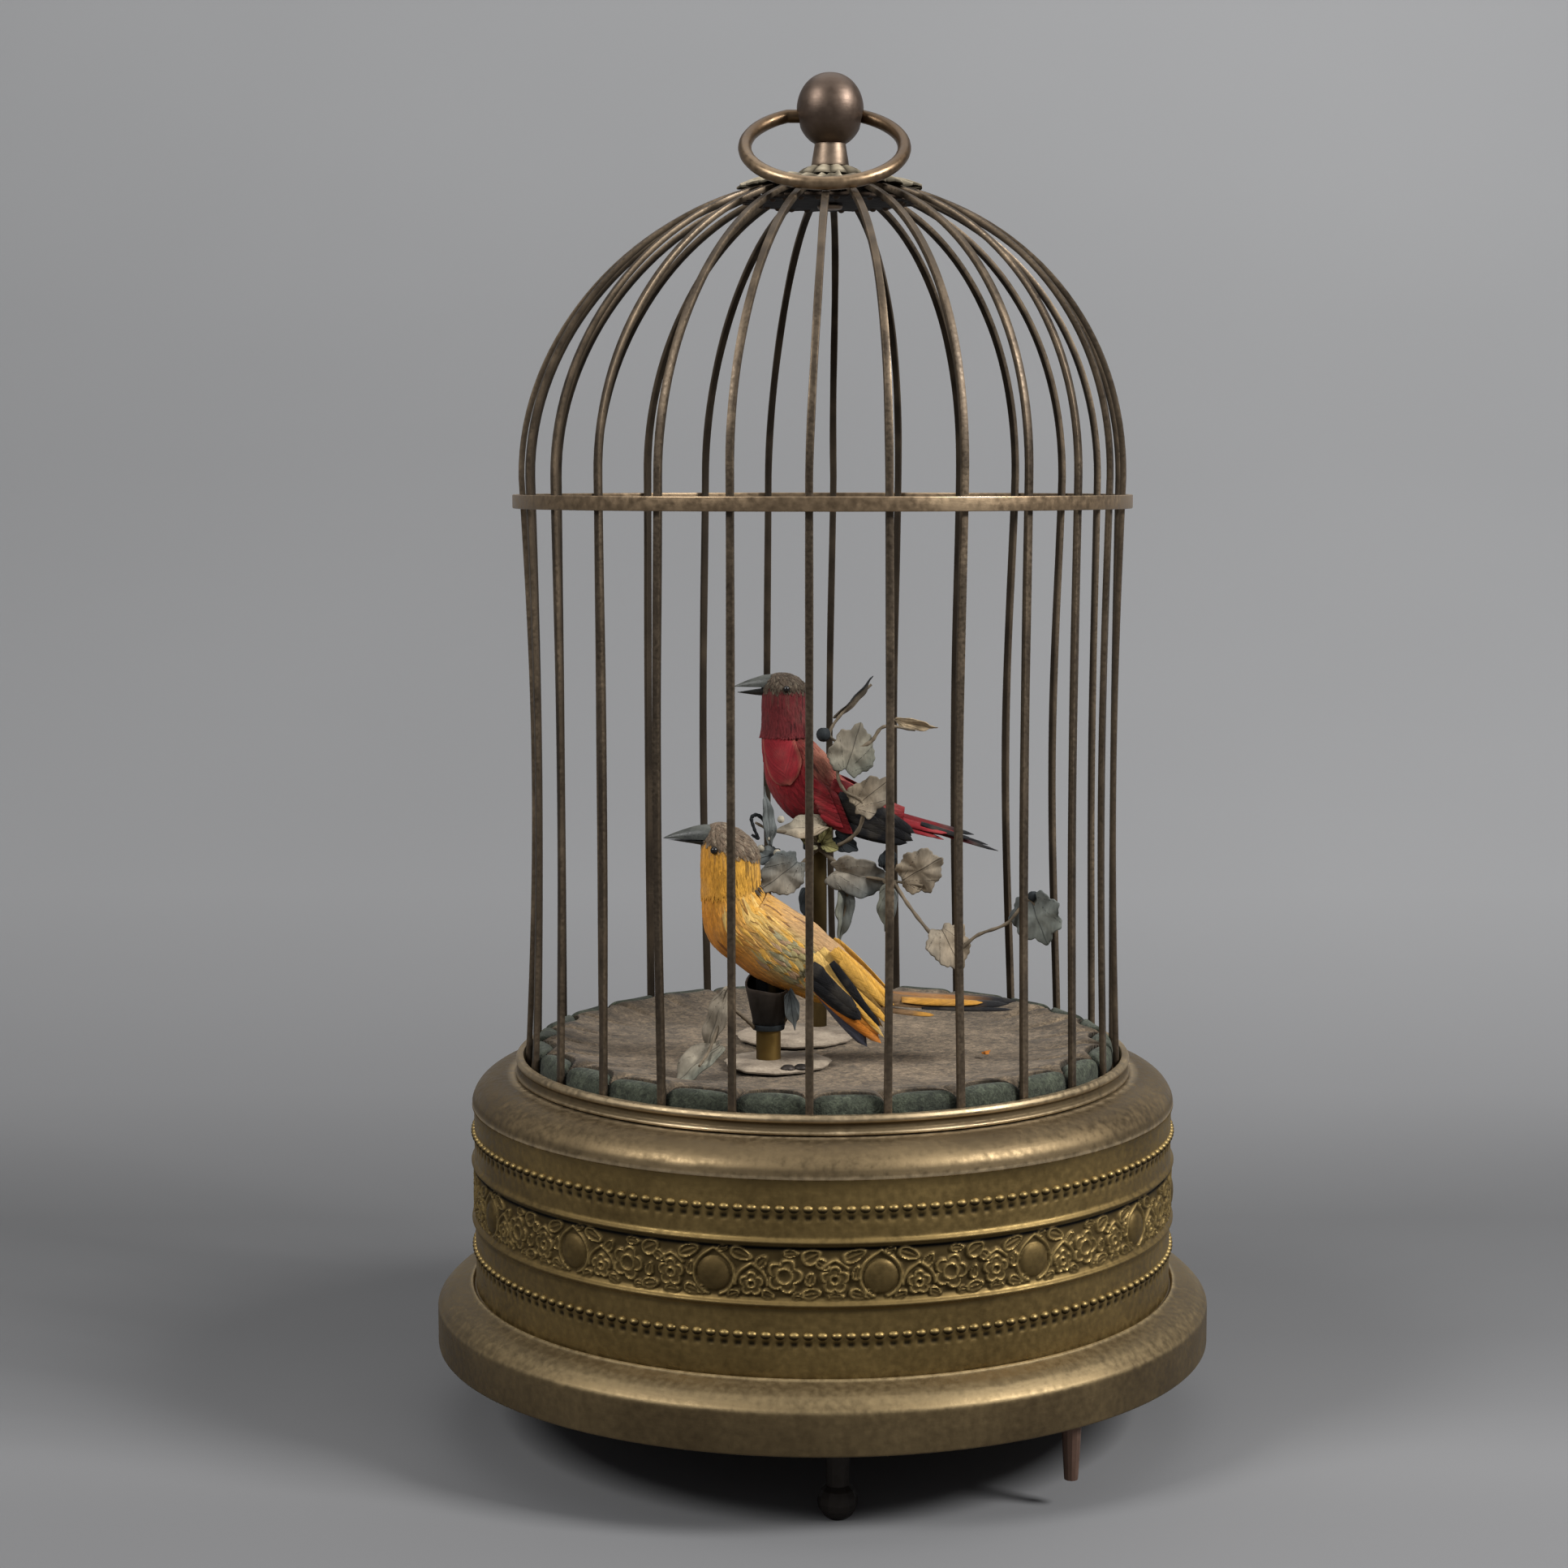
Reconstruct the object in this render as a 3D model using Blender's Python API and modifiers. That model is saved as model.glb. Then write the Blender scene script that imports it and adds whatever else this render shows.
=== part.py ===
"""Singing bird automaton: two feathered birds in a domed brass cage, on a drum base that holds the movement.

Metres, +Z up, the front towards -Y. The origin is on the floor, on the axis of the base.
"""

import math

import bmesh
import bpy
from mathutils import Matrix, Vector

MM = 0.001
GAP = 0.3 * MM  # between touching pieces
RING_SEGMENTS = 36  # round the base and the cage
SMALL_SEGMENTS = 12  # round pins, feet and tubes

# Feet and the underside
FOOT_HEIGHT = 18.7 * MM
FOOT_INSET = 15.3 * MM  # from the flange's edge
FOOT_AZIMUTH = 2.5  # degrees to the right of the front
FOOT_BALL_RADIUS = 3.9 * MM
FOOT_NECK_RADIUS = 2.3 * MM
FOOT_COLLAR_RADIUS = 4.2 * MM
FOOT_FLAT_RADIUS = 2.0 * MM
FOOT_STUD_RADIUS = 1.5 * MM
BOTTOM_PLATE_THICKNESS = 2.0 * MM

# Base shells
SHELL = 0.8 * MM
DRUM_RADIUS = 73.0 * MM
DRUM_HEIGHT = 45.9 * MM
MOULDING_RELIEF = 0.8 * MM
MOULDING_HALF_WIDTH = 0.7 * MM
UPPER_LINE = 11.8 * MM  # below the drum's top edge
LOWER_LINE = 23.7 * MM
UPPER_BEADS = 6.1 * MM
LOWER_BEADS = 30.3 * MM
BEAD_BAND_HALF_WIDTH = 1.1 * MM
FRIEZE_REPEAT = 24.8  # degrees from one fruit to the next
FRIEZE_START = 8.6  # degrees from the front to the first fruit, towards the right
FRIEZE_SEAM = 3.0  # degrees left plain on each side of the seam at the back
FRIEZE_BOSSES = (  # degrees after the fruit, height above the frieze's middle, base radius, relief
    (0.0, -0.65 * MM, 3.4 * MM, 0.8 * MM),
    (5.7, -2.15 * MM, 2.5 * MM, 0.4 * MM),
    (10.6, -0.55 * MM, 3.6 * MM, 0.4 * MM),
    (18.0, -1.15 * MM, 2.9 * MM, 0.4 * MM),
)
BOSS_TOP = 0.6  # the flat top, as a share of the base
BOSS_ROOT = 0.6 * MM  # sunk into the wall
FLANGE_OVERHANG = 8.0 * MM  # beyond the drum
FLANGE_SKIRT = 7.5 * MM
FLANGE_HEIGHT = 14.0 * MM
FLANGE_DROP = 2.0 * MM  # below the bottom plate
SHOULDER_HEIGHT = 5.8 * MM
SHOULDER_TOP_RADIUS = 64.6 * MM
SHOULDER_LEDGE_RADIUS = 56.0 * MM

# Cage
BAR_COUNT = 26
BAR_OUTER_RADIUS = 62.3 * MM
BAR_THICKNESS = 1.2 * MM
BAR_WIDTH = 1.5 * MM
BAR_STRAIGHT = 123.2 * MM
BAR_PHASE = -92.3  # degrees from +X to the first bar
DOME_RISE = 61.0 * MM
CROWN_RADIUS = 18.0 * MM  # where a wire turns back to its second bar
BAND_BELOW_SPRING = 5.0 * MM
BAND_HEIGHT = 2.8 * MM
BAND_THICKNESS = 1.0 * MM
FOOT_RING_HEIGHT = 3.7 * MM
FOOT_RING_THICKNESS = 1.7 * MM

# Crown, finial and carrying ring
CROWN_PLATE_THICKNESS = 0.9 * MM
SCALLOP_DEPTH = 1.5 * MM
COLLAR_RADIUS = 19.2 * MM
COLLAR_THICKNESS = 0.8 * MM
ROSETTE_RADIUS = 6.8 * MM
ROSETTE_HEIGHT = 1.6 * MM
NECK_HEIGHT = 4.0 * MM
NECK_BASE_RADIUS = 3.9 * MM
NECK_TOP_RADIUS = 3.2 * MM
STEM_RADIUS = 1.5 * MM
BALL_RADIUS = 7.0 * MM
RING_WIRE_RADIUS = 1.2 * MM
RING_RADIUS = 16.2 * MM
RING_PIN_HALF_LENGTH = 7.6 * MM
RING_BELOW_BALL_CENTRE = 2.0 * MM
RING_TILT = 30.4  # degrees below the horizontal, at rest on the dome

# Stage
STAGE_THICKNESS = 1.7 * MM
FELT_THICKNESS = 2.6 * MM
DISC_THICKNESS = 0.7 * MM
FRONT_DISC_RADIUS = 11.3 * MM
REAR_DISC_RADIUS = 13.0 * MM
FRONT_DISC_OFFSET = (1.5 * MM, -2.0 * MM)
REAR_DISC_OFFSET = (-5.0 * MM, -8.5 * MM)

# Perches: place, tube and push rod
FRONT_PERCH = (-11.0 * MM, -20.0 * MM)
REAR_PERCH = (-1.0 * MM, 14.0 * MM)
FRONT_PERCH_TOP = 18.3 * MM  # above the felt
REAR_PERCH_TOP = 48.5 * MM
FRONT_TUBE_RADIUS = 2.5 * MM
REAR_TUBE_RADIUS = 1.9 * MM
FRONT_SLEEVE_RADIUS = 4.6 * MM  # at its top
FRONT_SLEEVE_LOW_RADIUS = 3.2 * MM
FRONT_SLEEVE_HEIGHT = 8.5 * MM
FRONT_SLEEVE_BELOW_TOP = 1.5 * MM
BIRD_UNIT = 1.0 * MM
LEAF_UNIT = 1.0 * MM
NECK_SPINDLE_RADIUS = 0.9 * MM
NECK_SPINDLE_LENGTH = 4.0 * MM
PUSH_ROD_INTO_BIRD = 4.5 * MM
SPRAY_CLIP_THICKNESS = 1.2 * MM
SPRAY_CLIP_HEIGHT = 2.0 * MM
REAR_CLIP_ABOVE_FELT = 39.3 * MM
FRONT_CLIP_ABOVE_FELT = 2.0 * MM
TUBE_BORE_RADIUS = 1.2 * MM
TUBE_BELOW_STAGE = 4.0 * MM
PUSH_ROD_RADIUS = 0.8 * MM
PUSH_ROD_LIFT = 2.0 * MM

# Movement
FRAME_RADIUS = 52.0 * MM
FRAME_THICKNESS = 1.5 * MM
FRAME_PILLAR_HEIGHT = 29.0 * MM
PILLAR_CIRCLE = 43.0 * MM
PILLAR_RADIUS = 3.0 * MM
PILLAR_ANGLES = (75, 195, 315)
PIVOT_RADIUS = 1.2 * MM
GEAR_MODULE = 1.8 * MM
BARREL_TEETH = 24
CAM_PINION_TEETH = 8
CAM_WHEEL_TEETH = 24
FLY_PINION_TEETH = 6
BARREL_DIRECTION = 158  # degrees, from the cam arbor
FLY_DIRECTION = -20
CAM_CENTRE_X = 10.0 * MM
BARREL_RADIUS = 18.0 * MM
BARREL_HEIGHT = 14.0 * MM
BARREL_ABOVE_PLATE = 3.0 * MM
GEAR_THICKNESS = 3.0 * MM
SECOND_WHEEL_ABOVE_PLATE = 21.0 * MM
SECOND_WHEEL_THICKNESS = 2.0 * MM
ARBOR_RADIUS = 2.5 * MM
ARBOR_JOURNAL_RADIUS = 1.8 * MM
RATCHET_TEETH = 12
RATCHET_RADIUS = 9.0 * MM
RATCHET_THICKNESS = 1.8 * MM
SPRING_TURNS = 5
SPRING_STRIP = 0.5 * MM
KEY_WIDTH = 26.0 * MM
KEY_WING_HEIGHT = 9.0 * MM
KEY_WING_THICKNESS = 2.0 * MM
KEY_HUB_RADIUS = 3.2 * MM
KEY_CLEARANCE_FROM_FLOOR = 4.0 * MM
CAM_DISC_THICKNESS = 3.0 * MM
CAM_RIM = 2.0 * MM  # beyond the track
CAM_RIDGES = 8
CAM_RIDGE_HEIGHT = 1.0 * MM
FLY_RADIUS = 8.0 * MM
FLY_HEIGHT = 12.0 * MM
LEVER_PIVOT_X = 34.0 * MM
LEVER_HEIGHT = 2.0 * MM
LEVER_WIDTH = 3.0 * MM
LEVER_PIN_RADIUS = 1.0 * MM
LEVER_TIP_LENGTH = 1.0 * MM
BELLOWS_SIZE = (24.0 * MM, 38.0 * MM)
BELLOWS_CENTRE = (-33.0 * MM, 0.0)
BELLOWS_BOARD = 1.8 * MM
BELLOWS_DEPTH = 8.0 * MM
WHISTLE_RADIUS = 4.0 * MM
WHISTLE_BORE_RADIUS = 2.4 * MM
WHISTLE_LENGTH = 30.0 * MM
WHISTLE_Y = -38.0 * MM
WHISTLE_SADDLE = (4.0 * MM, 9.0 * MM, 3.0 * MM)  # start and end from the closed end, half-width
WHISTLE_MOUTH = (10.0 * MM, 12.5 * MM, 1.0 * MM)  # the same for the mouth
PISTON_STEM_RADIUS = 0.9 * MM
BELLOWS_FOLDS = 3
BELLOWS_FOLD_INSETS = (2.6 * MM, 1.2 * MM)  # in turn
PISTON_LENGTH = 14.0 * MM
PISTON_STANDS_OUT = 7.0 * MM

# Start lever, right of the front
START_AZIMUTH = -51.5  # degrees from +X
START_PIVOT_INSET = 24.8 * MM  # from the flange's edge
START_PEG_INSET = 4.3 * MM
START_PEG_ABOVE_FLOOR = 5.4 * MM
START_PEG_TOP_RADIUS = 2.05 * MM
START_PEG_END_RADIUS = 1.35 * MM
START_ARM_THICKNESS = 1.5 * MM
START_ARM_WIDTH = 5.0 * MM

# Radii, places and heights that follow from the sizes above
FLANGE_RADIUS = DRUM_RADIUS + FLANGE_OVERHANG
FOOT_CIRCLE = FLANGE_RADIUS - FOOT_INSET
PLATE_LOW = FOOT_HEIGHT + GAP
PLATE_TOP = PLATE_LOW + BOTTOM_PLATE_THICKNESS
DRUM_LOW = PLATE_TOP + GAP
DRUM_TOP = DRUM_LOW + DRUM_HEIGHT
SHOULDER_LOW = DRUM_TOP + GAP
LEDGE_TOP = SHOULDER_LOW + SHOULDER_HEIGHT
BAR_FOOT = LEDGE_TOP + GAP
SPRING_LINE = BAR_FOOT + BAR_STRAIGHT
STAGE_TOP = BAR_FOOT + STAGE_THICKNESS
FELT_LOW = STAGE_TOP + GAP
FELT_TOP = FELT_LOW + FELT_THICKNESS
DISC_LOW = FELT_TOP + GAP
DISC_TOP = DISC_LOW + DISC_THICKNESS
BAR_INNER_RADIUS = BAR_OUTER_RADIUS - BAR_THICKNESS
FRAME_LOW = PLATE_TOP + GAP + FRAME_PILLAR_HEIGHT
FRAME_TOP = FRAME_LOW + FRAME_THICKNESS

# Materials: colour, roughness, metallic
FINISHES = {
    "aged_brass": ((0.20, 0.15, 0.07), 0.42, 0.9),
    "dull_brass": ((0.14, 0.11, 0.07), 0.5, 0.85),
    "dark_bronze": ((0.09, 0.065, 0.045), 0.45, 0.8),
    "verdigris_brass": ((0.28, 0.26, 0.18), 0.6, 0.6),
    "bright_brass": ((0.45, 0.33, 0.12), 0.35, 1.0),
    "steel": ((0.35, 0.35, 0.36), 0.35, 1.0),
    "dark_iron": ((0.03, 0.025, 0.022), 0.6, 0.7),
    "red_brown_steel": ((0.15, 0.08, 0.06), 0.6, 0.4),
    "dusty_felt": ((0.24, 0.18, 0.14), 0.95, 0.0),
    "pale_card": ((0.42, 0.36, 0.29), 0.85, 0.0),
    "stage_wood": ((0.25, 0.16, 0.09), 0.7, 0.0),
    "yellow_feathers": ((0.58, 0.30, 0.05), 0.8, 0.0),
    "grey_brown_feathers": ((0.16, 0.12, 0.09), 0.85, 0.0),
    "red_feathers": ((0.36, 0.03, 0.03), 0.8, 0.0),
    "horn_grey": ((0.09, 0.095, 0.085), 0.45, 0.0),
    "dusty_leaf": ((0.25, 0.24, 0.20), 0.85, 0.0),
    "leather": ((0.30, 0.22, 0.14), 0.75, 0.0),
}

for old in list(bpy.data.objects):
    bpy.data.objects.remove(old, do_unlink=True)

model = bpy.data.collections.new("singing_bird_automaton")
cutters = bpy.data.collections.new("cutters")
bpy.context.scene.collection.children.link(model)
bpy.context.scene.collection.children.link(cutters)
cutters.hide_render = True


def finish(name):
    """The named finish as a Principled material, made once."""
    if name in bpy.data.materials:
        return bpy.data.materials[name]
    colour, roughness, metallic = FINISHES[name]
    made = bpy.data.materials.new(name)
    made.use_nodes = True
    shader = made.node_tree.nodes["Principled BSDF"]
    shader.inputs["Base Color"].default_value = (*colour, 1)
    shader.inputs["Roughness"].default_value = roughness
    shader.inputs["Metallic"].default_value = metallic
    return made


def added(name, data, finish_name=None):
    """A new object of the model with its finish."""
    made = bpy.data.objects.new(name, data)
    model.objects.link(made)
    if finish_name:
        data.materials.append(finish(finish_name))
    return made


def mesh_of(name, build, finish_name=None):
    """A new object whose mesh comes from bmesh calls in build."""
    mesh = bpy.data.meshes.new(name)
    work = bmesh.new()
    build(work)
    bmesh.ops.recalc_face_normals(work, faces=work.faces)
    work.to_mesh(mesh)
    work.free()
    return added(name, mesh, finish_name)


def smoothed(piece, angle=40):
    """Smooth shading with sharp edges kept."""
    piece.data.shade_smooth()
    piece.data.set_sharp_from_angle(angle=math.radians(angle))
    return piece


def turned(name, profile, finish_name=None, at=(0, 0), segments=SMALL_SEGMENTS):
    """A turned piece: (radius, height) points down its outer side, closed at the axis or into a ring."""
    mesh = bpy.data.meshes.new(name)
    count = len(profile)
    on_axis = profile[0][0] == 0 and profile[-1][0] == 0
    edges = [(i, i + 1) for i in range(count - 1)]
    if not on_axis:
        edges.append((count - 1, 0))
    mesh.from_pydata([(radius, 0, height) for radius, height in profile], edges, [])
    piece = added(name, mesh, finish_name)
    piece.location = (*at, 0)
    screw = piece.modifiers.new("turn", "SCREW")
    screw.axis = "Z"
    screw.steps = segments
    screw.render_steps = segments
    screw.use_merge_vertices = True
    screw.merge_threshold = 0.00001
    screw.use_smooth_shade = True
    return piece


def box(name, low, high, finish_name=None):
    """A block between two corners."""
    low, high = Vector(low), Vector(high)
    size = high - low

    def build(work):
        bmesh.ops.create_cube(work, size=1, matrix=Matrix.Translation((low + high) / 2) @ Matrix.Diagonal((*size, 1)))

    return mesh_of(name, build, finish_name)


def rod(name, start, end, start_radius, end_radius=None, finish_name=None, segments=SMALL_SEGMENTS):
    """A round rod or cone between two points."""
    start, end = Vector(start), Vector(end)
    along = end - start
    turn = along.to_track_quat("Z", "Y").to_matrix().to_4x4()
    placed = Matrix.Translation((start + end) / 2) @ turn

    def build(work):
        bmesh.ops.create_cone(
            work,
            cap_ends=True,
            segments=segments,
            radius1=start_radius,
            radius2=start_radius if end_radius is None else end_radius,
            depth=along.length,
            matrix=placed,
        )

    return mesh_of(name, build, finish_name)


def circle(centre, radius, segments=SMALL_SEGMENTS, phase=0):
    """Points round a circle."""
    turns = [math.radians(phase) + 2 * math.pi * i / segments for i in range(segments)]
    return [(centre[0] + radius * math.cos(t), centre[1] + radius * math.sin(t)) for t in turns]


def plate(name, outlines, low, thickness, finish_name=None):
    """A flat plate: the first outline is its edge, the others are holes."""
    curve = bpy.data.curves.new(name, "CURVE")
    curve.dimensions = "2D"
    curve.fill_mode = "BOTH"
    curve.extrude = thickness / 2
    for outline in outlines:
        spline = curve.splines.new("POLY")
        spline.points.add(len(outline) - 1)
        for point, (x, y) in zip(spline.points, outline):
            point.co = (x, y, 0, 1)
        spline.use_cyclic_u = True
    piece = added(name, curve, finish_name)
    piece.location.z = low + thickness / 2
    return piece


def tube(name, points, radius, finish_name=None, radii=None, resolution=2, closed=False):
    """A round wire along points; radii gives each point its own radius."""
    curve = bpy.data.curves.new(name, "CURVE")
    curve.dimensions = "3D"
    curve.bevel_depth = radius
    curve.bevel_resolution = resolution
    curve.use_fill_caps = True
    spline = curve.splines.new("POLY")
    spline.points.add(len(points) - 1)
    for i, point in enumerate(points):
        spline.points[i].co = (*point, 1)
        if radii:
            spline.points[i].radius = radii[i] / radius
    spline.use_cyclic_u = closed
    return added(name, curve, finish_name)


def as_mesh(piece, scale=(1, 1, 1), about=(0, 0, 0)):
    """The piece as a welded mesh in world coordinates, scaled about a point."""
    bpy.context.view_layer.update()
    graph = bpy.context.evaluated_depsgraph_get()
    mesh = bpy.data.meshes.new_from_object(piece.evaluated_get(graph))
    about = Vector(about)
    stretch = Matrix.Translation(about) @ Matrix.Diagonal((*scale, 1)) @ Matrix.Translation(-about)
    mesh.transform(stretch @ piece.matrix_world)
    work = bmesh.new()
    work.from_mesh(mesh)
    bmesh.ops.remove_doubles(work, verts=work.verts, dist=1e-7)
    bmesh.ops.recalc_face_normals(work, faces=work.faces)
    work.to_mesh(mesh)
    work.free()
    name = piece.name
    bpy.data.objects.remove(piece, do_unlink=True)
    mesh.name = name
    return added(name, mesh)


def combined(name, pieces, operation, finish_name):
    """The first piece joined with, or cut by, the others, as one mesh."""
    first = as_mesh(pieces[0])
    others = [as_mesh(piece) for piece in pieces[1:]]
    for other in others:
        step = first.modifiers.new(operation, "BOOLEAN")
        step.operation = operation
        step.solver = "EXACT"
        step.object = other
    result = as_mesh(first)
    for other in others:
        bpy.data.objects.remove(other, do_unlink=True)
    result.name = name
    result.data.name = name
    if finish_name:
        result.data.materials.clear()
        result.data.materials.append(finish(finish_name))
    return result


def joined(name, pieces, finish_name=None):
    return combined(name, pieces, "UNION", finish_name)


def cut(name, pieces, finish_name=None):
    return combined(name, pieces, "DIFFERENCE", finish_name)


def kept_inside(name, pieces, finish_name=None):
    return combined(name, pieces, "INTERSECT", finish_name)


def drilled(piece, *holes):
    """Cuts vertical holes (x, y, radius, low, high) with cutters that stay in the scene."""
    for x, y, radius, low, high in holes:
        cutter = rod(f"{piece.name}_hole", (x, y, low), (x, y, high), radius)
        model.objects.unlink(cutter)
        cutters.objects.link(cutter)
        cutter.hide_render = True
        cutter.display_type = "WIRE"
        step = piece.modifiers.new("hole", "BOOLEAN")
        step.operation = "DIFFERENCE"
        step.solver = "EXACT"
        step.object = cutter
    return piece


def on_axis(piece, point):
    """Moves the object's origin to a point of its joint axis, with its shape left in place."""
    if piece.type == "CURVE":
        piece = as_mesh(piece)
    piece.data.transform(Matrix.Translation(-Vector(point)) @ piece.matrix_world)
    piece.matrix_world = Matrix.Translation(point)
    return piece


def polar(radius, degrees):
    """The point at an angle from +X."""
    return (radius * math.cos(math.radians(degrees)), radius * math.sin(math.radians(degrees)))


def offset(point, step):
    return (point[0] + step[0], point[1] + step[1])


def dome_height(radius, outer_radius, rise):
    """Height above the spring line of an elliptical dome at a radius."""
    return rise * math.sqrt(1 - (radius / outer_radius) ** 2)


def make_feet():
    """Three turned ball feet with flat soles, screwed into the bottom plate."""
    sole = FOOT_FLAT_RADIUS
    ball = FOOT_BALL_RADIUS
    flat_angle = math.asin(sole / ball)
    centre = ball * math.cos(flat_angle)
    stud_top = PLATE_TOP - GAP
    profile = [(0, stud_top), (FOOT_STUD_RADIUS, stud_top), (FOOT_STUD_RADIUS, FOOT_HEIGHT)]
    profile += [(FOOT_COLLAR_RADIUS, FOOT_HEIGHT), (FOOT_COLLAR_RADIUS, FOOT_HEIGHT - 2.2 * MM)]
    profile += [(FOOT_NECK_RADIUS, FOOT_HEIGHT - 4.2 * MM)]
    neck_angle = math.asin(FOOT_NECK_RADIUS / ball)
    steps = 6
    for i in range(steps + 1):
        angle = neck_angle + (math.pi - flat_angle - neck_angle) * i / steps
        profile.append((ball * math.sin(angle), centre + ball * math.cos(angle)))
    profile.append((0, 0))
    names = ("front_foot", "right_foot", "left_foot")
    for i, name in enumerate(names):
        azimuth = FOOT_AZIMUTH - 90 + 120 * i
        smoothed_turn = turned(name, profile, "dark_iron", polar(FOOT_CIRCLE, azimuth))
        smoothed_turn.rotation_euler.z = math.radians(azimuth)


def make_bottom_plate():
    """The round plate under the base, with the lever stud's, arbor's and feet's holes and the click's stud."""
    edge = FLANGE_RADIUS - SHELL - GAP
    outlines = [circle((0, 0), edge, RING_SEGMENTS)]
    outlines.append(circle(START_PIVOT, START_PIN_RADIUS + GAP, 8))
    outlines.append(circle(BARREL_CENTRE, ARBOR_JOURNAL_RADIUS + GAP))
    for i in range(3):
        centre = polar(FOOT_CIRCLE, FOOT_AZIMUTH - 90 + 120 * i)
        outlines.append(circle(centre, FOOT_STUD_RADIUS + GAP, 8))
    disc = plate("bottom_disc", outlines, PLATE_LOW, BOTTOM_PLATE_THICKNESS)
    x, y = CLICK_CENTRE
    stud = rod("click_stud", (x, y, PLATE_TOP - 0.5 * MM), (x, y, PLATE_TOP + 3 * MM), CLICK_STUD_RADIUS, segments=8)
    joined("bottom_plate", [disc, stud], "stage_wood")


def make_drum():
    """The frieze drum: a rolled brass wall with its bead bands, two raised lines and the bosses between them."""
    outer = DRUM_RADIUS
    profile = [(outer + MOULDING_RELIEF / 2, DRUM_TOP), (outer, DRUM_TOP - 1.4 * MM)]
    bands = [
        (UPPER_BEADS, BEAD_BAND_HALF_WIDTH), (UPPER_LINE, MOULDING_HALF_WIDTH),
        (LOWER_LINE, MOULDING_HALF_WIDTH), (LOWER_BEADS, BEAD_BAND_HALF_WIDTH),
    ]
    for below, half in bands:
        middle = DRUM_TOP - below
        profile += [(outer, middle + half), (outer + MOULDING_RELIEF, middle), (outer, middle - half)]
    profile += [(outer, DRUM_LOW), (outer - SHELL, DRUM_LOW), (outer - SHELL, DRUM_TOP)]
    wall = turned("drum_wall", profile, segments=RING_SEGMENTS)
    smoothed(joined("frieze_drum", [wall, make_frieze()], "aged_brass"), 30)


def make_frieze():
    """The bosses of the frieze, as one mesh: each repeat has a fruit, a small flower, a large one and a star."""
    frieze_middle = DRUM_TOP - (UPPER_LINE + LOWER_LINE) / 2

    def boss(work, degrees, up, base, relief):
        """A cone with a flat top that stands out from the wall."""
        outward = Matrix.Rotation(math.radians(degrees - 90), 4, "Z") @ Matrix.Rotation(math.pi / 2, 4, "Y")
        middle = DRUM_RADIUS + (relief - BOSS_ROOT) / 2
        place = Matrix.Translation((0, 0, frieze_middle + up)) @ outward @ Matrix.Translation((0, 0, middle))
        bmesh.ops.create_cone(
            work, cap_ends=True, segments=8, radius1=base, radius2=base * BOSS_TOP, depth=relief + BOSS_ROOT, matrix=place
        )

    def build(work):
        repeats = math.ceil(180 / FRIEZE_REPEAT)
        for i in range(-repeats, repeats):
            for after, up, base, relief in FRIEZE_BOSSES:
                degrees = FRIEZE_START + FRIEZE_REPEAT * i + after
                if abs(degrees) < 180 - FRIEZE_SEAM:
                    boss(work, degrees, up, base, relief)

    return mesh_of("frieze_bosses", build)


def make_flange():
    """The plinth flange: a spun ring that rolls over from the drum and ends in a skirt."""
    low = PLATE_LOW - FLANGE_DROP
    skirt_top = low + FLANGE_SKIRT
    inner = DRUM_RADIUS + GAP
    reach = FLANGE_RADIUS - inner
    top = low + FLANGE_HEIGHT
    crest = [(0.0, -1.6), (0.30, 0.0), (0.68, -1.8), (0.90, -4.4)]
    outer = [(inner + share * reach, top + drop * MM) for share, drop in crest]
    outer += [(FLANGE_RADIUS - 0.5 * MM, skirt_top + 0.2 * MM), (FLANGE_RADIUS, skirt_top - 0.3 * MM)]
    outer += [(FLANGE_RADIUS, low)]
    inner_side = [(FLANGE_RADIUS - SHELL, low), (FLANGE_RADIUS - 0.5 * MM - SHELL, skirt_top)]
    inner_side += [(inner + share * reach - 0.3 * MM, top + drop * MM - SHELL) for share, drop in crest[:0:-1]]
    inner_side += [(inner, top - 1.6 * MM - SHELL)]
    turned("plinth_flange", outer + inner_side, "aged_brass", segments=RING_SEGMENTS)


def make_shoulder():
    """The domed shoulder over the drum, with the ledge that carries the stage and the cage."""
    lip = DRUM_RADIUS + MOULDING_RELIEF / 2
    reach = lip - SHOULDER_TOP_RADIUS
    steps = 5
    outer = []
    inner = []
    for i in range(steps + 1):
        angle = math.pi / 2 * (1 - i / steps)
        swell = math.cos(angle) ** 0.8
        rise = math.sin(angle) ** 1.1
        outer.append((SHOULDER_TOP_RADIUS + reach * swell, SHOULDER_LOW + SHOULDER_HEIGHT * rise))
        inner_rise = (SHOULDER_HEIGHT - SHELL) * rise
        inner.append((SHOULDER_TOP_RADIUS - SHELL / 2 + (reach - SHELL / 2) * swell, SHOULDER_LOW + inner_rise))
    ledge = [(SHOULDER_LEDGE_RADIUS, LEDGE_TOP - SHELL), (SHOULDER_LEDGE_RADIUS, LEDGE_TOP)]
    turned("base_shoulder", outer + inner[::-1] + ledge, "dull_brass", segments=RING_SEGMENTS)


def ring(name, inner, thickness, low, height, finish_name):
    """A plain ring of rectangular section."""
    outer = inner + thickness
    profile = [(outer, low + height), (outer, low), (inner, low), (inner, low + height)]
    return turned(name, profile, finish_name, segments=RING_SEGMENTS)


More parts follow.
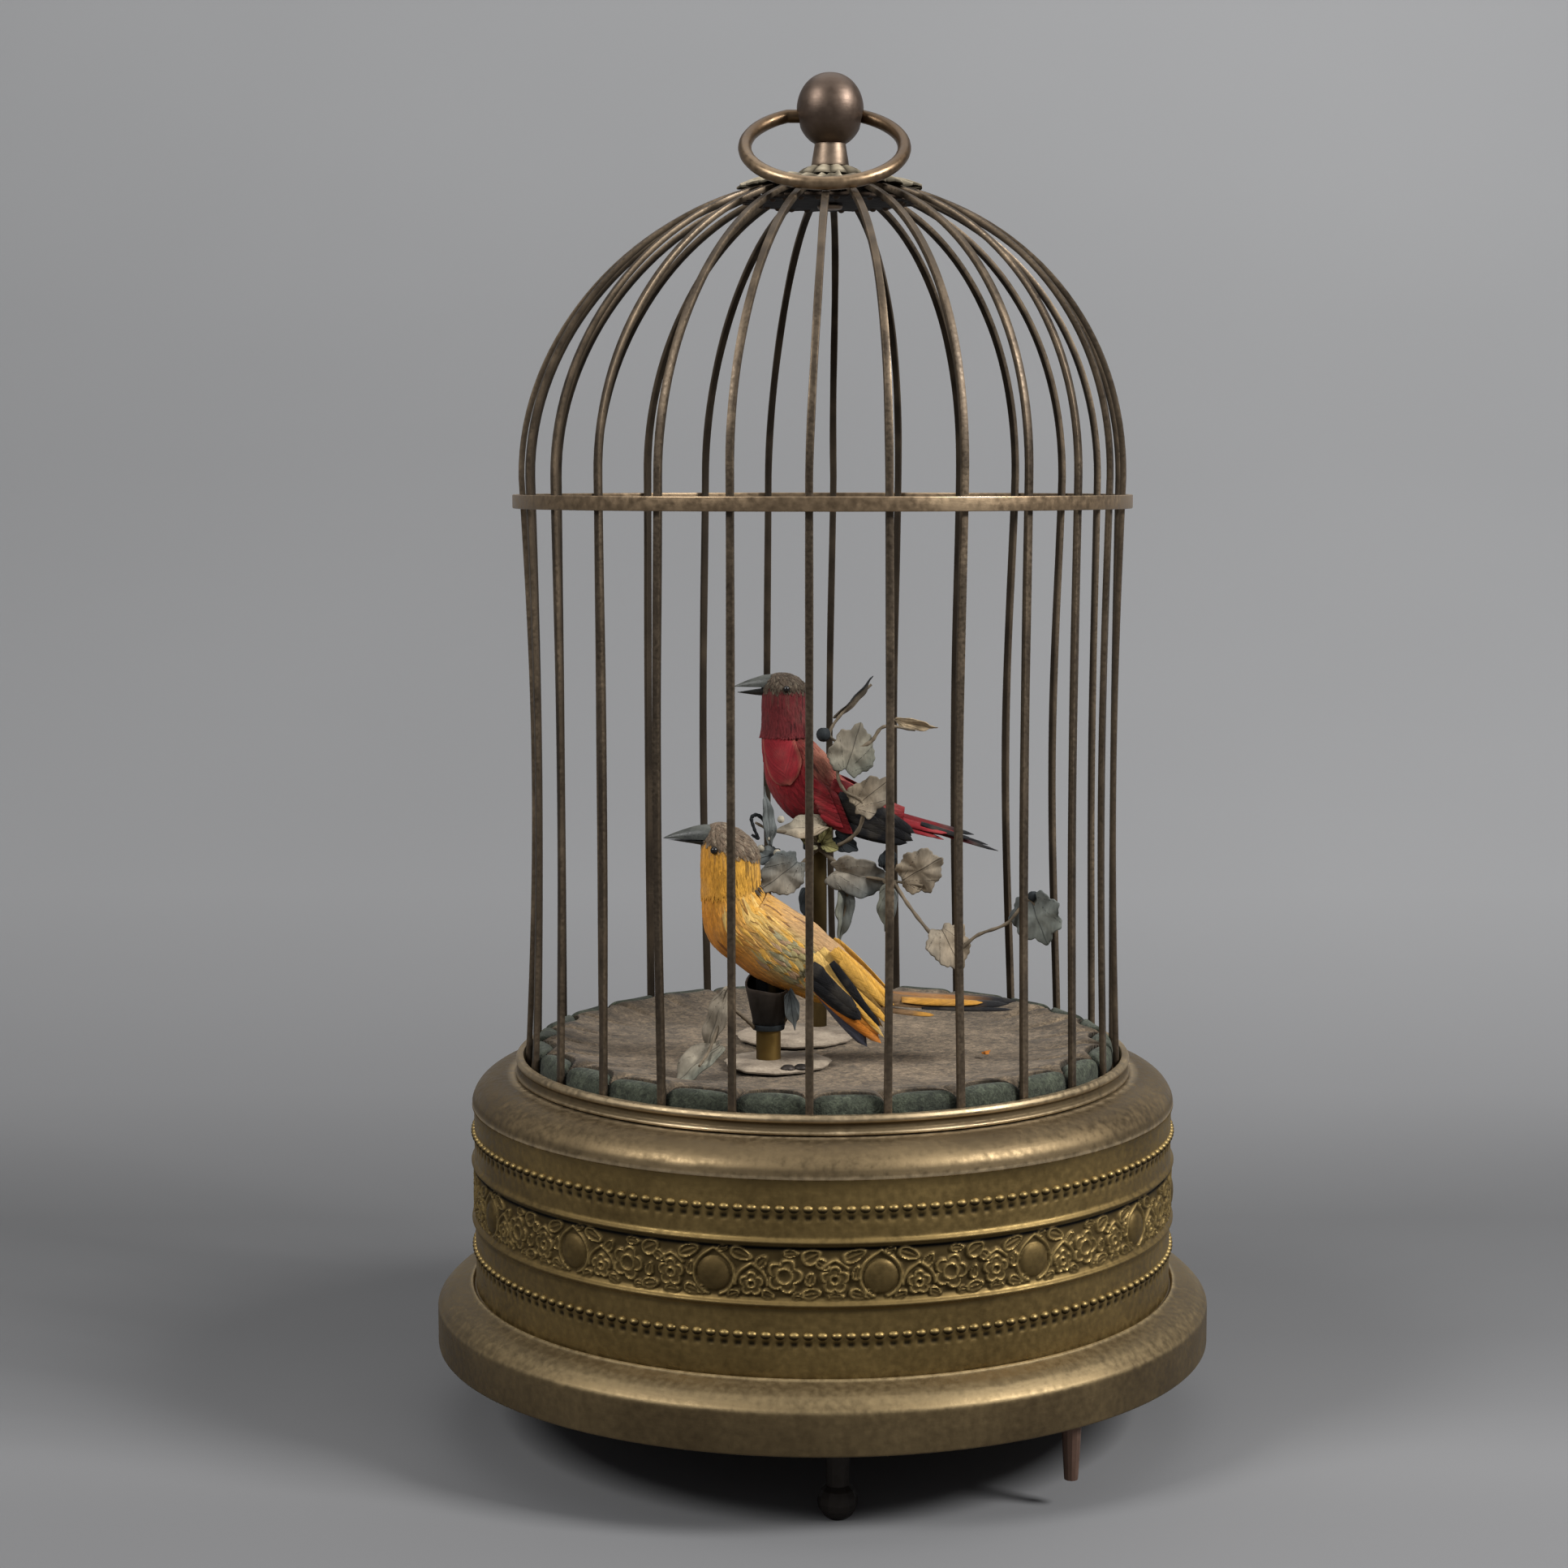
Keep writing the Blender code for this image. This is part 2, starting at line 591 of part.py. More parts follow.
def make_cage_wires():
    """Thirteen flat wires, each bent back at the crown so that it makes two neighbouring bars."""
    spacing = 2 * math.pi / BAR_COUNT
    radius = BAR_OUTER_RADIUS - BAR_THICKNESS / 2
    rise = DOME_RISE - BAR_THICKNESS / 2
    last = math.acos(CROWN_RADIUS / radius)
    steps = 7
    side = [(radius, BAR_FOOT), (radius, SPRING_LINE)]
    for i in range(1, steps + 1):
        angle = last * i / steps
        side.append((radius * math.cos(angle), SPRING_LINE + rise * math.sin(angle)))
    up = [(r, 0, z) for r, z in side]
    down = [(r * math.cos(spacing), r * math.sin(spacing), z) for r, z in reversed(side)]
    middle = Vector((math.cos(spacing / 2), math.sin(spacing / 2), 0)) * CROWN_RADIUS * math.cos(spacing / 2)
    half = CROWN_RADIUS * math.sin(spacing / 2)
    inward = -middle.normalized()
    across = Vector((math.sin(spacing / 2), -math.cos(spacing / 2), 0))
    turn_back = []
    for angle in (45, 90, 135):
        spot = middle + half * (math.cos(math.radians(angle)) * across + math.sin(math.radians(angle)) * inward)
        turn_back.append((spot.x, spot.y, SPRING_LINE + dome_height(spot.length, radius, rise)))
    curve = bpy.data.curves.new("cage_wire", "CURVE")
    curve.dimensions = "3D"
    curve.twist_mode = "MINIMUM"
    curve.bevel_depth = BAR_THICKNESS / 2
    curve.bevel_resolution = 0
    curve.extrude = (BAR_WIDTH - BAR_THICKNESS) / 2
    curve.use_fill_caps = True
    path = up + turn_back + down
    spline = curve.splines.new("POLY")
    spline.points.add(len(path) - 1)
    for point, place in zip(spline.points, path):
        point.co = (*place, 1)
    curve.materials.append(finish("dull_brass"))
    for i in range(BAR_COUNT // 2):
        wire = added(f"cage_wire_{i + 1:02d}", curve)
        wire.rotation_euler.z = math.radians(BAR_PHASE) + 2 * spacing * i


def make_crown():
    """Scalloped plate under the wires, leafy collar over them, neck with its leafy foot, and ball."""
    wire_radius = BAR_OUTER_RADIUS - BAR_THICKNESS
    plate_edge = CROWN_RADIUS + 0.3 * MM
    under_wires = SPRING_LINE + dome_height(plate_edge, wire_radius, DOME_RISE - BAR_THICKNESS)
    plate_low = under_wires - GAP - CROWN_PLATE_THICKNESS
    edge = []
    per_bar = 4
    for i in range(BAR_COUNT * per_bar):
        angle = math.radians(BAR_PHASE) + 2 * math.pi * i / (BAR_COUNT * per_bar)
        radius = plate_edge - SCALLOP_DEPTH * math.sin(math.pi * (i % per_bar) / per_bar)
        edge.append((radius * math.cos(angle), radius * math.sin(angle)))
    stem_hole = circle((0, 0), STEM_RADIUS + GAP)
    plate("crown_plate", [edge, stem_hole], plate_low, CROWN_PLATE_THICKNESS, "dark_bronze")

    def over_wires(radius):
        return SPRING_LINE + dome_height(radius, BAR_OUTER_RADIUS, DOME_RISE) + GAP

    stations = (COLLAR_RADIUS, CROWN_RADIUS * 0.78, CROWN_RADIUS * 0.45)
    lows = [(r, over_wires(r)) for r in stations]
    top = lows[-1][1] + COLLAR_THICKNESS
    profile = [(STEM_RADIUS + GAP, top)]
    profile += [(r, z + COLLAR_THICKNESS) for r, z in reversed(lows)]
    profile += lows
    profile.append((STEM_RADIUS + GAP, top - COLLAR_THICKNESS))
    turned("crown_collar", profile, "verdigris_brass", segments=24)

    rosette_low = top + GAP
    neck_low = rosette_low + ROSETTE_HEIGHT
    neck_top = neck_low + NECK_HEIGHT
    ball_z = neck_top + GAP + BALL_RADIUS
    stud_top = neck_top + 1.8 * MM
    rivet_low = plate_low - GAP - 1.0 * MM
    profile = [(0, stud_top), (STEM_RADIUS * 0.8, stud_top), (STEM_RADIUS * 0.8, neck_top)]
    profile += [(NECK_TOP_RADIUS, neck_top), (NECK_TOP_RADIUS * 1.1, neck_low + NECK_HEIGHT * 0.5)]
    profile += [(NECK_BASE_RADIUS, neck_low), (ROSETTE_RADIUS * 0.7, neck_low - ROSETTE_HEIGHT * 0.15)]
    profile += [(ROSETTE_RADIUS, rosette_low + ROSETTE_HEIGHT * 0.5), (ROSETTE_RADIUS * 0.9, rosette_low)]
    profile += [(STEM_RADIUS, rosette_low), (STEM_RADIUS, plate_low - GAP)]
    profile += [(STEM_RADIUS * 1.8, plate_low - GAP), (STEM_RADIUS * 1.8, rivet_low), (0, rivet_low)]
    turned("finial_neck", profile, "dull_brass", segments=16)

    def build_ball(work):
        bmesh.ops.create_uvsphere(
            work, u_segments=20, v_segments=12, radius=BALL_RADIUS, matrix=Matrix.Translation((0, 0, ball_z))
        )

    ball = mesh_of("ball_blank", build_ball)
    pivot_z = ball_z - RING_BELOW_BALL_CENTRE
    reach = BALL_RADIUS + 2 * MM
    cross = rod("cross_hole", (-reach, 0, pivot_z), (reach, 0, pivot_z), RING_WIRE_RADIUS + GAP)
    seat = rod("stud_hole", (0, 0, neck_top - 2 * MM), (0, 0, stud_top + GAP), STEM_RADIUS * 0.8 + GAP)
    smoothed(cut("finial_ball", [ball, cross, seat], "dark_bronze"))
    return pivot_z


def make_carrying_ring(pivot_z):
    """The carrying ring, whose straight side passes through the ball; it hangs forward onto the dome."""
    to_centre = math.sqrt(RING_RADIUS**2 - RING_PIN_HALF_LENGTH**2)
    half_open = math.asin(RING_PIN_HALF_LENGTH / RING_RADIUS)
    steps = 26
    tilt = math.radians(RING_TILT)
    points = []
    for i in range(steps + 1):
        angle = half_open + 2 * (math.pi - half_open) * i / steps
        x = RING_RADIUS * math.sin(angle)
        out = to_centre - RING_RADIUS * math.cos(angle)
        points.append((x, -out * math.cos(tilt), pivot_z - out * math.sin(tilt)))
    wire = tube("carrying_ring", points, RING_WIRE_RADIUS, "dull_brass", closed=True)
    on_axis(wire, (0, 0, pivot_z)).data.materials.append(finish("dull_brass"))


def make_stage():
    """The stage plate and its felt, with the perch tubes' holes and the two discs."""
    edge = BAR_INNER_RADIUS - GAP
    posts = ((FRONT_PERCH, FRONT_TUBE_RADIUS), (REAR_PERCH, REAR_TUBE_RADIUS))
    holes = [circle(centre, radius + GAP) for centre, radius in posts]
    plate("stage_plate", [circle((0, 0), edge, RING_SEGMENTS)] + holes, BAR_FOOT, STAGE_THICKNESS, "stage_wood")
    profile = [(0, FELT_TOP), (edge - 3.0 * MM, FELT_TOP), (edge - 1.0 * MM, FELT_TOP - 0.6 * MM)]
    profile += [(edge, FELT_TOP - 1.4 * MM), (edge, FELT_LOW), (0, FELT_LOW)]
    felt = turned("felt_floor", profile, "dusty_felt", segments=RING_SEGMENTS)
    drilled(felt, *[(*centre, radius + GAP, FELT_LOW - MM, FELT_TOP + MM) for centre, radius in posts])
    discs = (
        ("front_post_disc", FRONT_DISC_OFFSET, FRONT_DISC_RADIUS),
        ("rear_post_disc", REAR_DISC_OFFSET, REAR_DISC_RADIUS),
    )
    for (name, step, radius), (centre, tube_radius) in zip(discs, posts):
        outline = circle(offset(centre, step), radius, 20)
        plate(name, [outline, circle(centre, tube_radius + GAP)], DISC_LOW, DISC_THICKNESS, "pale_card")


def make_perches():
    """Each perch tube runs through the stage up into its bird, with a push rod inside."""
    low = BAR_FOOT - TUBE_BELOW_STAGE
    top = FELT_TOP + FRONT_PERCH_TOP
    sleeve = FRONT_SLEEVE_RADIUS
    sleeve_top = top - FRONT_SLEEVE_BELOW_TOP
    profile = [(FRONT_TUBE_RADIUS, top), (FRONT_TUBE_RADIUS, sleeve_top), (sleeve, sleeve_top)]
    sleeve_low = sleeve_top - FRONT_SLEEVE_HEIGHT
    profile += [(FRONT_SLEEVE_LOW_RADIUS, sleeve_low), (FRONT_TUBE_RADIUS, sleeve_low)]
    profile += [(FRONT_TUBE_RADIUS, low), (TUBE_BORE_RADIUS, low), (TUBE_BORE_RADIUS, top)]
    turned("front_perch_tube", profile, "dull_brass", FRONT_PERCH)
    top = FELT_TOP + REAR_PERCH_TOP
    profile = [(REAR_TUBE_RADIUS, top), (REAR_TUBE_RADIUS, low), (TUBE_BORE_RADIUS, low), (TUBE_BORE_RADIUS, top)]
    turned("rear_perch_tube", profile, "dull_brass", REAR_PERCH)


# Birds: (x, z, radius) in bird units from the top centre of the perch tube, beak towards -X
FRONT_BIRD = {
    "body": [
        (-7.7, 21.0, 5.2), (-7.4, 16.5, 6.0), (-5.6, 11.3, 7.5), (-2.2, 8.9, 7.8), (1.2, 6.3, 7.9),
        (5.1, 4.2, 7.7), (8.8, 1.9, 6.8), (12.2, -0.1, 6.2), (16.0, -1.9, 4.8), (20.5, -4.5, 3.4), (23.5, -6.1, 2.4),
    ],
    "wing": [(2.0, 5.5, 2.0), (6.5, 2.0, 4.6), (12.0, -3.8, 4.6), (17.5, -9.0, 3.4), (23.6, -14.6, 0.5)],
    "wing_out": 5.6,
    "tail": [(24.4, -6.0, 1.1), (27.5, -5.8, 2.1), (36.0, -5.3, 2.0), (44.0, -5.2, 1.5), (50.2, -5.6, 0.35)],
    "head": [(5.5, 0.0), (5.8, 3.0), (5.85, 6.2), (5.2, 8.8), (3.9, 10.9), (2.0, 12.3), (0.0, 12.8)],
    "neck": (-7.8, 18.2),
    "beak": ((-3.0, 10.2), (-13.2, 9.6), 2.5, 9.3),
    "beak_open": 0.0,
    "colours": ("yellow_feathers", "grey_brown_feathers"),
}
REAR_BIRD = {
    "body": [
        (-7.2, 18.0, 4.6), (-7.0, 13.6, 5.1), (-5.6, 10.2, 6.4), (-4.2, 7.4, 7.2), (-1.4, 3.3, 7.1),
        (3.2, 0.8, 5.9), (7.5, -0.3, 4.8), (12.0, -1.4, 3.7), (15.5, -2.0, 3.0), (18.2, -2.4, 2.3),
    ],
    "wing": [(0.5, 3.5, 1.8), (4.5, 0.0, 3.9), (10.0, -3.2, 3.8), (15.5, -5.2, 2.5), (20.4, -5.8, 0.5)],
    "wing_out": 4.2,
    "tail": [(19.2, -2.2, 1.0), (22.0, -2.6, 1.9), (27.0, -4.2, 1.4), (31.5, -5.9, 0.8), (38.6, -8.9, 0.3)],
    "head": [(4.7, 0.0), (4.6, 3.5), (4.5, 7.0), (4.55, 9.4), (3.9, 11.2), (2.3, 12.5), (0.0, 13.0)],
    "neck": (-7.2, 15.2),
    "beak": ((-2.5, 10.9), (-10.6, 10.5), 2.1, 10.2),
    "beak_open": 8.0,
    "colours": ("red_feathers", "grey_brown_feathers"),
}
BODY_FLATNESS = 0.86
CUTTER_REACH = 30 * BIRD_UNIT
WING_THINNESS = 0.35
TAIL_WIDENING = 1.5


def swelling(name, spine, origin, stretch, side_step=0.0):
    """A form that swells and tapers along a spine, stretched sideways."""
    x0, y0, z0 = origin
    y = y0 + side_step
    points = [(x0 + x * BIRD_UNIT, y, z0 + z * BIRD_UNIT) for x, z, _ in spine]
    radii = [r * BIRD_UNIT for _, _, r in spine]
    form = tube(name, points, BIRD_UNIT, radii=radii, resolution=3)
    return as_mesh(form, (1, stretch, 1), (0, y, 0))


def make_bird(side, bird, perch, perch_top, tube_radius, sleeve=None):
    """A bird of four pieces: body with wings, turning head, lower beak and tail."""
    feathers, cap = bird["colours"]
    origin = (perch[0], perch[1], FELT_TOP + perch_top)
    x0, y0, z0 = origin
    neck_x = x0 + bird["neck"][0] * BIRD_UNIT
    neck_z = z0 + bird["neck"][1] * BIRD_UNIT
    far = CUTTER_REACH

    body = swelling("form", bird["body"], origin, BODY_FLATNESS)
    above_neck = box("above", (neck_x - far, y0 - far, neck_z), (neck_x + far, y0 + far, neck_z + far))
    body = cut("trimmed", [body, above_neck])
    wings = []
    for way in (-1, 1):
        step = way * bird["wing_out"] * BIRD_UNIT
        wings.append(swelling(f"wing{way}", bird["wing"], origin, WING_THINNESS, step))
    body = joined("with_wings", [body] + wings)
    sockets = [rod("socket", (x0, y0, z0 - far), (x0, y0, z0 + GAP), tube_radius + GAP)]
    if sleeve:
        radius, below_top = sleeve
        sockets.append(rod("sleeve_socket", (x0, y0, z0 - far), (x0, y0, z0 - below_top + GAP), radius + GAP))
    rod_hole = rod("rod_hole", (x0, y0, z0 - MM), (x0, y0, z0 + PUSH_ROD_INTO_BIRD + PUSH_ROD_LIFT + MM), TUBE_BORE_RADIUS)
    spindle_low = neck_z - NECK_SPINDLE_LENGTH
    spindle_hole = rod(
        "spindle_hole", (neck_x, y0, spindle_low - GAP), (neck_x, y0, neck_z + MM), NECK_SPINDLE_RADIUS + GAP
    )
    smoothed(cut(f"{side}_bird_body", [body, rod_hole, spindle_hole] + sockets, feathers), 60)

    head_z = neck_z + GAP
    profile = [(r * BIRD_UNIT, head_z + z * BIRD_UNIT) for r, z in reversed(bird["head"])]
    profile += [(NECK_SPINDLE_RADIUS, head_z), (NECK_SPINDLE_RADIUS, spindle_low), (0, spindle_low)]
    skull = turned("skull", profile, at=(neck_x, y0), segments=14)
    (base_x, base_z), (tip_x, tip_z), base_radius, mouth = bird["beak"]
    base = (neck_x + base_x * BIRD_UNIT, y0, head_z + base_z * BIRD_UNIT)
    tip = (neck_x + tip_x * BIRD_UNIT, y0, head_z + tip_z * BIRD_UNIT)
    mouth_z = head_z + mouth * BIRD_UNIT
    root_x = neck_x + (base_x - 1.3) * BIRD_UNIT
    pocket_back = neck_x + (base_x - 1.0) * BIRD_UNIT

    def beak_cone(name):
        return rod(name, base, tip, base_radius * BIRD_UNIT, 0.25 * MM, segments=10)

    under = box("under", (tip[0] - MM, y0 - far, mouth_z - far), (base[0] + MM, y0 + far, mouth_z))
    upper = cut("upper", [beak_cone("beak_blank"), under])
    pocket = box(
        "pocket",
        (neck_x - 9 * MM, y0 - (base_radius * BIRD_UNIT + GAP), mouth_z - base_radius * BIRD_UNIT),
        (pocket_back, y0 + base_radius * BIRD_UNIT + GAP, mouth_z),
    )
    head = joined("skull_and_beak", [cut("skull_cut", [skull, pocket]), upper])
    smoothed(on_axis(head, (neck_x, y0, neck_z)), 60)
    head.name = f"{side}_bird_head"
    head.data.materials.clear()
    head.data.materials.append(finish(cap))

    keep = box("keep", (tip[0], y0 - far, mouth_z - far), (root_x + MM, y0 + far, mouth_z - GAP))
    jaw_tip = (tip[0] + 0.8 * MM, y0, mouth_z - GAP)
    jaw = rod("jaw_blank", (root_x, y0, mouth_z), jaw_tip, base_radius * BIRD_UNIT * 0.75, 0.35 * MM, segments=10)
    lower = kept_inside("lower", [jaw, keep], "horn_grey")
    pivot = (root_x - 0.4 * MM, y0, mouth_z - 0.6 * MM)
    lower = on_axis(lower, pivot)
    lower.rotation_euler.y = -math.radians(bird["beak_open"])
    lower.name = f"{side}_bird_lower_beak"
    smoothed(lower, 60)

    tail = swelling("tail_form", bird["tail"], origin, TAIL_WIDENING)
    last = bird["body"][-1]
    tail = on_axis(tail, (x0 + last[0] * BIRD_UNIT, y0, z0 + last[1] * BIRD_UNIT))
    tail.name = f"{side}_bird_tail"
    tail.data.materials.append(finish(feathers))
    smoothed(tail, 60)

    rod_low = LEVER_TOP + GAP
    rod_top = z0 + PUSH_ROD_INTO_BIRD
    rod(f"{side}_push_rod", (x0, y0, rod_low), (x0, y0, rod_top), PUSH_ROD_RADIUS, None, "steel", 8)


# Leaf sprays: stem points and leaves in leaf units from the perch's axis at felt height
LEAF_THICKNESS = 0.6 * MM
STEM_WIRE_RADIUS = 0.55 * MM
REAR_STEMS = [
    [(0.0, -2.9, 40.3), (4.5, -5.5, 41.0), (8.6, -7.5, 44.5), (9.4, -8.0, 50.2), (5.5, -8.2, 53.0), (4.2, -8.2, 57.0),
     (6.4, -8.0, 61.5), (2.5, -7.0, 64.5), (5.5, -6.0, 69.5), (11.3, -4.5, 75.0)],
    [(6.4, -8.0, 61.0), (11.0, -7.5, 63.0), (14.0, -7.0, 66.3), (20.5, -6.5, 65.5)],
    [(0.0, -2.9, 40.0), (5.0, -6.5, 36.5), (8.2, -8.0, 34.9), (16.0, -9.5, 33.8), (22.1, -10.5, 33.0)],
    [(16.0, -9.5, 33.8), (19.0, -10.5, 29.0), (23.9, -12.0, 22.9), (28.3, -13.0, 19.0), (33.5, -13.5, 22.9),
     (39.6, -14.5, 25.6), (44.2, -15.0, 29.1), (47.2, -15.5, 24.0)],
    [(0.0, -2.9, 40.6), (-4.2, -6.0, 43.4), (-9.6, -7.0, 44.2), (-13.2, -7.5, 46.0)],
    [(0.0, -2.9, 39.8), (-3.5, -5.5, 37.0), (-7.5, -7.0, 34.3)],
    [(5.0, -6.5, 36.5), (6.3, -6.8, 31.7), (5.0, -6.8, 23.5)],
    [(14.0, -9.2, 34.1), (15.2, -9.4, 31.0), (14.8, -9.4, 27.5)],
]
REAR_LEAVES = [
    ((9.4, -8.4, 50.1), 4.6, (80, 0, 15)),
    ((6.4, -8.3, 61.4), 5.4, (75, 10, -10)),
    ((19.6, -6.6, 65.6), 3.9, (25, 8, 0)),
    ((8.2, -8.2, 34.9), 4.8, (60, 5, 0)),
    ((22.1, -10.7, 33.4), 4.9, (80, 0, 20)),
    ((28.3, -13.2, 19.0), 4.6, (75, 0, -20)),
    ((47.2, -15.7, 23.6), 4.9, (80, 0, 35)),
    ((-4.2, -6.3, 43.6), 4.2, (50, 0, -15)),
    ((-7.5, -7.2, 34.3), 5.2, (70, 0, -25)),
    ((5.4, -6.9, 26.5), 3.4, (80, 0, 60)),
    ((15.0, -9.5, 29.0), 3.2, (80, 0, 75)),
]
FRONT_STEMS = [
    [(-0.5, -3.8, 3.0), (-4.0, -6.0, 9.0), (-7.0, -8.5, 12.5), (-9.8, -11.0, 9.5), (-11.5, -14.0, 5.5),
     (-13.2, -20.0, 3.6)],
]
FRONT_LEAVES = [
    ((-9.6, -10.6, 9.9), 3.6, (80, 0, 60)),
    ((-13.4, -21.0, 3.5), 4.4, (22, 10, 0)),
]


def leaf(name, origin, centre, radius, turns):
    """A thin round leaf blank, turned about X, Y and Z by degrees."""
    spot = Vector(origin) + Vector(centre) * LEAF_UNIT
    turn = Matrix.Rotation(math.radians(turns[2]), 4, "Z")
    turn = turn @ Matrix.Rotation(math.radians(turns[1]), 4, "Y") @ Matrix.Rotation(math.radians(turns[0]), 4, "X")

    def build(work):
        bmesh.ops.create_cone(
            work, cap_ends=True, segments=9, radius1=radius * LEAF_UNIT, radius2=radius * LEAF_UNIT,
            depth=LEAF_THICKNESS, matrix=Matrix.Translation(spot) @ turn,
        )

    return mesh_of(name, build)


def make_spray(name, perch, tube_radius, clip_height, stems, leaves):
    """A spray of cloth leaves on wire stems, held by a clip round its perch tube."""
    origin = (*perch, FELT_TOP)
    clip_low = FELT_TOP + clip_height
    inner = tube_radius + GAP
    outer = inner + SPRAY_CLIP_THICKNESS
    high = clip_low + SPRAY_CLIP_HEIGHT
    clip = turned("clip", [(outer, high), (outer, clip_low), (inner, clip_low), (inner, high)], at=perch)
    pieces = [clip]
    for i, stem in enumerate(stems):
        points = [(origin[0] + x * LEAF_UNIT, origin[1] + y * LEAF_UNIT, origin[2] + z * LEAF_UNIT) for x, y, z in stem]
        pieces.append(tube(f"stem_{i}", points, STEM_WIRE_RADIUS, resolution=0))
    for i, (centre, radius, turns) in enumerate(leaves):
        pieces.append(leaf(f"leaf_{i}", origin, centre, radius, turns))
    joined(name, pieces, "dusty_leaf")


# Movement places that follow from the gears and the perches
START_PIVOT = polar(FLANGE_RADIUS - START_PIVOT_INSET, START_AZIMUTH)
START_PEG = polar(FLANGE_RADIUS - START_PEG_INSET, START_AZIMUTH)
CAM_TRACK = (REAR_PERCH[1] - FRONT_PERCH[1]) / 2
CAM_CENTRE = (CAM_CENTRE_X, (REAR_PERCH[1] + FRONT_PERCH[1]) / 2)
BARREL_CENTRE = offset(CAM_CENTRE, polar(GEAR_MODULE * (BARREL_TEETH + CAM_PINION_TEETH) / 2, BARREL_DIRECTION))
FLY_CENTRE = offset(CAM_CENTRE, polar(GEAR_MODULE * (CAM_WHEEL_TEETH + FLY_PINION_TEETH) / 2, FLY_DIRECTION))
CLICK_STUD_RADIUS = 1.0 * MM
CLICK_REACH = 6.0 * MM
CLICK_CENTRE = offset(BARREL_CENTRE, (0, -(RATCHET_RADIUS + CLICK_REACH)))
START_PIN_RADIUS = 1.5 * MM
CAM_LOW = FRAME_TOP + 1.5 * MM
CAM_TOP = CAM_LOW + CAM_DISC_THICKNESS
LEVER_TIP_LOW = CAM_TOP + CAM_RIDGE_HEIGHT + GAP
LEVER_LOW = LEVER_TIP_LOW + LEVER_TIP_LENGTH
LEVER_TOP = LEVER_LOW + LEVER_HEIGHT


def gear_outline(centre, teeth, phase=0.0):
    """Trapezoid teeth with plenty of backlash; phase is a share of one tooth."""
    pitch = GEAR_MODULE * teeth / 2
    tip = pitch + 0.62 * GEAR_MODULE
    root = pitch - 0.95 * GEAR_MODULE
    points = []
    for i in range(teeth):
        for share, radius in ((-0.27, root), (-0.11, tip), (0.11, tip), (0.27, root)):
            angle = 2 * math.pi * (i + phase + share) / teeth
            points.append((centre[0] + radius * math.cos(angle), centre[1] + radius * math.sin(angle)))
    return points


def meshed_phase(teeth, degrees, gap_there):
    """The share of a tooth that puts a tooth, or a gap, at an angle seen from the gear's centre."""
    return teeth * degrees / 360 + (0.5 if gap_there else 0.0)


def vertical(name, centre, radius, low, high, finish_name=None, segments=SMALL_SEGMENTS):
    return rod(name, (*centre, low), (*centre, high), radius, None, finish_name, segments)


def make_frame():
    """The movement's upper plate with its riveted pillars and the post that carries the cam levers."""
    outlines = [circle((0, 0), FRAME_RADIUS, 32)]
    for centre in (BARREL_CENTRE, CAM_CENTRE, FLY_CENTRE):
        outlines.append(circle(centre, PIVOT_RADIUS + GAP, 8))
    top = plate("frame_disc", outlines, FRAME_LOW, FRAME_THICKNESS)
    pieces = [top]
    for i, angle in enumerate(PILLAR_ANGLES):
        centre = polar(PILLAR_CIRCLE, angle)
        pieces.append(vertical(f"pillar_{i}", centre, PILLAR_RADIUS, PLATE_TOP + GAP, FRAME_LOW + 0.7 * MM))
    pin_z = (LEVER_LOW + LEVER_TOP) / 2
    post = (LEVER_PIVOT_X, CAM_CENTRE[1])
    reach = CAM_TRACK + LEVER_WIDTH
    pieces.append(vertical("post", post, 2.5 * MM, FRAME_TOP - 0.7 * MM, pin_z + 2 * MM))
    ends = [(LEVER_PIVOT_X, post[1] - reach, pin_z), (LEVER_PIVOT_X, post[1] + reach, pin_z)]
    pieces.append(rod("pin", *ends, LEVER_PIN_RADIUS, segments=8))
    joined("movement_frame", pieces, "bright_brass")


def make_barrel():
    """The toothed mainspring barrel, open at the top, with the spring in it."""
    low = PLATE_TOP + BARREL_ABOVE_PLATE
    floor = low + GEAR_THICKNESS
    top = low + BARREL_HEIGHT
    phase = meshed_phase(BARREL_TEETH, BARREL_DIRECTION + 180, False)
    hole = circle(BARREL_CENTRE, ARBOR_RADIUS + GAP)
    toothed = plate("toothed", [gear_outline(BARREL_CENTRE, BARREL_TEETH, phase), hole], low, GEAR_THICKNESS)
    inner = BARREL_RADIUS - MM
    wall_low = floor - 0.7 * MM
    wall = turned(
        "wall", [(BARREL_RADIUS, top), (BARREL_RADIUS, wall_low), (inner, wall_low), (inner, top)],
        at=BARREL_CENTRE, segments=24,
    )
    on_axis(joined("mainspring_barrel", [toothed, wall], "bright_brass"), (*BARREL_CENTRE, low))

    curve = bpy.data.curves.new("mainspring", "CURVE")
    curve.dimensions = "3D"
    curve.extrude = (BARREL_HEIGHT - GEAR_THICKNESS) / 2 - GAP - MM
    per_turn = 12
    count = SPRING_TURNS * per_turn + 1
    first = ARBOR_RADIUS + 0.8 * MM
    last = inner - 0.8 * MM
    spline = curve.splines.new("POLY")
    spline.points.add(count - 1)
    for i, point in enumerate(spline.points):
        radius = first + (last - first) * i / (count - 1)
        x, y = polar(radius, 360 * i / per_turn)
        point.co = (x, y, 0, 1)
    ribbon = added("ribbon", curve)
    ribbon.location = (*BARREL_CENTRE, floor + GAP + curve.extrude)
    spring = as_mesh(ribbon)
    spring.name = "mainspring"
    thick = spring.modifiers.new("strip", "SOLIDIFY")
    thick.thickness = SPRING_STRIP
    thick.offset = 0
    spring.data.materials.append(finish("steel"))


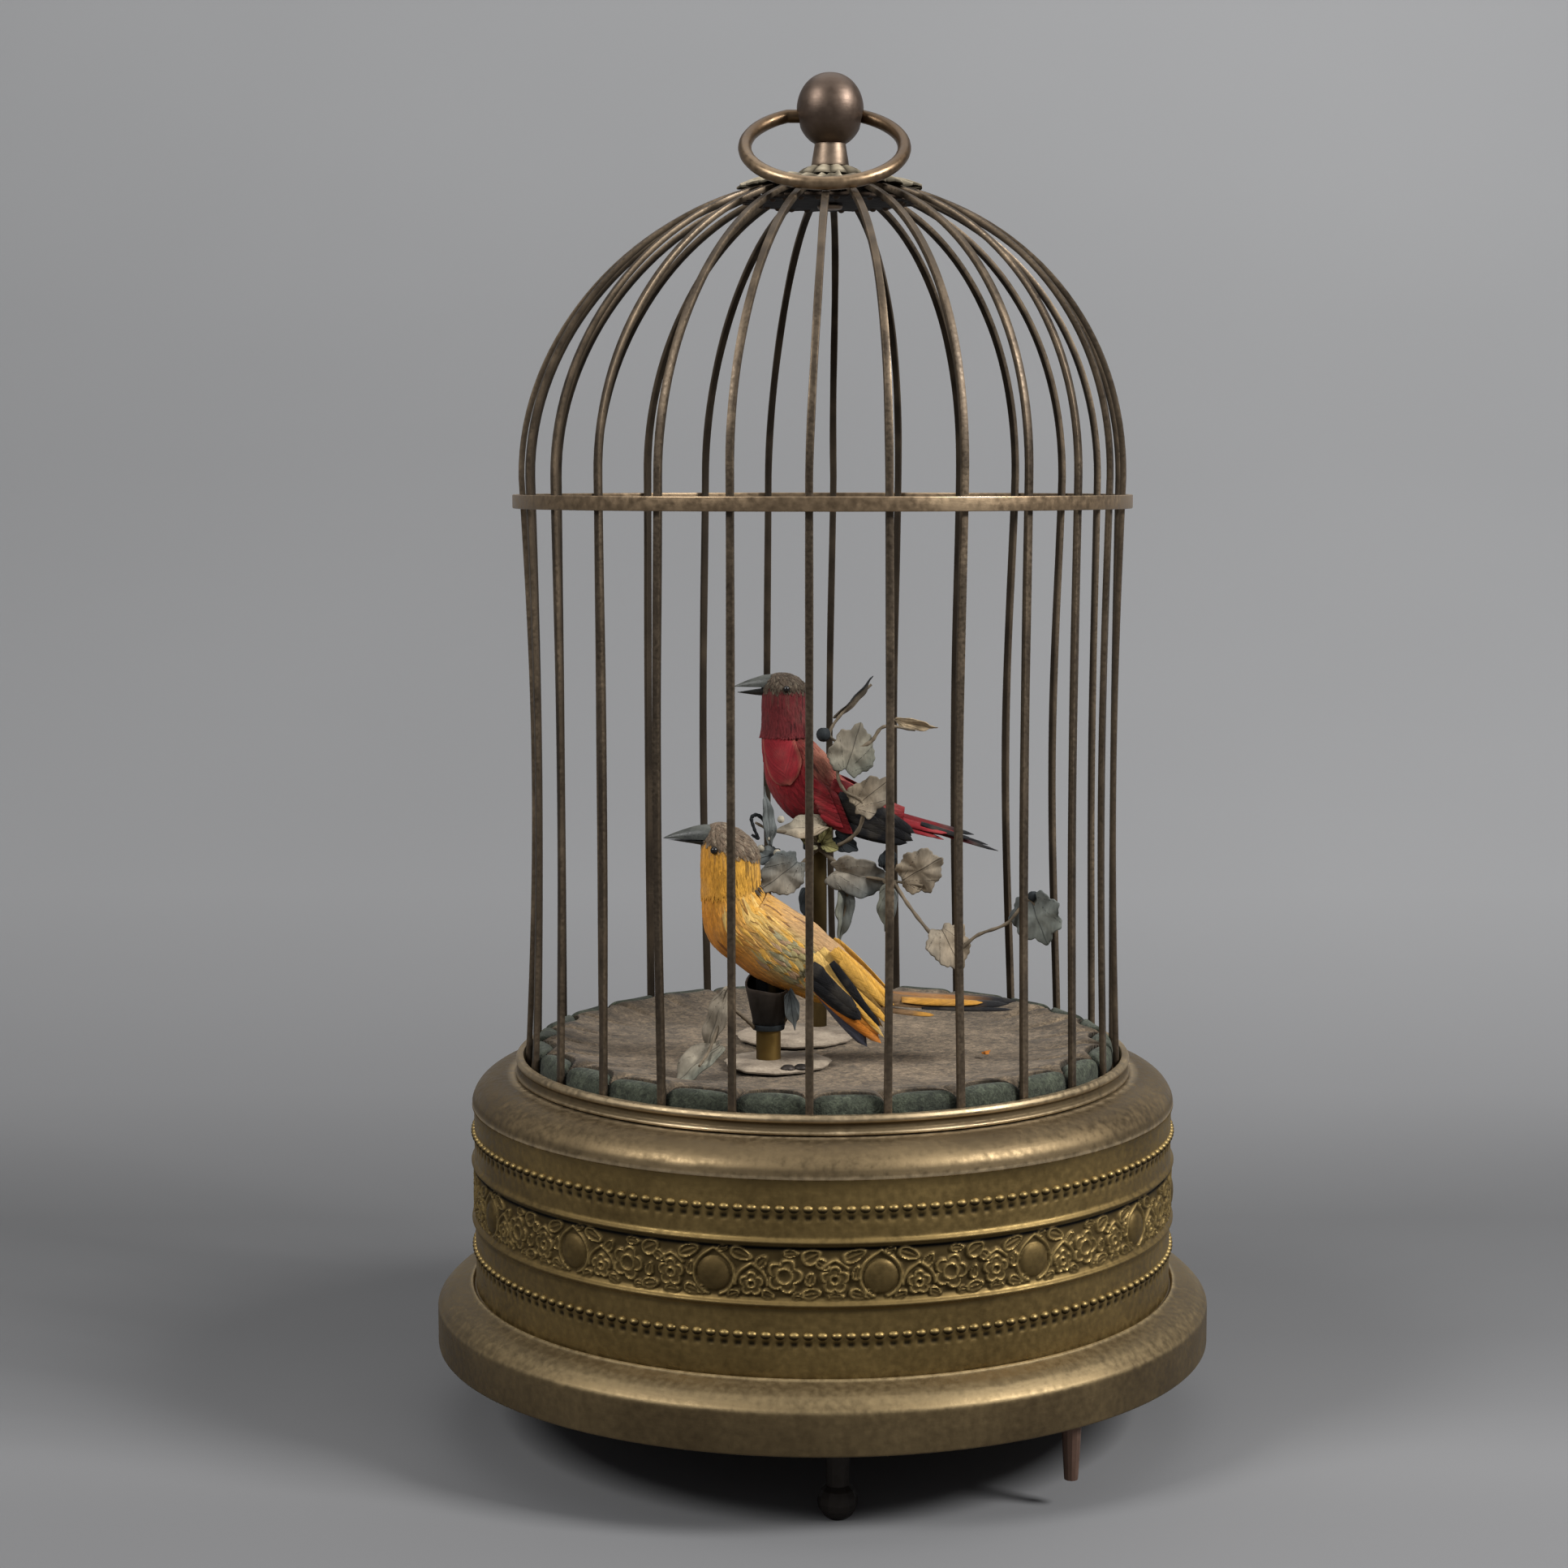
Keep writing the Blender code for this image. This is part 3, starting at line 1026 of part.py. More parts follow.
def make_winding():
    """The arbor with its ratchet, the click, and the key under the base."""
    ratchet_low = PLATE_TOP + GAP
    ratchet_top = ratchet_low + RATCHET_THICKNESS
    journal_low = PLATE_LOW - GAP
    journal = vertical("journal", BARREL_CENTRE, ARBOR_JOURNAL_RADIUS, journal_low, ratchet_low + MM)
    shaft = vertical("shaft", BARREL_CENTRE, ARBOR_RADIUS, ratchet_low, FRAME_LOW - GAP)
    pivot = vertical("pivot", BARREL_CENTRE, PIVOT_RADIUS, FRAME_LOW - MM, FRAME_TOP + GAP, None, 8)
    teeth = []
    root = RATCHET_RADIUS * 0.82
    for i in range(RATCHET_TEETH):
        start = 360 * i / RATCHET_TEETH - 84
        teeth.append(offset(BARREL_CENTRE, polar(root, start)))
        teeth.append(offset(BARREL_CENTRE, polar(RATCHET_RADIUS, start + 1)))
    ratchet = plate("ratchet", [teeth], ratchet_low, RATCHET_THICKNESS)
    arbor = joined("barrel_arbor", [shaft, journal, pivot, ratchet], "steel")
    on_axis(arbor, (*BARREL_CENTRE, journal_low))

    x, y = CLICK_CENTRE
    eye = CLICK_STUD_RADIUS + GAP
    tip_y = BARREL_CENTRE[1] - root - 3 * GAP
    arm = [(x - 2.2 * MM, y - 2.0 * MM), (x + 2.4 * MM, y - 2.0 * MM), (x + 2.6 * MM, y + 1.5 * MM)]
    arm += [(x + 1.2 * MM, tip_y - 2.5 * MM), (x + 0.6 * MM, tip_y), (x - 0.6 * MM, tip_y)]
    arm += [(x - 2.2 * MM, y + 1.8 * MM)]
    click = plate("click_pawl", [arm, circle(CLICK_CENTRE, eye, 8)], ratchet_low, RATCHET_THICKNESS, "steel")
    on_axis(click, (x, y, ratchet_low)).data.materials.append(finish("steel"))

    key_low = KEY_CLEARANCE_FROM_FLOOR
    hub_low = key_low + KEY_WING_HEIGHT * 0.5
    hub = vertical("hub", BARREL_CENTRE, KEY_HUB_RADIUS, hub_low, journal_low - GAP)
    wings = [hub]
    radius = KEY_WING_HEIGHT / 2
    reach = KEY_WIDTH / 2 - radius
    thick = KEY_WING_THICKNESS / 2
    for way in (-1, 1):
        cx = BARREL_CENTRE[0] + way * reach
        cy = BARREL_CENTRE[1]
        cz = key_low + radius
        disc = rod("wing", (cx, cy - thick, cz), (cx, cy + thick, cz), radius, segments=14)
        hole = rod("wing_hole", (cx, cy - 2 * thick, cz), (cx, cy + 2 * thick, cz), radius * 0.5, segments=10)
        wings.append(cut(f"wing{way}", [disc, hole]))
    web_high = key_low + KEY_WING_HEIGHT * 0.72
    web_low = key_low + KEY_WING_HEIGHT * 0.28
    web_reach = reach - radius * 0.75
    low = (BARREL_CENTRE[0] - web_reach, BARREL_CENTRE[1] - thick * 0.8, web_low)
    high = (BARREL_CENTRE[0] + web_reach, BARREL_CENTRE[1] + thick * 0.8, web_high)
    wings.append(box("web", low, high))
    on_axis(joined("winding_key", wings, "steel"), (*BARREL_CENTRE, key_low))


def make_cam():
    """The cam arbor: pinion, second wheel and the ridged cam disc above the frame."""
    low = PLATE_TOP + BARREL_ABOVE_PLATE
    shaft_low = PLATE_TOP + GAP
    lower_shaft = vertical("lower_shaft", CAM_CENTRE, ARBOR_JOURNAL_RADIUS, shaft_low, FRAME_LOW - GAP)
    pivot = vertical("pivot", CAM_CENTRE, PIVOT_RADIUS, FRAME_LOW - MM, CAM_LOW + MM)
    phase = meshed_phase(CAM_PINION_TEETH, BARREL_DIRECTION, True)
    pinion = plate("pinion", [gear_outline(CAM_CENTRE, CAM_PINION_TEETH, phase)], low, GEAR_THICKNESS)
    phase = meshed_phase(CAM_WHEEL_TEETH, FLY_DIRECTION, False)
    wheel_low = PLATE_TOP + SECOND_WHEEL_ABOVE_PLATE
    wheel = plate(
        "wheel", [gear_outline(CAM_CENTRE, CAM_WHEEL_TEETH, phase)], wheel_low, SECOND_WHEEL_THICKNESS
    )
    disc = vertical("disc", CAM_CENTRE, CAM_TRACK + CAM_RIM, CAM_LOW, CAM_TOP, None, 32)
    pieces = [lower_shaft, pivot, pinion, wheel, disc]
    for i in range(CAM_RIDGES):
        angle = 90 + 360 * (i + 0.5) / CAM_RIDGES
        inner = offset(CAM_CENTRE, polar(CAM_TRACK - 3 * MM, angle))
        outer = offset(CAM_CENTRE, polar(CAM_TRACK + CAM_RIM - GAP, angle))
        height = CAM_TOP - CAM_RIDGE_HEIGHT
        pieces.append(rod(f"ridge_{i}", (*inner, height), (*outer, height), 2 * CAM_RIDGE_HEIGHT, segments=8))
    on_axis(joined("cam_wheel", pieces, "bright_brass"), (*CAM_CENTRE, shaft_low))


def make_fly():
    """The governor: a fast fly that holds the movement's speed."""
    shaft_low = PLATE_TOP + GAP
    wheel_low = PLATE_TOP + SECOND_WHEEL_ABOVE_PLATE
    pinion_low = wheel_low - 0.5 * MM
    shaft = vertical("fly_shaft", FLY_CENTRE, PIVOT_RADIUS, shaft_low, FRAME_TOP + GAP, None, 8)
    phase = meshed_phase(FLY_PINION_TEETH, FLY_DIRECTION + 180, True)
    outline = gear_outline(FLY_CENTRE, FLY_PINION_TEETH, phase)
    pinion = plate("fly_pinion", [outline], pinion_low, SECOND_WHEEL_THICKNESS + MM)
    vane_top = pinion_low - 2 * MM
    x, y = FLY_CENTRE
    vane = box("vane", (x - FLY_RADIUS, y - 0.5 * MM, vane_top - FLY_HEIGHT), (x + FLY_RADIUS, y + 0.5 * MM, vane_top))
    on_axis(joined("governor_fly", [shaft, pinion, vane], "bright_brass"), (*FLY_CENTRE, shaft_low))


def make_lever(side, perch):
    """A cam lever: it turns on the frame's pin, rests a tip over the cam and lifts the push rod."""
    y = perch[1]
    half = LEVER_WIDTH / 2
    pin_z = (LEVER_LOW + LEVER_TOP) / 2
    arm = box("arm", (perch[0] - 2 * MM, y - half, LEVER_LOW), (LEVER_PIVOT_X, y + half, LEVER_TOP))
    eye = rod("eye", (LEVER_PIVOT_X, y - half, pin_z), (LEVER_PIVOT_X, y + half, pin_z), LEVER_PIN_RADIUS + 1.5 * MM)
    tip = rod("tip", (CAM_CENTRE[0], y, LEVER_LOW + 0.5 * MM), (CAM_CENTRE[0], y, LEVER_TIP_LOW), 1.4 * MM, 0.8 * MM)
    lever = joined("lever_blank", [arm, eye, tip])
    ends = [(LEVER_PIVOT_X, y - LEVER_WIDTH, pin_z), (LEVER_PIVOT_X, y + LEVER_WIDTH, pin_z)]
    bore = rod("bore", *ends, LEVER_PIN_RADIUS + GAP, segments=8)
    lever = cut(f"{side}_cam_lever", [lever, bore], "steel")
    on_axis(lever, (LEVER_PIVOT_X, y, pin_z))


def make_bellows_and_whistle():
    """The bellows with its hinged board, and the whistle with its sliding piston."""
    x, y = BELLOWS_CENTRE
    half_x, half_y = BELLOWS_SIZE[0] / 2, BELLOWS_SIZE[1] / 2
    low = FRAME_TOP + GAP
    case_top = low + BELLOWS_DEPTH
    board = box("lower_board", (x - half_x, y - half_y, low), (x + half_x, y + half_y, low + BELLOWS_BOARD))
    pieces = [board]
    fold = (BELLOWS_DEPTH - BELLOWS_BOARD) / BELLOWS_FOLDS
    for i in range(BELLOWS_FOLDS):
        inset = BELLOWS_FOLD_INSETS[i % 2]
        bottom = low + BELLOWS_BOARD + fold * i - 0.3 * MM
        corner = (x - half_x + inset, y - half_y + inset, bottom)
        other = (x + half_x - inset, y + half_y - inset, bottom + fold + 0.3 * MM)
        pieces.append(box(f"fold_{i}", corner, other))
    joined("bellows_case", pieces, "leather")
    top = case_top + GAP
    board = box("bellows_board", (x - half_x, y - half_y, top), (x + half_x, y + half_y, top + BELLOWS_BOARD), "leather")
    on_axis(board, (x - half_x, y, top))

    left = -WHISTLE_LENGTH / 2
    right = WHISTLE_LENGTH / 2
    z = low + WHISTLE_RADIUS + MM
    pipe = rod("pipe", (left, WHISTLE_Y, z), (right, WHISTLE_Y, z), WHISTLE_RADIUS)
    start, end, half = WHISTLE_SADDLE
    saddle = box("saddle", (left + start, WHISTLE_Y - half, low), (left + end, WHISTLE_Y + half, z))
    bore = rod("bore", (left + 2 * MM, WHISTLE_Y, z), (right + MM, WHISTLE_Y, z), WHISTLE_BORE_RADIUS)
    start, end, half = WHISTLE_MOUTH
    mouth = box(
        "mouth", (left + start, WHISTLE_Y - half, z + WHISTLE_BORE_RADIUS / 2),
        (left + end, WHISTLE_Y + half, z + WHISTLE_RADIUS + MM),
    )
    cut("whistle_tube", [joined("pipe_and_saddle", [pipe, saddle]), bore, mouth], "bright_brass")
    head = rod("head", (right - PISTON_LENGTH, WHISTLE_Y, z), (right - 2 * MM, WHISTLE_Y, z), WHISTLE_BORE_RADIUS - GAP)
    stem = rod("stem", (right - 3 * MM, WHISTLE_Y, z), (right + PISTON_STANDS_OUT, WHISTLE_Y, z), PISTON_STEM_RADIUS, segments=8)
    joined("whistle_piston", [head, stem], "steel")


def make_start_lever():
    """The start and stop lever: an arm under the plate, a pin up through it and the peg that hangs below."""
    arm_top = PLATE_LOW - GAP
    arm_low = arm_top - START_ARM_THICKNESS
    px, py = START_PIVOT
    gx, gy = START_PEG
    length = math.hypot(gx - px, gy - py)
    angle = math.atan2(gy - py, gx - px)
    arm = box(
        "arm", (-START_ARM_WIDTH / 2, -START_ARM_WIDTH / 2, arm_low),
        (length + START_PEG_TOP_RADIUS, START_ARM_WIDTH / 2, arm_top),
    )
    arm.matrix_world = Matrix.Translation((px, py, 0)) @ Matrix.Rotation(angle, 4, "Z")
    pin = vertical("pin", START_PIVOT, START_PIN_RADIUS, arm_low + 0.5 * MM, PLATE_TOP + 2 * MM, None, 8)
    peg = rod(
        "peg", (gx, gy, arm_low + 0.5 * MM), (gx, gy, START_PEG_ABOVE_FLOOR), START_PEG_TOP_RADIUS, START_PEG_END_RADIUS
    )
    on_axis(joined("start_lever", [arm, pin, peg], "red_brown_steel"), (px, py, arm_low))


make_feet()
make_bottom_plate()
make_drum()
make_flange()
make_shoulder()
ring("foot_ring", BAR_OUTER_RADIUS + GAP, FOOT_RING_THICKNESS, BAR_FOOT, FOOT_RING_HEIGHT, "dark_bronze")
band_low = SPRING_LINE - BAND_BELOW_SPRING - BAND_HEIGHT / 2
ring("mid_band", BAR_OUTER_RADIUS + GAP, BAND_THICKNESS, band_low, BAND_HEIGHT, "dull_brass")
make_cage_wires()
make_carrying_ring(make_crown())
make_stage()
make_perches()
FRONT_SLEEVE = (FRONT_SLEEVE_RADIUS, FRONT_SLEEVE_BELOW_TOP)
make_bird("front", FRONT_BIRD, FRONT_PERCH, FRONT_PERCH_TOP, FRONT_TUBE_RADIUS, FRONT_SLEEVE)
make_bird("rear", REAR_BIRD, REAR_PERCH, REAR_PERCH_TOP, REAR_TUBE_RADIUS)
make_spray("rear_leaf_spray", REAR_PERCH, REAR_TUBE_RADIUS, REAR_CLIP_ABOVE_FELT, REAR_STEMS, REAR_LEAVES)
make_spray("front_leaf_spray", FRONT_PERCH, FRONT_TUBE_RADIUS, FRONT_CLIP_ABOVE_FELT, FRONT_STEMS, FRONT_LEAVES)
make_frame()
make_barrel()
make_winding()
make_cam()
make_fly()
make_lever("front", FRONT_PERCH)
make_lever("rear", REAR_PERCH)
make_bellows_and_whistle()
make_start_lever()
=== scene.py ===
"""Looks of the singing bird automaton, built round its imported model. Lengths are in metres."""
import math

import bmesh
import bpy
import numpy as np
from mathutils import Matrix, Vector


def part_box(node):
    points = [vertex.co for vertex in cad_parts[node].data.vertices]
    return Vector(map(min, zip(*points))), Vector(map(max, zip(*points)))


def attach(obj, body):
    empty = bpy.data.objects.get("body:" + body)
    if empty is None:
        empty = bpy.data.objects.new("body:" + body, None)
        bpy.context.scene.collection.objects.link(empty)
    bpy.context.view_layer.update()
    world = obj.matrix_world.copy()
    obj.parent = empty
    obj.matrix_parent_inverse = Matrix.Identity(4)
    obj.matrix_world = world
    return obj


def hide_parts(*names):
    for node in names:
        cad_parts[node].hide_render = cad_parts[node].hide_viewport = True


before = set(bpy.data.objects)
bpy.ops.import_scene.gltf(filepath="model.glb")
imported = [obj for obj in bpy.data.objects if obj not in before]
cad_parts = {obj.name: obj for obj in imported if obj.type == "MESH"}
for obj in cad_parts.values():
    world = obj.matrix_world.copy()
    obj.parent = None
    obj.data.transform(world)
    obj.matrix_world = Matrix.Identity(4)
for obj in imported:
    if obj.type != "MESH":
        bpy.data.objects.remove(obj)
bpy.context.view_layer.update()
MM = 0.001
TURN = 2 * math.pi
ROUND_STEPS = 256  # columns of points round the large turned pieces
BASE = "cage_and_base"  # the body that stands still
chance = np.random.default_rng(11)


def linear(*display):
    """A colour given in display values from 0 to 255, as the linear values that nodes hold."""
    share = np.array(display, float) / 255
    return tuple(np.where(share <= 0.04045, share / 12.92, ((share + 0.055) / 1.055) ** 2.4))


def solid(*display):
    """The same with its alpha."""
    return (*linear(*display), 1.0)


class Surface:
    """A node material round one Principled shader, with short calls for the nodes used here."""

    def __init__(self, name, **sockets):
        self.material = bpy.data.materials.new(name)
        self.material.use_nodes = True
        self.tree = self.material.node_tree
        self.shader = self.tree.nodes["Principled BSDF"]
        for socket, value in sockets.items():
            self.shader.inputs[socket.replace("_", " ")].default_value = value
        self.place = self.node("TexCoord").outputs["Object"]

    def node(self, kind):
        """A new shader node of a kind."""
        return self.tree.nodes.new("ShaderNode" + kind)

    def put(self, socket, value):
        """Links a socket to another one, or sets its value."""
        if isinstance(value, bpy.types.NodeSocket):
            self.tree.links.new(value, socket)
        else:
            socket.default_value = value

    def noise(self, scale, detail=3.0, stretch=(1, 1, 1), distortion=0.0):
        """Noise over the object's own coordinates."""
        mapping = self.node("Mapping")
        self.put(mapping.inputs["Vector"], self.place)
        mapping.inputs["Scale"].default_value = stretch
        noise = self.node("TexNoise")
        self.put(noise.inputs["Vector"], mapping.outputs["Vector"])
        noise.inputs["Scale"].default_value = scale
        noise.inputs["Detail"].default_value = detail
        noise.inputs["Distortion"].default_value = distortion
        return noise.outputs["Fac"]

    def streaks(self, layer, scale, detail=2.0):
        """Noise along one painted value, for barbs and veins."""
        noise = self.node("TexNoise")
        noise.noise_dimensions = "1D"
        self.put(noise.inputs["W"], self.painted(layer))
        noise.inputs["Scale"].default_value = scale
        noise.inputs["Detail"].default_value = detail
        return noise.outputs["Fac"]

    def painted(self, layer, output="Fac"):
        """One of the layers painted on the mesh."""
        attribute = self.node("Attribute")
        attribute.attribute_name = layer
        return attribute.outputs[output]

    def ramp(self, factor, *stops):
        """A ramp of colours or plain values, given as (position, value)."""
        ramp = self.node("ValToRGB")
        self.put(ramp.inputs["Fac"], factor)
        elements = ramp.color_ramp.elements
        while len(elements) < len(stops):
            elements.new(0.5)
        for element, (position, value) in zip(elements, stops):
            element.position = position
            element.color = value if hasattr(value, "__len__") else (value, value, value, 1)
        return ramp.outputs["Color"]

    def mix(self, factor, first, second, blend="MIX"):
        """Two colours, mixed by a factor."""
        mix = self.node("Mix")
        mix.data_type = "RGBA"
        mix.blend_type = blend
        self.put(mix.inputs[0], factor)
        self.put(mix.inputs[6], first)
        self.put(mix.inputs[7], second)
        return mix.outputs[2]

    def maths(self, operation, *values):
        """One of Blender's operations on values."""
        maths = self.node("Math")
        maths.operation = operation
        for socket, value in zip(maths.inputs, values):
            self.put(socket, value)
        return maths.outputs["Value"]

    def added(self, first, second, share):
        """The first value plus a share of the second."""
        return self.maths("ADD", first, self.maths("MULTIPLY", second, share))

    def toned(self, colour, factor, low, high):
        """The colour made darker or lighter by a factor, between two stops of a ramp."""
        return self.mix(1.0, colour, self.ramp(factor, low, high), "MULTIPLY")

    def grimed(self, colour, depth):
        """The colour made darker where grime or painted shade is painted."""
        grime = self.maths("MULTIPLY_ADD", self.painted("grime"), -depth, 1.0)
        return self.mix(1.0, colour, grime, "MULTIPLY")

    def finish(self, colour, roughness, height, depth, strength=1.0):
        """Wires the colour, the roughness and a bump of the given depth, and returns the material."""
        self.put(self.shader.inputs["Base Color"], colour)
        self.put(self.shader.inputs["Roughness"], roughness)
        bump = self.node("Bump")
        bump.inputs["Strength"].default_value = strength
        bump.inputs["Distance"].default_value = depth
        self.put(bump.inputs["Height"], height)
        self.put(self.shader.inputs["Normal"], bump.outputs["Normal"])
        return self.material


def worn_metal(name, dark, light, worn, metallic=0.85, smooth=0.36, rough=0.6, grain=700):
    """Tarnished metal: cloudy and spotted, brighter where wear or a painted highlight is painted, dark where
    grime or painted shade is.
    """
    look = Surface(name, Metallic=metallic)
    clouds = look.noise(48, 4)
    spots = look.noise(grain, 4)
    scratches = look.noise(260, 2, (1, 1, 7))
    mottle = look.added(look.maths("MULTIPLY", clouds, 0.72), spots, 0.28)
    colour = look.ramp(mottle, (0.28, solid(*dark)), (0.76, solid(*light)))
    patchy = look.maths("MULTIPLY_ADD", spots, 1.1, 0.3)
    wear = look.maths("MULTIPLY", look.painted("wear"), patchy)
    wear.node.use_clamp = True
    colour = look.grimed(look.mix(wear, colour, solid(*worn)), 0.82)
    grime = look.painted("grime")
    roughness = look.maths("MULTIPLY_ADD", grime, 0.3, look.ramp(spots, (0.3, smooth), (0.7, rough)))
    return look.finish(colour, roughness, look.added(spots, scratches, 0.6), 0.03 * MM)


def plumage(name):
    """Dyed feathers: the painted colour, broken up by fine barbs, dust and darker roots."""
    look = Surface(name, Sheen_Weight=0.05, Sheen_Roughness=0.6, Specular_IOR_Level=0.12)
    barbs = look.streaks("barb", 2600, 3)
    strands = look.streaks("barb", 900, 1)
    specks = look.noise(1400, 3)
    dust = look.noise(180, 4)
    colour = look.toned(look.painted("tint", "Color"), barbs, (0.3, 0.82), (0.68, 1.09))
    colour = look.toned(colour, strands, (0.3, 0.86), (0.7, 1.07))
    colour = look.toned(colour, specks, (0.3, 0.85), (0.7, 1.1))
    greyed = look.maths("MULTIPLY_ADD", dust, 0.5, -0.25)
    greyed.node.use_clamp = True
    colour = look.mix(greyed, colour, solid(150, 138, 118))
    height = look.added(barbs, specks, 0.5)
    return look.finish(colour, look.ramp(specks, (0.3, 0.62), (0.7, 0.85)), height, 0.08 * MM)


def cloth_leaf(name):
    """Stiffened cloth leaf: the painted colour under dust, with woven threads and veins."""
    look = Surface(name, Specular_IOR_Level=0.2)
    threads = look.noise(1500, 2, (1, 1, 0.35))
    blotches = look.noise(260, 4)
    vein = look.ramp(look.painted("barb"), (0.0, 0.0), (0.35, 1.0))
    colour = look.toned(look.painted("tint", "Color"), blotches, (0.3, 0.62), (0.7, 1.25))
    colour = look.toned(colour, threads, (0.3, 0.86), (0.7, 1.1))
    colour = look.mix(0.5, colour, look.mix(1.0, colour, vein, "MULTIPLY"))
    height = look.maths("ADD", look.maths("MULTIPLY", threads, 0.6), vein)
    return look.finish(colour, look.ramp(blotches, (0.3, 0.72), (0.7, 0.92)), height, 0.12 * MM)


def felt_cloth(name):
    """Dusty wool felt: matted fibres, thin places, and dark creases where painted shade and grime are
    painted.
    """
    look = Surface(name, Sheen_Weight=0.06, Sheen_Roughness=0.7, Specular_IOR_Level=0.1)
    fibres = look.noise(900, 5, (1, 1, 1), 1.2)
    matting = look.noise(2600, 2)
    patches = look.noise(42, 4)
    lint = look.noise(430, 3, (1, 1, 1), 0.8)
    colour = look.toned(look.painted("tint", "Color"), fibres, (0.32, 0.5), (0.7, 1.45))
    colour = look.toned(colour, lint, (0.3, 0.62), (0.68, 1.3))
    colour = look.toned(colour, matting, (0.3, 0.8), (0.7, 1.16))
    colour = look.toned(colour, patches, (0.3, 0.66), (0.7, 1.22))
    colour = look.grimed(colour, 0.8)
    height = look.added(fibres, matting, 0.7)
    return look.finish(colour, look.ramp(fibres, (0.3, 0.85), (0.7, 0.97)), height, 0.22 * MM)


def wood(name, dark, light):
    """Plain turned wood with stretched grain."""
    look = Surface(name)
    grain = look.noise(60, 5, (1, 9, 1), 0.6)
    pores = look.noise(900, 2, (1, 6, 1))
    colour = look.ramp(grain, (0.32, solid(*dark)), (0.68, solid(*light)))
    colour = look.toned(colour, pores, (0.3, 0.8), (0.7, 1.08))
    return look.finish(colour, look.ramp(pores, (0.3, 0.5), (0.7, 0.72)), pores, 0.05 * MM)


def mottled(name, dark, light, scale, smooth, rough, depth):
    """A plain stuff such as card, leather or horn: two tones in a fine mottle."""
    look = Surface(name)
    coarse = look.noise(scale, 4)
    fine = look.noise(scale * 7, 3)
    mottle = look.added(look.maths("MULTIPLY", coarse, 0.6), fine, 0.4)
    colour = look.ramp(mottle, (0.35, solid(*dark)), (0.65, solid(*light)))
    colour = look.grimed(colour, 0.8)
    return look.finish(colour, look.ramp(fine, (0.3, smooth), (0.7, rough)), fine, depth)


# Dark, light and worn colour, then where they differ from the usual: metallic, smooth, rough and grain
METALS = {
    "aged_brass": ((90, 73, 41), (135, 113, 69), (176, 152, 98)),
    "satin_brass": ((81, 67, 46), (122, 104, 73), (170, 150, 112), 0.85, 0.4, 0.58),
    "dull_brass": ((86, 72, 51), (124, 106, 77), (180, 160, 128)),
    "wire_brass": ((54, 46, 38), (92, 80, 66), (138, 120, 98), 0.85, 0.36, 0.6, 1500),
    "dark_bronze": ((64, 51, 41), (98, 81, 69), (140, 122, 104), 0.85, 0.4, 0.52),
    "verdigris_brass": ((74, 68, 54), (122, 110, 88), (182, 170, 146), 0.55, 0.5, 0.8),
    "bright_brass": ((150, 120, 62), (190, 158, 92), (215, 190, 130), 0.85, 0.25, 0.45),
    "steel": ((110, 110, 112), (160, 160, 162), (190, 190, 192), 0.85, 0.25, 0.45),
    "dark_iron": ((30, 27, 25), (52, 46, 41), (96, 86, 78), 0.7, 0.45, 0.7),
    "ring_brass": ((74, 58, 42), (112, 90, 66), (172, 148, 118), 0.85, 0.28, 0.46),
    "ball_bronze": ((82, 68, 58), (108, 93, 82), (140, 122, 104), 0.85, 0.4, 0.5),
    "red_brown_steel": ((78, 56, 46), (112, 88, 74), (165, 135, 118), 0.6, 0.4, 0.65),
}
# Dark and light colour, scale, smooth, rough and depth of the bump
MOTTLES = {
    "pale_card": ((116, 102, 86), (170, 155, 135), 260, 0.7, 0.9, 0.1 * MM),
    "leather": ((84, 56, 36), (128, 92, 60), 300, 0.55, 0.8, 0.08 * MM),
    "horn_grey": ((46, 48, 44), (90, 92, 84), 420, 0.35, 0.6, 0.03 * MM),
    "bead_black": ((12, 10, 9), (30, 26, 24), 900, 0.15, 0.35, 0.01 * MM),
}
LOOKS = {name: worn_metal(f"{name}_look", *values) for name, values in METALS.items()}
LOOKS["stage_wood"] = wood("stage_wood_look", (62, 46, 32), (104, 80, 56))
LOOKS.update({name: mottled(f"{name}_look", *values) for name, values in MOTTLES.items()})
for dyed in ("yellow_feathers", "red_feathers", "grey_brown_feathers"):
    LOOKS[dyed] = plumage(f"{dyed}_look")
LOOKS["dusty_leaf"] = cloth_leaf("dusty_leaf_look")
LOOKS["dusty_felt"] = felt_cloth("dusty_felt_look")


class Forms:
    """Gathers grids of points, with painted layers, into one mesh."""

    def __init__(self):
        self.points = []
        self.faces = []
        self.paint = []
        self.count = 0

    def grid(self, points, closed=(False, False), caps=False, tint=(1, 1, 1), wear=0.0, grime=0.0, barb=0.0):
        """One grid of points; closed joins its last row or column to the first, and caps closes tube ends."""
        rows, columns = points.shape[:2]
        row_numbers = np.arange(rows if closed[0] else rows - 1)
        column_numbers = np.arange(columns if closed[1] else columns - 1)
        row, column = np.meshgrid(row_numbers, column_numbers, indexing="ij")
        next_row, next_column = (row + 1) % rows, (column + 1) % columns
        corners = [row * columns + column, row * columns + next_column]
        corners += [next_row * columns + next_column, next_row * columns + column]
        self.faces += (np.stack(corners, -1).reshape(-1, 4) + self.count).tolist()
        if caps:
            ends = np.arange(columns) + self.count
            self.faces += [ends[::-1].tolist(), (ends + (rows - 1) * columns).tolist()]
        paint = np.zeros((rows, columns, 6))
        paint[..., :3] = tint
        for layer, value in enumerate((wear, grime, barb), 3):
            paint[..., layer] = value
        self.paint.append(paint.reshape(-1, 6))
        self.points.append(points.reshape(-1, 3))
        self.count += rows * columns


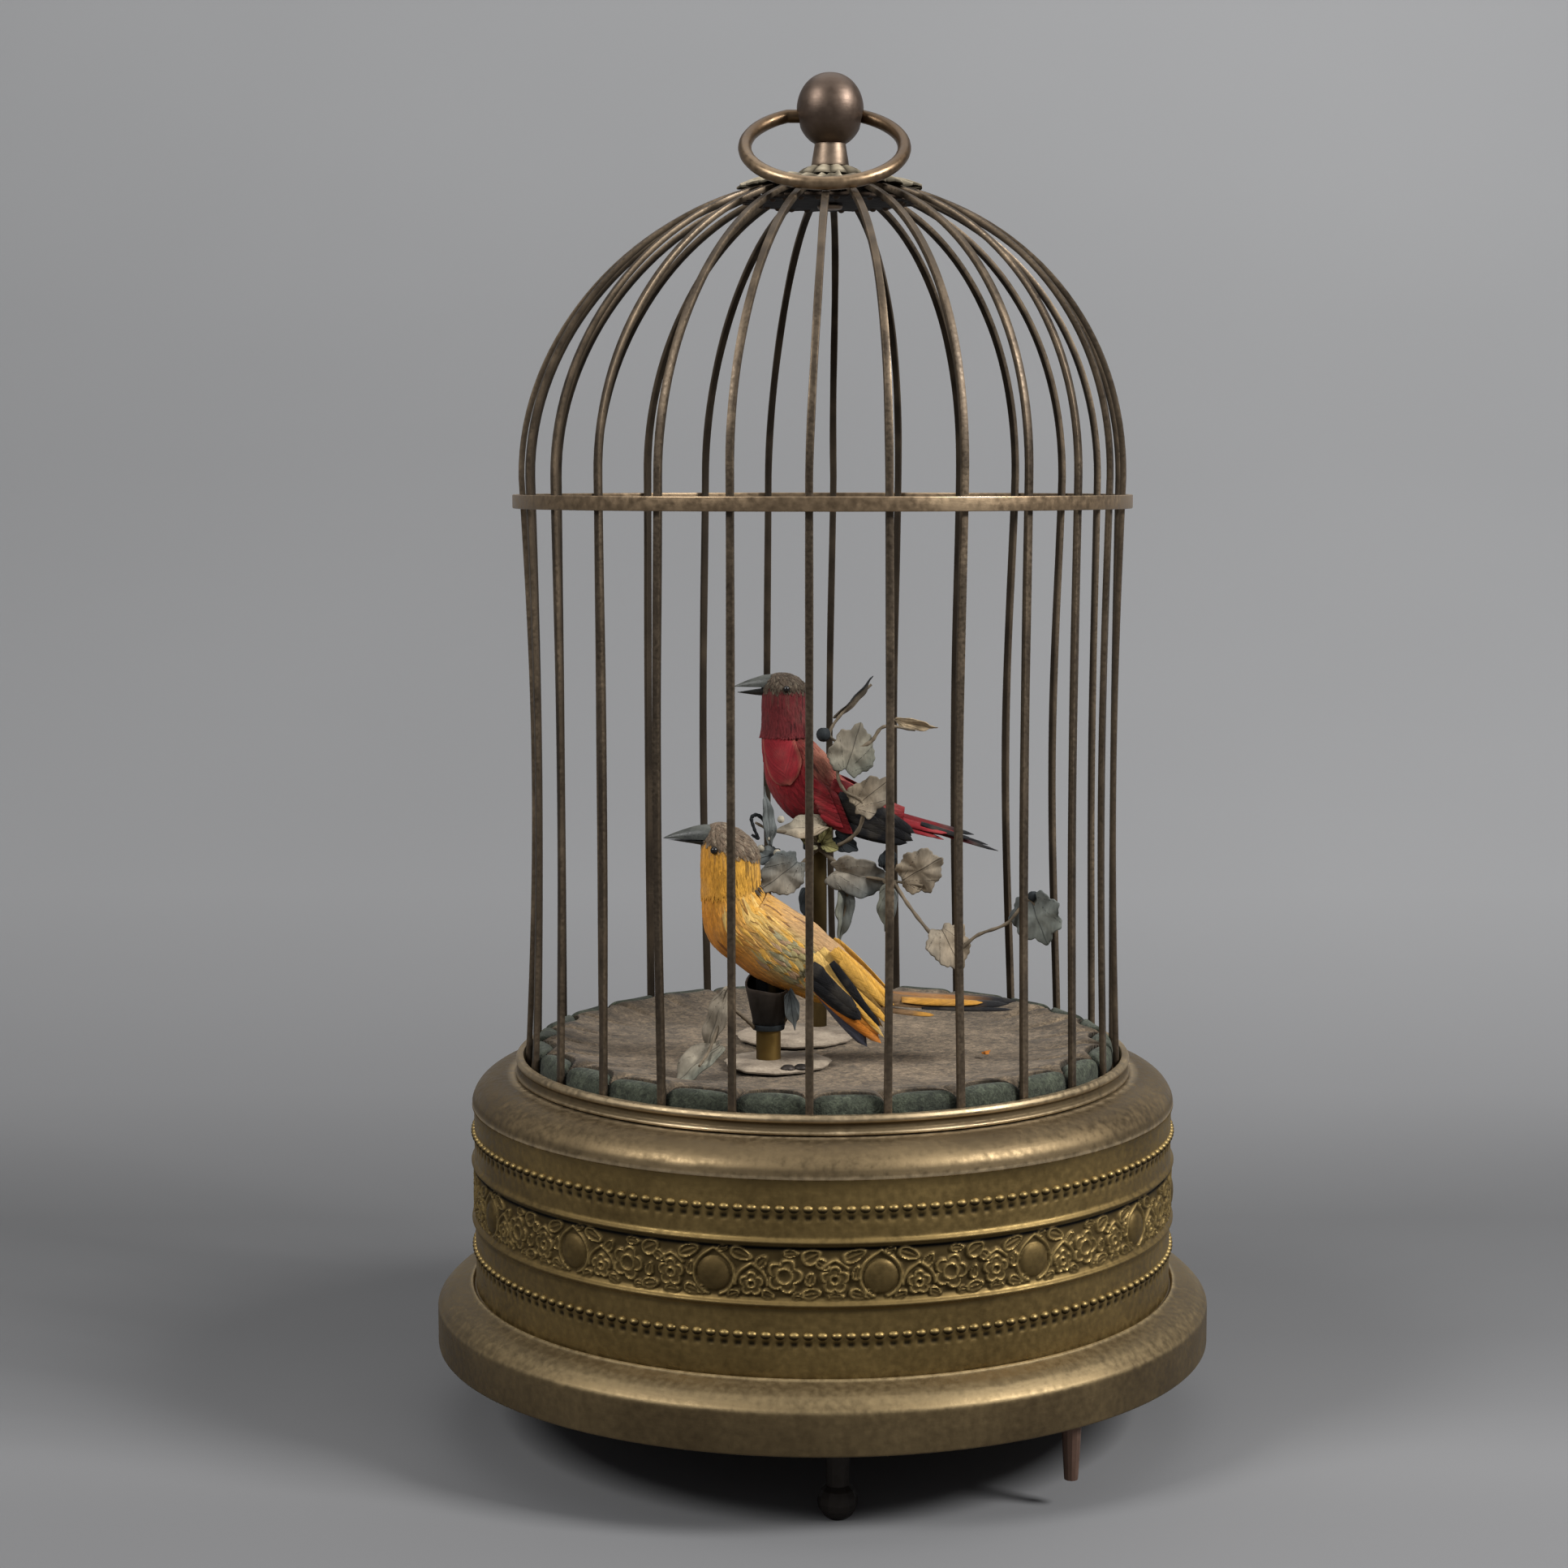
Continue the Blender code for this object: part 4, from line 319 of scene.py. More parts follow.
def painted_mesh(name, points, forms):
    """A mesh of the gathered faces on these points, and the paint, whose colour it already has."""
    mesh = bpy.data.meshes.new(name)
    mesh.from_pydata(points.tolist(), [], forms.faces)
    paint = np.concatenate(forms.paint)
    colours = np.ones((len(paint), 4), np.float32)
    colours[:, :3] = paint[:, :3]
    mesh.attributes.new("tint", "FLOAT_COLOR", "POINT").data.foreach_set("color", colours.ravel())
    return mesh, paint


def add_object(name, data):
    """A new object in the scene."""
    made = bpy.data.objects.new(name, data)
    bpy.context.scene.collection.objects.link(made)
    return made


def piece(
    name, forms, look, body=BASE, nodes=(), slot=None, angle=35, weld=False, thickness=0.0, leans=False
):
    """Makes the gathered forms into one named object that rides on a body and stands for CAD nodes."""
    points = np.concatenate(forms.points)
    if leans:
        climb = np.clip((points[:, 2] - SPRING_LINE) / DOME_RISE, 0, 1)
        climb = climb**2 * (3 - 2 * climb)
        points[:, 0] += CROWN_LEAN * climb
        points[:, 2] -= CROWN_SINK * climb
    mesh, paint = painted_mesh(name, points, forms)
    for column, layer in enumerate(("wear", "grime", "barb"), 3):
        values = paint[:, column].astype(np.float32)
        mesh.attributes.new(layer, "FLOAT", "POINT").data.foreach_set("value", values)
    work = bmesh.new()
    work.from_mesh(mesh)
    if weld:
        bmesh.ops.remove_doubles(work, verts=work.verts, dist=0.001 * MM)
    bmesh.ops.recalc_face_normals(work, faces=work.faces)
    work.to_mesh(mesh)
    work.free()
    mesh.materials.append(LOOKS[look])
    mesh.shade_smooth()
    mesh.set_sharp_from_angle(angle=math.radians(angle))
    made = add_object(name, mesh)
    if thickness:
        thicken = made.modifiers.new("thickness", "SOLIDIFY")
        thicken.thickness = thickness
        thicken.offset = 0
    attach(made, body)
    if nodes:
        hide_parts(*nodes)
    return made


def unit(vectors):
    """The same vectors at length 1."""
    vectors = np.asarray(vectors, float)
    return vectors / np.maximum(np.linalg.norm(vectors, axis=-1, keepdims=True), 1e-12)


def turns(count):
    """Angles evenly spaced round a circle."""
    return np.linspace(0, TURN, count, endpoint=False)


def turned(radius, angle, height, centre=(0, 0)):
    """Points at a radius and an angle about a vertical axis."""
    x = centre[0] + radius * np.cos(angle)
    y = centre[1] + radius * np.sin(angle)
    return np.stack(np.broadcast_arrays(x, y, height), -1)


def sphere(rows, columns):
    """Points on a ball of radius 1, with its poles above and below."""
    tilt = np.linspace(0, math.pi, rows)[:, None]
    return turned(np.sin(tilt), turns(columns)[None], np.cos(tilt))


def smooth_path(points, count):
    """Points on a smooth curve through the given ones."""
    points = np.array(points, float)
    ends = np.vstack([2 * points[0] - points[1], points, 2 * points[-1] - points[-2]])
    place = np.linspace(0, len(points) - 1, count)
    span = np.minimum(place.astype(int), len(points) - 2)
    t = (place - span)[:, None]
    a, b, c, d = ends[span], ends[span + 1], ends[span + 2], ends[span + 3]
    square, cube = 2 * a - 5 * b + 4 * c - d, 3 * b - a - 3 * c + d
    return 0.5 * (2 * b + (c - a) * t + square * t**2 + cube * t**3)


def swept(path, side, out, section):
    """A flat section, as (side, out) points, carried along a path."""
    path, side, out = (np.asarray(v, float)[:, None] for v in (path, side, out))
    section = np.asarray(section, float)
    if section.ndim == 2:
        section = section[None]
    return path + side * section[..., :1] + out * section[..., 1:]


def tube(forms, path, radius, around=8, up=(0.25, 0.95, 0.2), closed=False, **paint):
    """A round tube along a path, whose radius may change along it."""
    path = np.asarray(path, float)
    way = unit(np.gradient(path, axis=0))
    if closed:
        way = unit(np.roll(path, -1, 0) - np.roll(path, 1, 0))
    side = unit(np.cross(way, up))
    out = np.cross(side, way)
    angle = turns(around)
    circle = np.stack([np.cos(angle), np.sin(angle)], -1)
    section = circle[None] * np.broadcast_to(radius, len(path))[:, None, None]
    forms.grid(swept(path, side, out, section), (closed, True), not closed, **paint)


def lathe(forms, profile, segments=192, at=(0, 0), closed=True, **paint):
    """A form turned about a vertical axis from its (radius, height) outline."""
    radius, height = np.asarray(profile, float).T
    forms.grid(turned(radius, turns(segments)[:, None], height, at), (True, closed), **paint)


def turned_piece(name, profile, look, node, wear, grime, **more):
    """A piece turned about the cage's axis that stands for one CAD node."""
    forms = Forms()
    lathe(forms, profile, ROUND_STEPS, wear=wear, grime=grime)
    piece(name, forms, look, nodes=[node], **more)


def rounded(outline, radius, steps=4, closed=True):
    """An outline whose corners are small curves."""
    outline = np.array(outline, float)
    made = []
    for i, corner in enumerate(outline):
        if not closed and i in (0, len(outline) - 1):
            made.append(corner)
            continue
        before, after = outline[i - 1] - corner, outline[(i + 1) % len(outline)] - corner
        start = corner + before * min(0.45, radius / np.linalg.norm(before))
        end = corner + after * min(0.45, radius / np.linalg.norm(after))
        for t in np.linspace(0, 1, steps + 1):
            made.append((1 - t) ** 2 * start + 2 * t * (1 - t) * corner + t**2 * end)
    return np.array(made)


def box_of(node):
    """A node's lowest and highest corner, as plain numbers."""
    low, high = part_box(node)
    return np.array(low), np.array(high)


def axis_of(node):
    """The place, as (x, y), of a round node's upright axis."""
    low, high = box_of(node)
    return (low + high)[:2] / 2


# Frieze drum
FRIEZE_REPEAT = 24.8  # degrees from fruit to fruit
FRIEZE_START = 8.6  # degrees right of the front, the first fruit
FRIEZE_RELIEF = 0.62 * MM
FRIEZE_SINK = 0.25 * MM  # the frieze's ground lies this far inside the drum's surface
LINE_BULGE = 0.7 * MM
SEAM_HEIGHT = 0.3 * MM  # of the upright seam at the back
SEAM_HALF_WIDTH = 0.22  # in degrees
PIT_DEPTH = 0.35 * MM  # of the pits below the beads, which are also painted dark as shade
FRIEZE_MIDDLE = 49.3 * MM
UPPER_LINE, LOWER_LINE = 55.4 * MM, 43.5 * MM
BEAD_HEIGHTS = (61.1 * MM, 36.9 * MM)
BEAD_COUNT = 172
BEAD_SIZE = (1.08 * MM, 0.78 * MM, 0.8 * MM)  # along, up and out
RELIEF_RIDGE = 0.3  # half-width of a stamped ridge, in mm
# The frieze's leaves: degrees right of the fruit, mm above the middle, length, width and turn
FRIEZE_LEAVES = (
    (4.2, 3.6, 2.3, 1.2, -0.35), (7.2, 2.2, 1.5, 1.0, 0.9), (14.6, 3.4, 2.0, 1.5, 0.5),
    (16.2, 1.9, 1.5, 1.0, -0.6), (14.6, -3.7, 1.9, 1.1, 0.2), (20.9, 3.6, 2.4, 1.2, 0.4),
    (21.4, -3.8, 1.7, 1.0, -0.3), (3.0, -4.1, 1.3, 0.9, 0.4), (8.2, -4.0, 1.3, 0.9, -0.4),
    (11.6, 4.0, 1.5, 0.8, 0.0), (14.4, -0.9, 1.4, 0.9, 1.3), (21.2, 0.3, 1.5, 0.8, 1.4),
    (12.6, -4.1, 1.1, 0.7, 0.1), (18.2, -4.2, 1.6, 0.8, 0.0), (23.2, -3.6, 1.2, 0.8, 0.6),
    (1.4, 4.5, 1.1, 0.6, 0.2),
)
# Rows of points up the drum between its edges: from, to, both in mm, and how many
DRUM_ROWS = (
    (34.2, 37.8, 13), (38.6, 41.6, 3), (42.0, 45.0, 14), (45.2, 53.7, 38), (53.9, 56.9, 14), (57.3, 57.9, 2),
    (58.4, 62.0, 13),
)
POINTS_PER_BEAD = 9


def ridge(distance, width=RELIEF_RIDGE):
    """A rounded ridge where the distance is 0."""
    return np.exp(-((distance / width) ** 2))


def stamped_flower(u, v, size, petals, turn, ring):
    """A flower with raised petal rims, hollow petals and a ringed centre."""
    reach = np.hypot(u, v)
    angle = np.arctan2(u, v) - turn
    edge = size * (0.62 + 0.38 * np.abs(np.cos(petals * angle / 2)) ** 0.7)
    rim = ridge(reach - edge * 0.86, 0.34)
    hollow = 0.28 * (reach < edge * 0.9) + 0.25 * ridge(reach - edge * 0.5, 0.5)
    parting = ridge(np.sin(petals * angle / 2 + math.pi / 2) * reach, 0.3) * (reach < edge) * 0.1
    centre = 1.05 * ridge(reach - ring, 0.3)
    pit = -0.2 * ridge(reach, ring * 0.5)
    return np.maximum.reduce([rim, hollow, centre]) - parting + pit


def stamped_leaf(u, v, length, width, turn):
    """An oval leaf with a raised rim and a midrib."""
    along = u * math.cos(turn) + v * math.sin(turn)
    across = v * math.cos(turn) - u * math.sin(turn)
    reach = np.hypot(along / length, across / (width * (1 - 0.3 * along / length)))
    rim = ridge(reach - 0.86, 0.17)
    rib = 0.7 * ridge(across, 0.22) * (np.abs(along) < length * 0.8)
    return np.maximum.reduce([rim, rib, 0.3 * (reach < 0.95)])


def husk(u, v, reach, peak, spread):
    """A ridge that arches over a motif and rises to a point above it."""
    angle = np.arctan2(u, v)
    edge = reach + peak * np.exp(-np.abs(angle) / 0.3)
    return 0.95 * ridge(np.hypot(u, v) - edge, 0.34) * (np.abs(angle) < spread)


def frieze_relief(azimuth, height):
    """The frieze's relief, as a share of its depth, at degrees to the right of the front."""
    def wrapped(degrees):
        return (degrees + FRIEZE_REPEAT / 2) % FRIEZE_REPEAT - FRIEZE_REPEAT / 2

    def at(degrees, up):
        off = wrapped(wrapped(azimuth - FRIEZE_START) - degrees)
        return off * mm_per_degree, (height - FRIEZE_MIDDLE) / MM - up

    mm_per_degree = math.radians(1) * DRUM_RADIUS / MM
    fruit = at(0, -0.5)
    from_fruit = np.hypot(*fruit)
    ball = 1.5 * np.sqrt(np.clip(1 - (from_fruit / 3.3) ** 2, 0, 1))
    small, last = at(5.7, -2.0), at(18.0, -1.0)
    parts = [
        ball,
        husk(*fruit, 3.95, 1.1, 2.9),
        stamped_flower(*small, 2.5, 5, 0, 0.75),
        husk(*small, 3.1, 0.8, 1.7),
        stamped_flower(*at(10.6, -0.4), 3.7, 5, 0.3, 1.45),
        stamped_flower(*last, 2.9, 5, 0, 0.85),
        husk(*last, 3.2, 0.6, 0.9),
    ]
    parts += [stamped_leaf(*at(degrees, up), *shape) for degrees, up, *shape in FRIEZE_LEAVES]
    return np.maximum.reduce(parts), from_fruit < 3.4


LINE_RELIEF = 0.8 * MM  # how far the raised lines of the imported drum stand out
DRUM_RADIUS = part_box("frieze_drum")[1].x - LINE_RELIEF
WALL = 0.8 * MM


def make_drum():
    """The frieze drum: stamped frieze between two raised lines, and a row of beads above and below."""
    low, high = (corner.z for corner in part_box("frieze_drum"))
    spans = ((low / MM, 33.6, 4), *DRUM_ROWS, (62.9, high / MM, 5))
    heights = np.concatenate([np.linspace(*span) for span in spans]) * MM
    azimuths = np.linspace(-180, 180, BEAD_COUNT * POINTS_PER_BEAD, endpoint=False)
    azimuth, height = np.meshgrid(azimuths, heights, indexing="ij")
    inside = np.clip((height - LOWER_LINE - 0.9 * MM) / (0.5 * MM), 0, 1)
    inside = inside * np.clip((UPPER_LINE - 0.7 * MM - height) / (0.4 * MM), 0, 1)
    relief, in_fruit = frieze_relief(azimuth, height)
    relief = relief * inside
    from_seam = np.abs(np.abs(azimuth) - 180)
    relief[from_seam < 0.25] = 0
    from_upper, from_lower = (height - UPPER_LINE) / MM, (height - LOWER_LINE) / MM
    bulge = np.where(from_upper > 0, ridge(from_upper, 0.55), ridge(from_upper, 0.3))
    bulge = bulge + np.where(from_lower > 0, ridge(from_lower, 0.45), ridge(from_lower, 0.55))
    radius = DRUM_RADIUS + relief * FRIEZE_RELIEF + bulge * LINE_BULGE
    radius += SEAM_HEIGHT * ridge(from_seam, SEAM_HALF_WIDTH) - FRIEZE_SINK * inside
    radius += 0.4 * MM * np.clip((height - high + 1.2 * MM) / (1.2 * MM), 0, 1)
    wear = np.where(in_fruit, 0, np.clip(relief * 1.7 - 1.05, 0, 0.6)) + 0.06 * bulge
    grime = np.where(in_fruit, 0.42, np.clip(0.85 - relief, 0, 0.62)) * inside
    # Painted shade under the two raised lines and under the shoulder's lip at the drum's top, and the raised
    # lines themselves made darker.
    grime += 0.7 * ridge(from_upper + 1.1, 0.6) + 0.5 * ridge(from_lower + 1.2, 0.5)
    grime += 0.35 * ridge((height - high) / MM, 0.9) + 0.32 * bulge
    theta = np.radians(azimuth - 90)
    between_beads = np.clip(0.55 + 0.9 * np.cos(BEAD_COUNT * theta), 0, 1)
    for bead_height in BEAD_HEIGHTS:
        # Painted shade below each bead, between its neighbours, over a shallow pit.
        pit_and_shade = ridge((height - bead_height) / MM + 1.1, 0.62) * between_beads
        grime += 1.15 * pit_and_shade
        radius -= PIT_DEPTH * pit_and_shade
    inner = turned(DRUM_RADIUS - WALL, theta[:, :2], np.array([high, low]))
    pad = np.zeros((len(azimuths), 2))
    forms = Forms()
    forms.grid(
        np.concatenate([turned(radius, theta, height), inner], 1), (True, True),
        wear=np.concatenate([wear, pad], 1), grime=np.concatenate([grime, pad], 1),
    )
    add_beads(forms)
    piece("embossed_drum", forms, "aged_brass", nodes=["frieze_drum"], angle=80)


def add_beads(forms):
    """Adds the drum's two rows of beads."""
    along, up, out = BEAD_SIZE
    tilt = np.linspace(0, math.pi / 2, 5)[:, None]
    spin = turns(10)[None]
    side = (np.sin(tilt) * np.cos(spin) * along)[..., None]
    upward = np.sin(tilt) * np.sin(spin)
    stand = (np.cos(tilt) * out + 0 * spin)[..., None]
    # A painted highlight on the beads' upper halves and painted shade on their undersides.
    wear = np.clip(upward * 1.4 - 0.3, 0, 0.6)
    grime = np.clip(0.75 - upward * 1.6, 0.05, 1.0)
    rise = (upward * up)[..., None] * np.array([0, 0, 1])
    for bead_height in BEAD_HEIGHTS:
        for theta in turns(BEAD_COUNT):
            radial = np.array([math.cos(theta), math.sin(theta), 0])
            tangent = np.array([-math.sin(theta), math.cos(theta), 0])
            centre = radial * (DRUM_RADIUS - 0.1 * MM) + np.array([0, 0, bead_height + 0.6 * MM])
            points = centre + side * tangent + stand * radial + rise
            forms.grid(points, (False, True), wear=wear, grime=grime)


# The flange's top from the drum outwards: share of its reach, mm beyond that, and mm below its highest place
FLANGE_TOP = (
    (0, 0, 2.3), (0, 0.3, 1.35), (0, 0.8, 1.4), (0, 1.2, 1.8), (0.5, 0, 2.5), (0.7, 0, 3.2), (0.86, 0, 4.3),
    (0.95, 0, 5.1),
)
SKIRT_HEIGHT = 8.5 * MM
SHOULDER_NECK = 64.6 * MM  # radius where the shoulder's dome ends
SHOULDER_LEDGE = 56.0 * MM


def make_flange():
    """The spun plinth moulding, whose top slopes down to an upright skirt."""
    low, high = box_of("plinth_flange")
    inner = DRUM_RADIUS + 0.3 * MM
    outer, reach = high[0], high[0] - inner
    skirt = low[2] + SKIRT_HEIGHT
    top = high[2]
    outline = [(inner + share * reach + beyond * MM, top - down * MM) for share, beyond, down in FLANGE_TOP]
    outline += [(outer - 0.15 * MM, skirt), (outer, skirt - 0.5 * MM), (outer, low[2])]
    back = [(r - WALL, z - 0.5 * MM) for r, z in outline[::-1]]
    back[0] = (outer - WALL, low[2])
    profile = rounded(outline + back, 0.5 * MM, 3)
    radius, over_skirt = profile[:, 0], profile[:, 1] - skirt
    # Painted highlights: a thin line along the inner lip and one along the skirt's top corner, and the
    # sloping top painted lighter than the skirt.
    wear = 0.9 * ridge((radius - inner) / MM - 0.55, 0.35) + 0.25 * ridge(over_skirt / MM, 0.4)
    wear += 0.25 * np.clip(over_skirt / (1.5 * MM), 0, 1)
    grime = 0.2 * ridge((profile[:, 1] - low[2]) / MM, 4)
    turned_piece(
        "rolled_plinth", profile, "satin_brass", "plinth_flange", wear, grime, slot="aged_brass", angle=50
    )


def make_shoulder():
    """The domed shoulder with its worn inner lip and a painted highlight along its lower edge."""
    low, high = box_of("base_shoulder")
    lip, height = high[0], high[2] - low[2]
    width = lip - SHOULDER_NECK
    outline = []
    for angle in np.linspace(math.pi / 2, 0, 14):
        radius = SHOULDER_NECK + width * math.cos(angle) ** 0.8
        outline.append((radius, low[2] + height * math.sin(angle) ** 1.1))
    outline.append((lip - 0.2 * MM, low[2] - 0.4 * MM))
    back = []
    for radius, z in outline[::-1]:
        inward = WALL * (0.5 + 0.5 * (radius - SHOULDER_NECK) / width)
        back.append((radius - inward, z - WALL * (z - low[2]) / height))
    outline = outline + back + [(SHOULDER_LEDGE, high[2] - WALL), (SHOULDER_LEDGE, high[2])]
    profile = rounded(outline, 0.25 * MM, 2)
    above = (profile[:, 1] - low[2]) / MM
    # Worn inner lip, and a painted highlight along the lower edge.
    wear = 1.1 * ridge((profile[:, 0] - SHOULDER_NECK) / MM - 0.5, 0.7) + 0.9 * ridge(above, 0.4)
    grime = 0.4 * ridge(above - 1.3, 0.6)
    turned_piece("domed_shoulder", profile, "dull_brass", "base_shoulder", wear, grime, angle=50)


def at_azimuth(angle, degrees, half_width):
    """1 at an azimuth, in degrees to the right of the front, and less away from it."""
    return ridge((np.degrees(angle) + 90 - degrees + 180) % 360 - 180, half_width)


RING_GAP = 0.3 * MM  # between the bars and the rings round them


def make_foot_ring():
    """The grooved ring at the bars' feet: its upper edge painted lighter, patches of painted highlight on its
    lower lip, and painted shade in the groove between.
    """
    low, high = box_of("foot_ring")
    inner, outer, bottom, top = BAR_OUTER + RING_GAP, high[0], low[2], high[2]
    outline = [(inner, bottom), (outer, bottom), (outer, bottom + 0.5 * MM)]
    outline += [(outer - 0.6 * MM, bottom + 0.95 * MM), (outer - 0.75 * MM, top - 1.8 * MM)]
    outline += [(outer - 0.15 * MM, top - 1.3 * MM), (outer, top - 0.75 * MM)]
    outline += [(outer - 0.45 * MM, top), (inner, top)]
    profile = rounded(outline, 0.25 * MM, 3)
    above = (profile[:, 1] - bottom)[None] / MM
    rim = np.clip((above - (top - bottom) / MM + 1.5) / 0.3, 0, 1)
    lip = np.clip((0.85 - above) / 0.3, 0, 1)
    angle = turns(ROUND_STEPS)[:, None]
    # Uneven lightness along the painted upper edge.
    dust = 0.78 + 0.22 * np.sin(angle * 7 + 2) * np.sin(angle * 17)
    # Painted highlights on the lower lip at a few places near the front.
    painted_glints = 1.5 * at_azimuth(angle, -24, 4.5) + 0.9 * at_azimuth(angle, 3, 2)
    painted_glints = painted_glints + 0.6 * at_azimuth(angle, 20, 5)
    wear = rim * dust * 0.7 + lip * (0.32 + painted_glints)
    grime = 0.45 * (1 - rim) * (1 - lip) * (1 - 0.5 * np.clip(painted_glints, 0, 1))
    turned_piece("grooved_foot_ring", profile, "dull_brass", "foot_ring", wear, grime)


def make_hoop():
    """The hoop where the dome starts."""
    low, high = box_of("mid_band")
    inner, outer = BAR_OUTER + RING_GAP, high[0]
    outline = [(inner, low[2]), (outer, low[2]), (outer, high[2]), (inner, high[2])]
    profile = rounded(outline, 0.22 * MM, 3)
    angle = turns(ROUND_STEPS)[:, None]
    uneven = 0.5 + 0.5 * np.sin(angle * 5 + 1) * np.sin(angle * 3)
    edge = ridge((profile[:, 1] - high[2]) / MM, 0.25)[None] * uneven
    # A painted highlight to the right of the front, on top of the hoop's wear and its lighter upper edge.
    wear = 0.62 + 0.4 * edge + 1.4 * at_azimuth(angle, 24.5, 4.5)
    turned_piece("dome_hoop", profile, "ring_brass", "mid_band", wear, 0.08 * (1 - edge), slot="dull_brass")


# Cage wires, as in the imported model
BAR_COUNT = 26
BAR_PHASE = math.radians(-92.3)
BAR_WIDTH = 1.5 * MM
BAR_THICKNESS = 1.2 * MM
BAR_CORNER = 0.3 * MM
BAR_STEPS, DOME_STEPS, BEND_STEPS = 26, 30, 13  # rows of points up a bar, over the dome and round the bend
CROWN_RADIUS = 18.0 * MM
BAR_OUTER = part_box("mid_band")[1].x - 1.3 * MM
BAR_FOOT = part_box("foot_ring")[0].z
SPRING_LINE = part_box("mid_band")[1].z + 3.6 * MM
DOME_RISE = 61.0 * MM
CROWN_LEAN = 1.55 * MM  # the old dome leans to the right
CROWN_SINK = 0.6 * MM  # and is pressed a little flat
# Sideways lean of a bar half way up, in mm, by its number counted from the front to the right
BAR_LEANS = {
    0: 0.0, 1: 0.3, 2: -0.9, 3: -0.4, 4: -0.6, 5: -0.6, 6: -0.2, 8: 1.4, 9: 2.6, 10: 2.2, 11: 1.0, 12: 0.9,
    13: 0.9, 14: 0.5, 15: 0.9, 16: 0.3, 19: -0.5, 20: 0.3, 21: 0.5, 22: 0.9, 23: 0.5, 24: -0.8, 25: -0.1,
}
# How far a bar bows in towards the middle, half way up, in mm
BAR_BOWS = {4: 0.3, 5: 0.9, 6: 1.3, 7: 0.4, 19: 0.7, 20: 2.0, 21: 1.2, 22: 0.3}
LEAN_SPREAD, BOW_SPREAD = 0.25, 0.15  # of the bars that are not listed, in mm
DOME_SPREAD = 0.3  # of all bars above the hoop, in mm


def dome_height(radius, outer, rise):
    """How far the dome stands above the spring line at a radius."""
    return rise * np.sqrt(np.clip(1 - (radius / outer) ** 2, 0, 1))


def make_wires():
    """Thirteen flat wires, each bent back at the crown, a little out of true as on the old cage."""
    spacing = TURN / BAR_COUNT
    radius = BAR_OUTER - BAR_THICKNESS / 2
    rise = DOME_RISE - BAR_THICKNESS / 2
    straight = np.linspace(BAR_FOOT, SPRING_LINE, BAR_STEPS)
    angles = np.linspace(0, math.acos(CROWN_RADIUS / radius), DOME_STEPS)[1:]
    up_radius = np.concatenate([np.full(len(straight), radius), radius * np.cos(angles)])
    up_height = np.concatenate([straight, SPRING_LINE + rise * np.sin(angles)])
    climb = np.clip((up_height - BAR_FOOT) / (SPRING_LINE - BAR_FOOT), 0, 1)
    over_spring = np.clip((up_height - SPRING_LINE) / rise, 0, 1)
    corners = ((-1, -1), (1, -1), (1, 1), (-1, 1))
    section = rounded([(x * BAR_WIDTH / 2, y * BAR_THICKNESS / 2) for x, y in corners], BAR_CORNER, 2)
    edges = 0.32 * (np.abs(section[:, 0]) > BAR_WIDTH * 0.42)
    for i in range(BAR_COUNT // 2):
        legs = []
        for number in (2 * i, 2 * i + 1):
            lean = BAR_LEANS.get(number, chance.normal(0, LEAN_SPREAD)) * MM * np.sin(math.pi * climb) ** 1.3
            bow = BAR_BOWS.get(number, abs(chance.normal(0, BOW_SPREAD))) * MM * np.sin(math.pi * climb)
            lean = lean + chance.normal(0, DOME_SPREAD) * MM * np.sin(math.pi * over_spring)
            legs.append(turned(up_radius - bow, BAR_PHASE + spacing * number + lean / radius, up_height))
        middle = BAR_PHASE + 2 * spacing * i + spacing / 2
        centre = np.array([math.cos(middle), math.sin(middle)]) * CROWN_RADIUS * math.cos(spacing / 2)
        across = np.array([math.sin(middle), -math.cos(middle)])
        half = CROWN_RADIUS * math.sin(spacing / 2)
        bend = []
        for angle in np.linspace(0, math.pi, BEND_STEPS)[1:-1]:
            spot = centre + half * (math.cos(angle) * across - math.sin(angle) * unit(centre))
            bend.append((*spot, SPRING_LINE + dome_height(np.linalg.norm(spot), radius, rise)))
        path = np.concatenate([legs[0], bend, legs[1][::-1]])
        over = np.clip(path[:, 2] - SPRING_LINE, 0, None)
        out = unit(np.stack([path[:, 0] / radius**2, path[:, 1] / radius**2, over / rise**2], -1))
        way = unit(np.gradient(path, axis=0))
        out = unit(out - way * (out * way).sum(-1, keepdims=True))
        side = np.cross(way, out) * (1 + 0.03 * np.sin(np.arange(len(path)) * 0.7 + i))[:, None]
        worn = np.clip(chance.normal(0.1, 0.22, (len(path), 1)), 0, 1)
        forms = Forms()
        # The wire's inner face, inside the cage, is painted darker as shade.
        forms.grid(
            swept(path, side, out, section), (False, True), True, wear=np.clip(edges + worn, 0, 1) * 0.8,
            grime=0.6 * (section[:, 1] < 0),
        )
        name, node = f"flat_wire_{i + 1:02d}", f"cage_wire_{i + 1:02d}"
        piece(name, forms, "wire_brass", nodes=[node], slot="dull_brass", angle=50, leans=True)


# The crown plate's outline: the face, share of its edge's radius, mm above that face, grime with more painted
# shade on the bottom face, and wear
PLATE_RIM = (
    ("top", 0.09, 0.0, 0.7, 0.0), ("top", 0.5, 0.0, 0.7, 0.0), ("top", 0.97, 0.0, 0.6, 0.3),
    ("top", 1.0, -0.25, 0.7, 0.4), ("bottom", 1.0, 0.2, 0.9, 0.2), ("bottom", 0.97, 0.0, 1.05, 0.0),
    ("bottom", 0.5, 0.0, 1.1, 0.0), ("bottom", 0.09, 0.0, 1.1, 0.0),
)
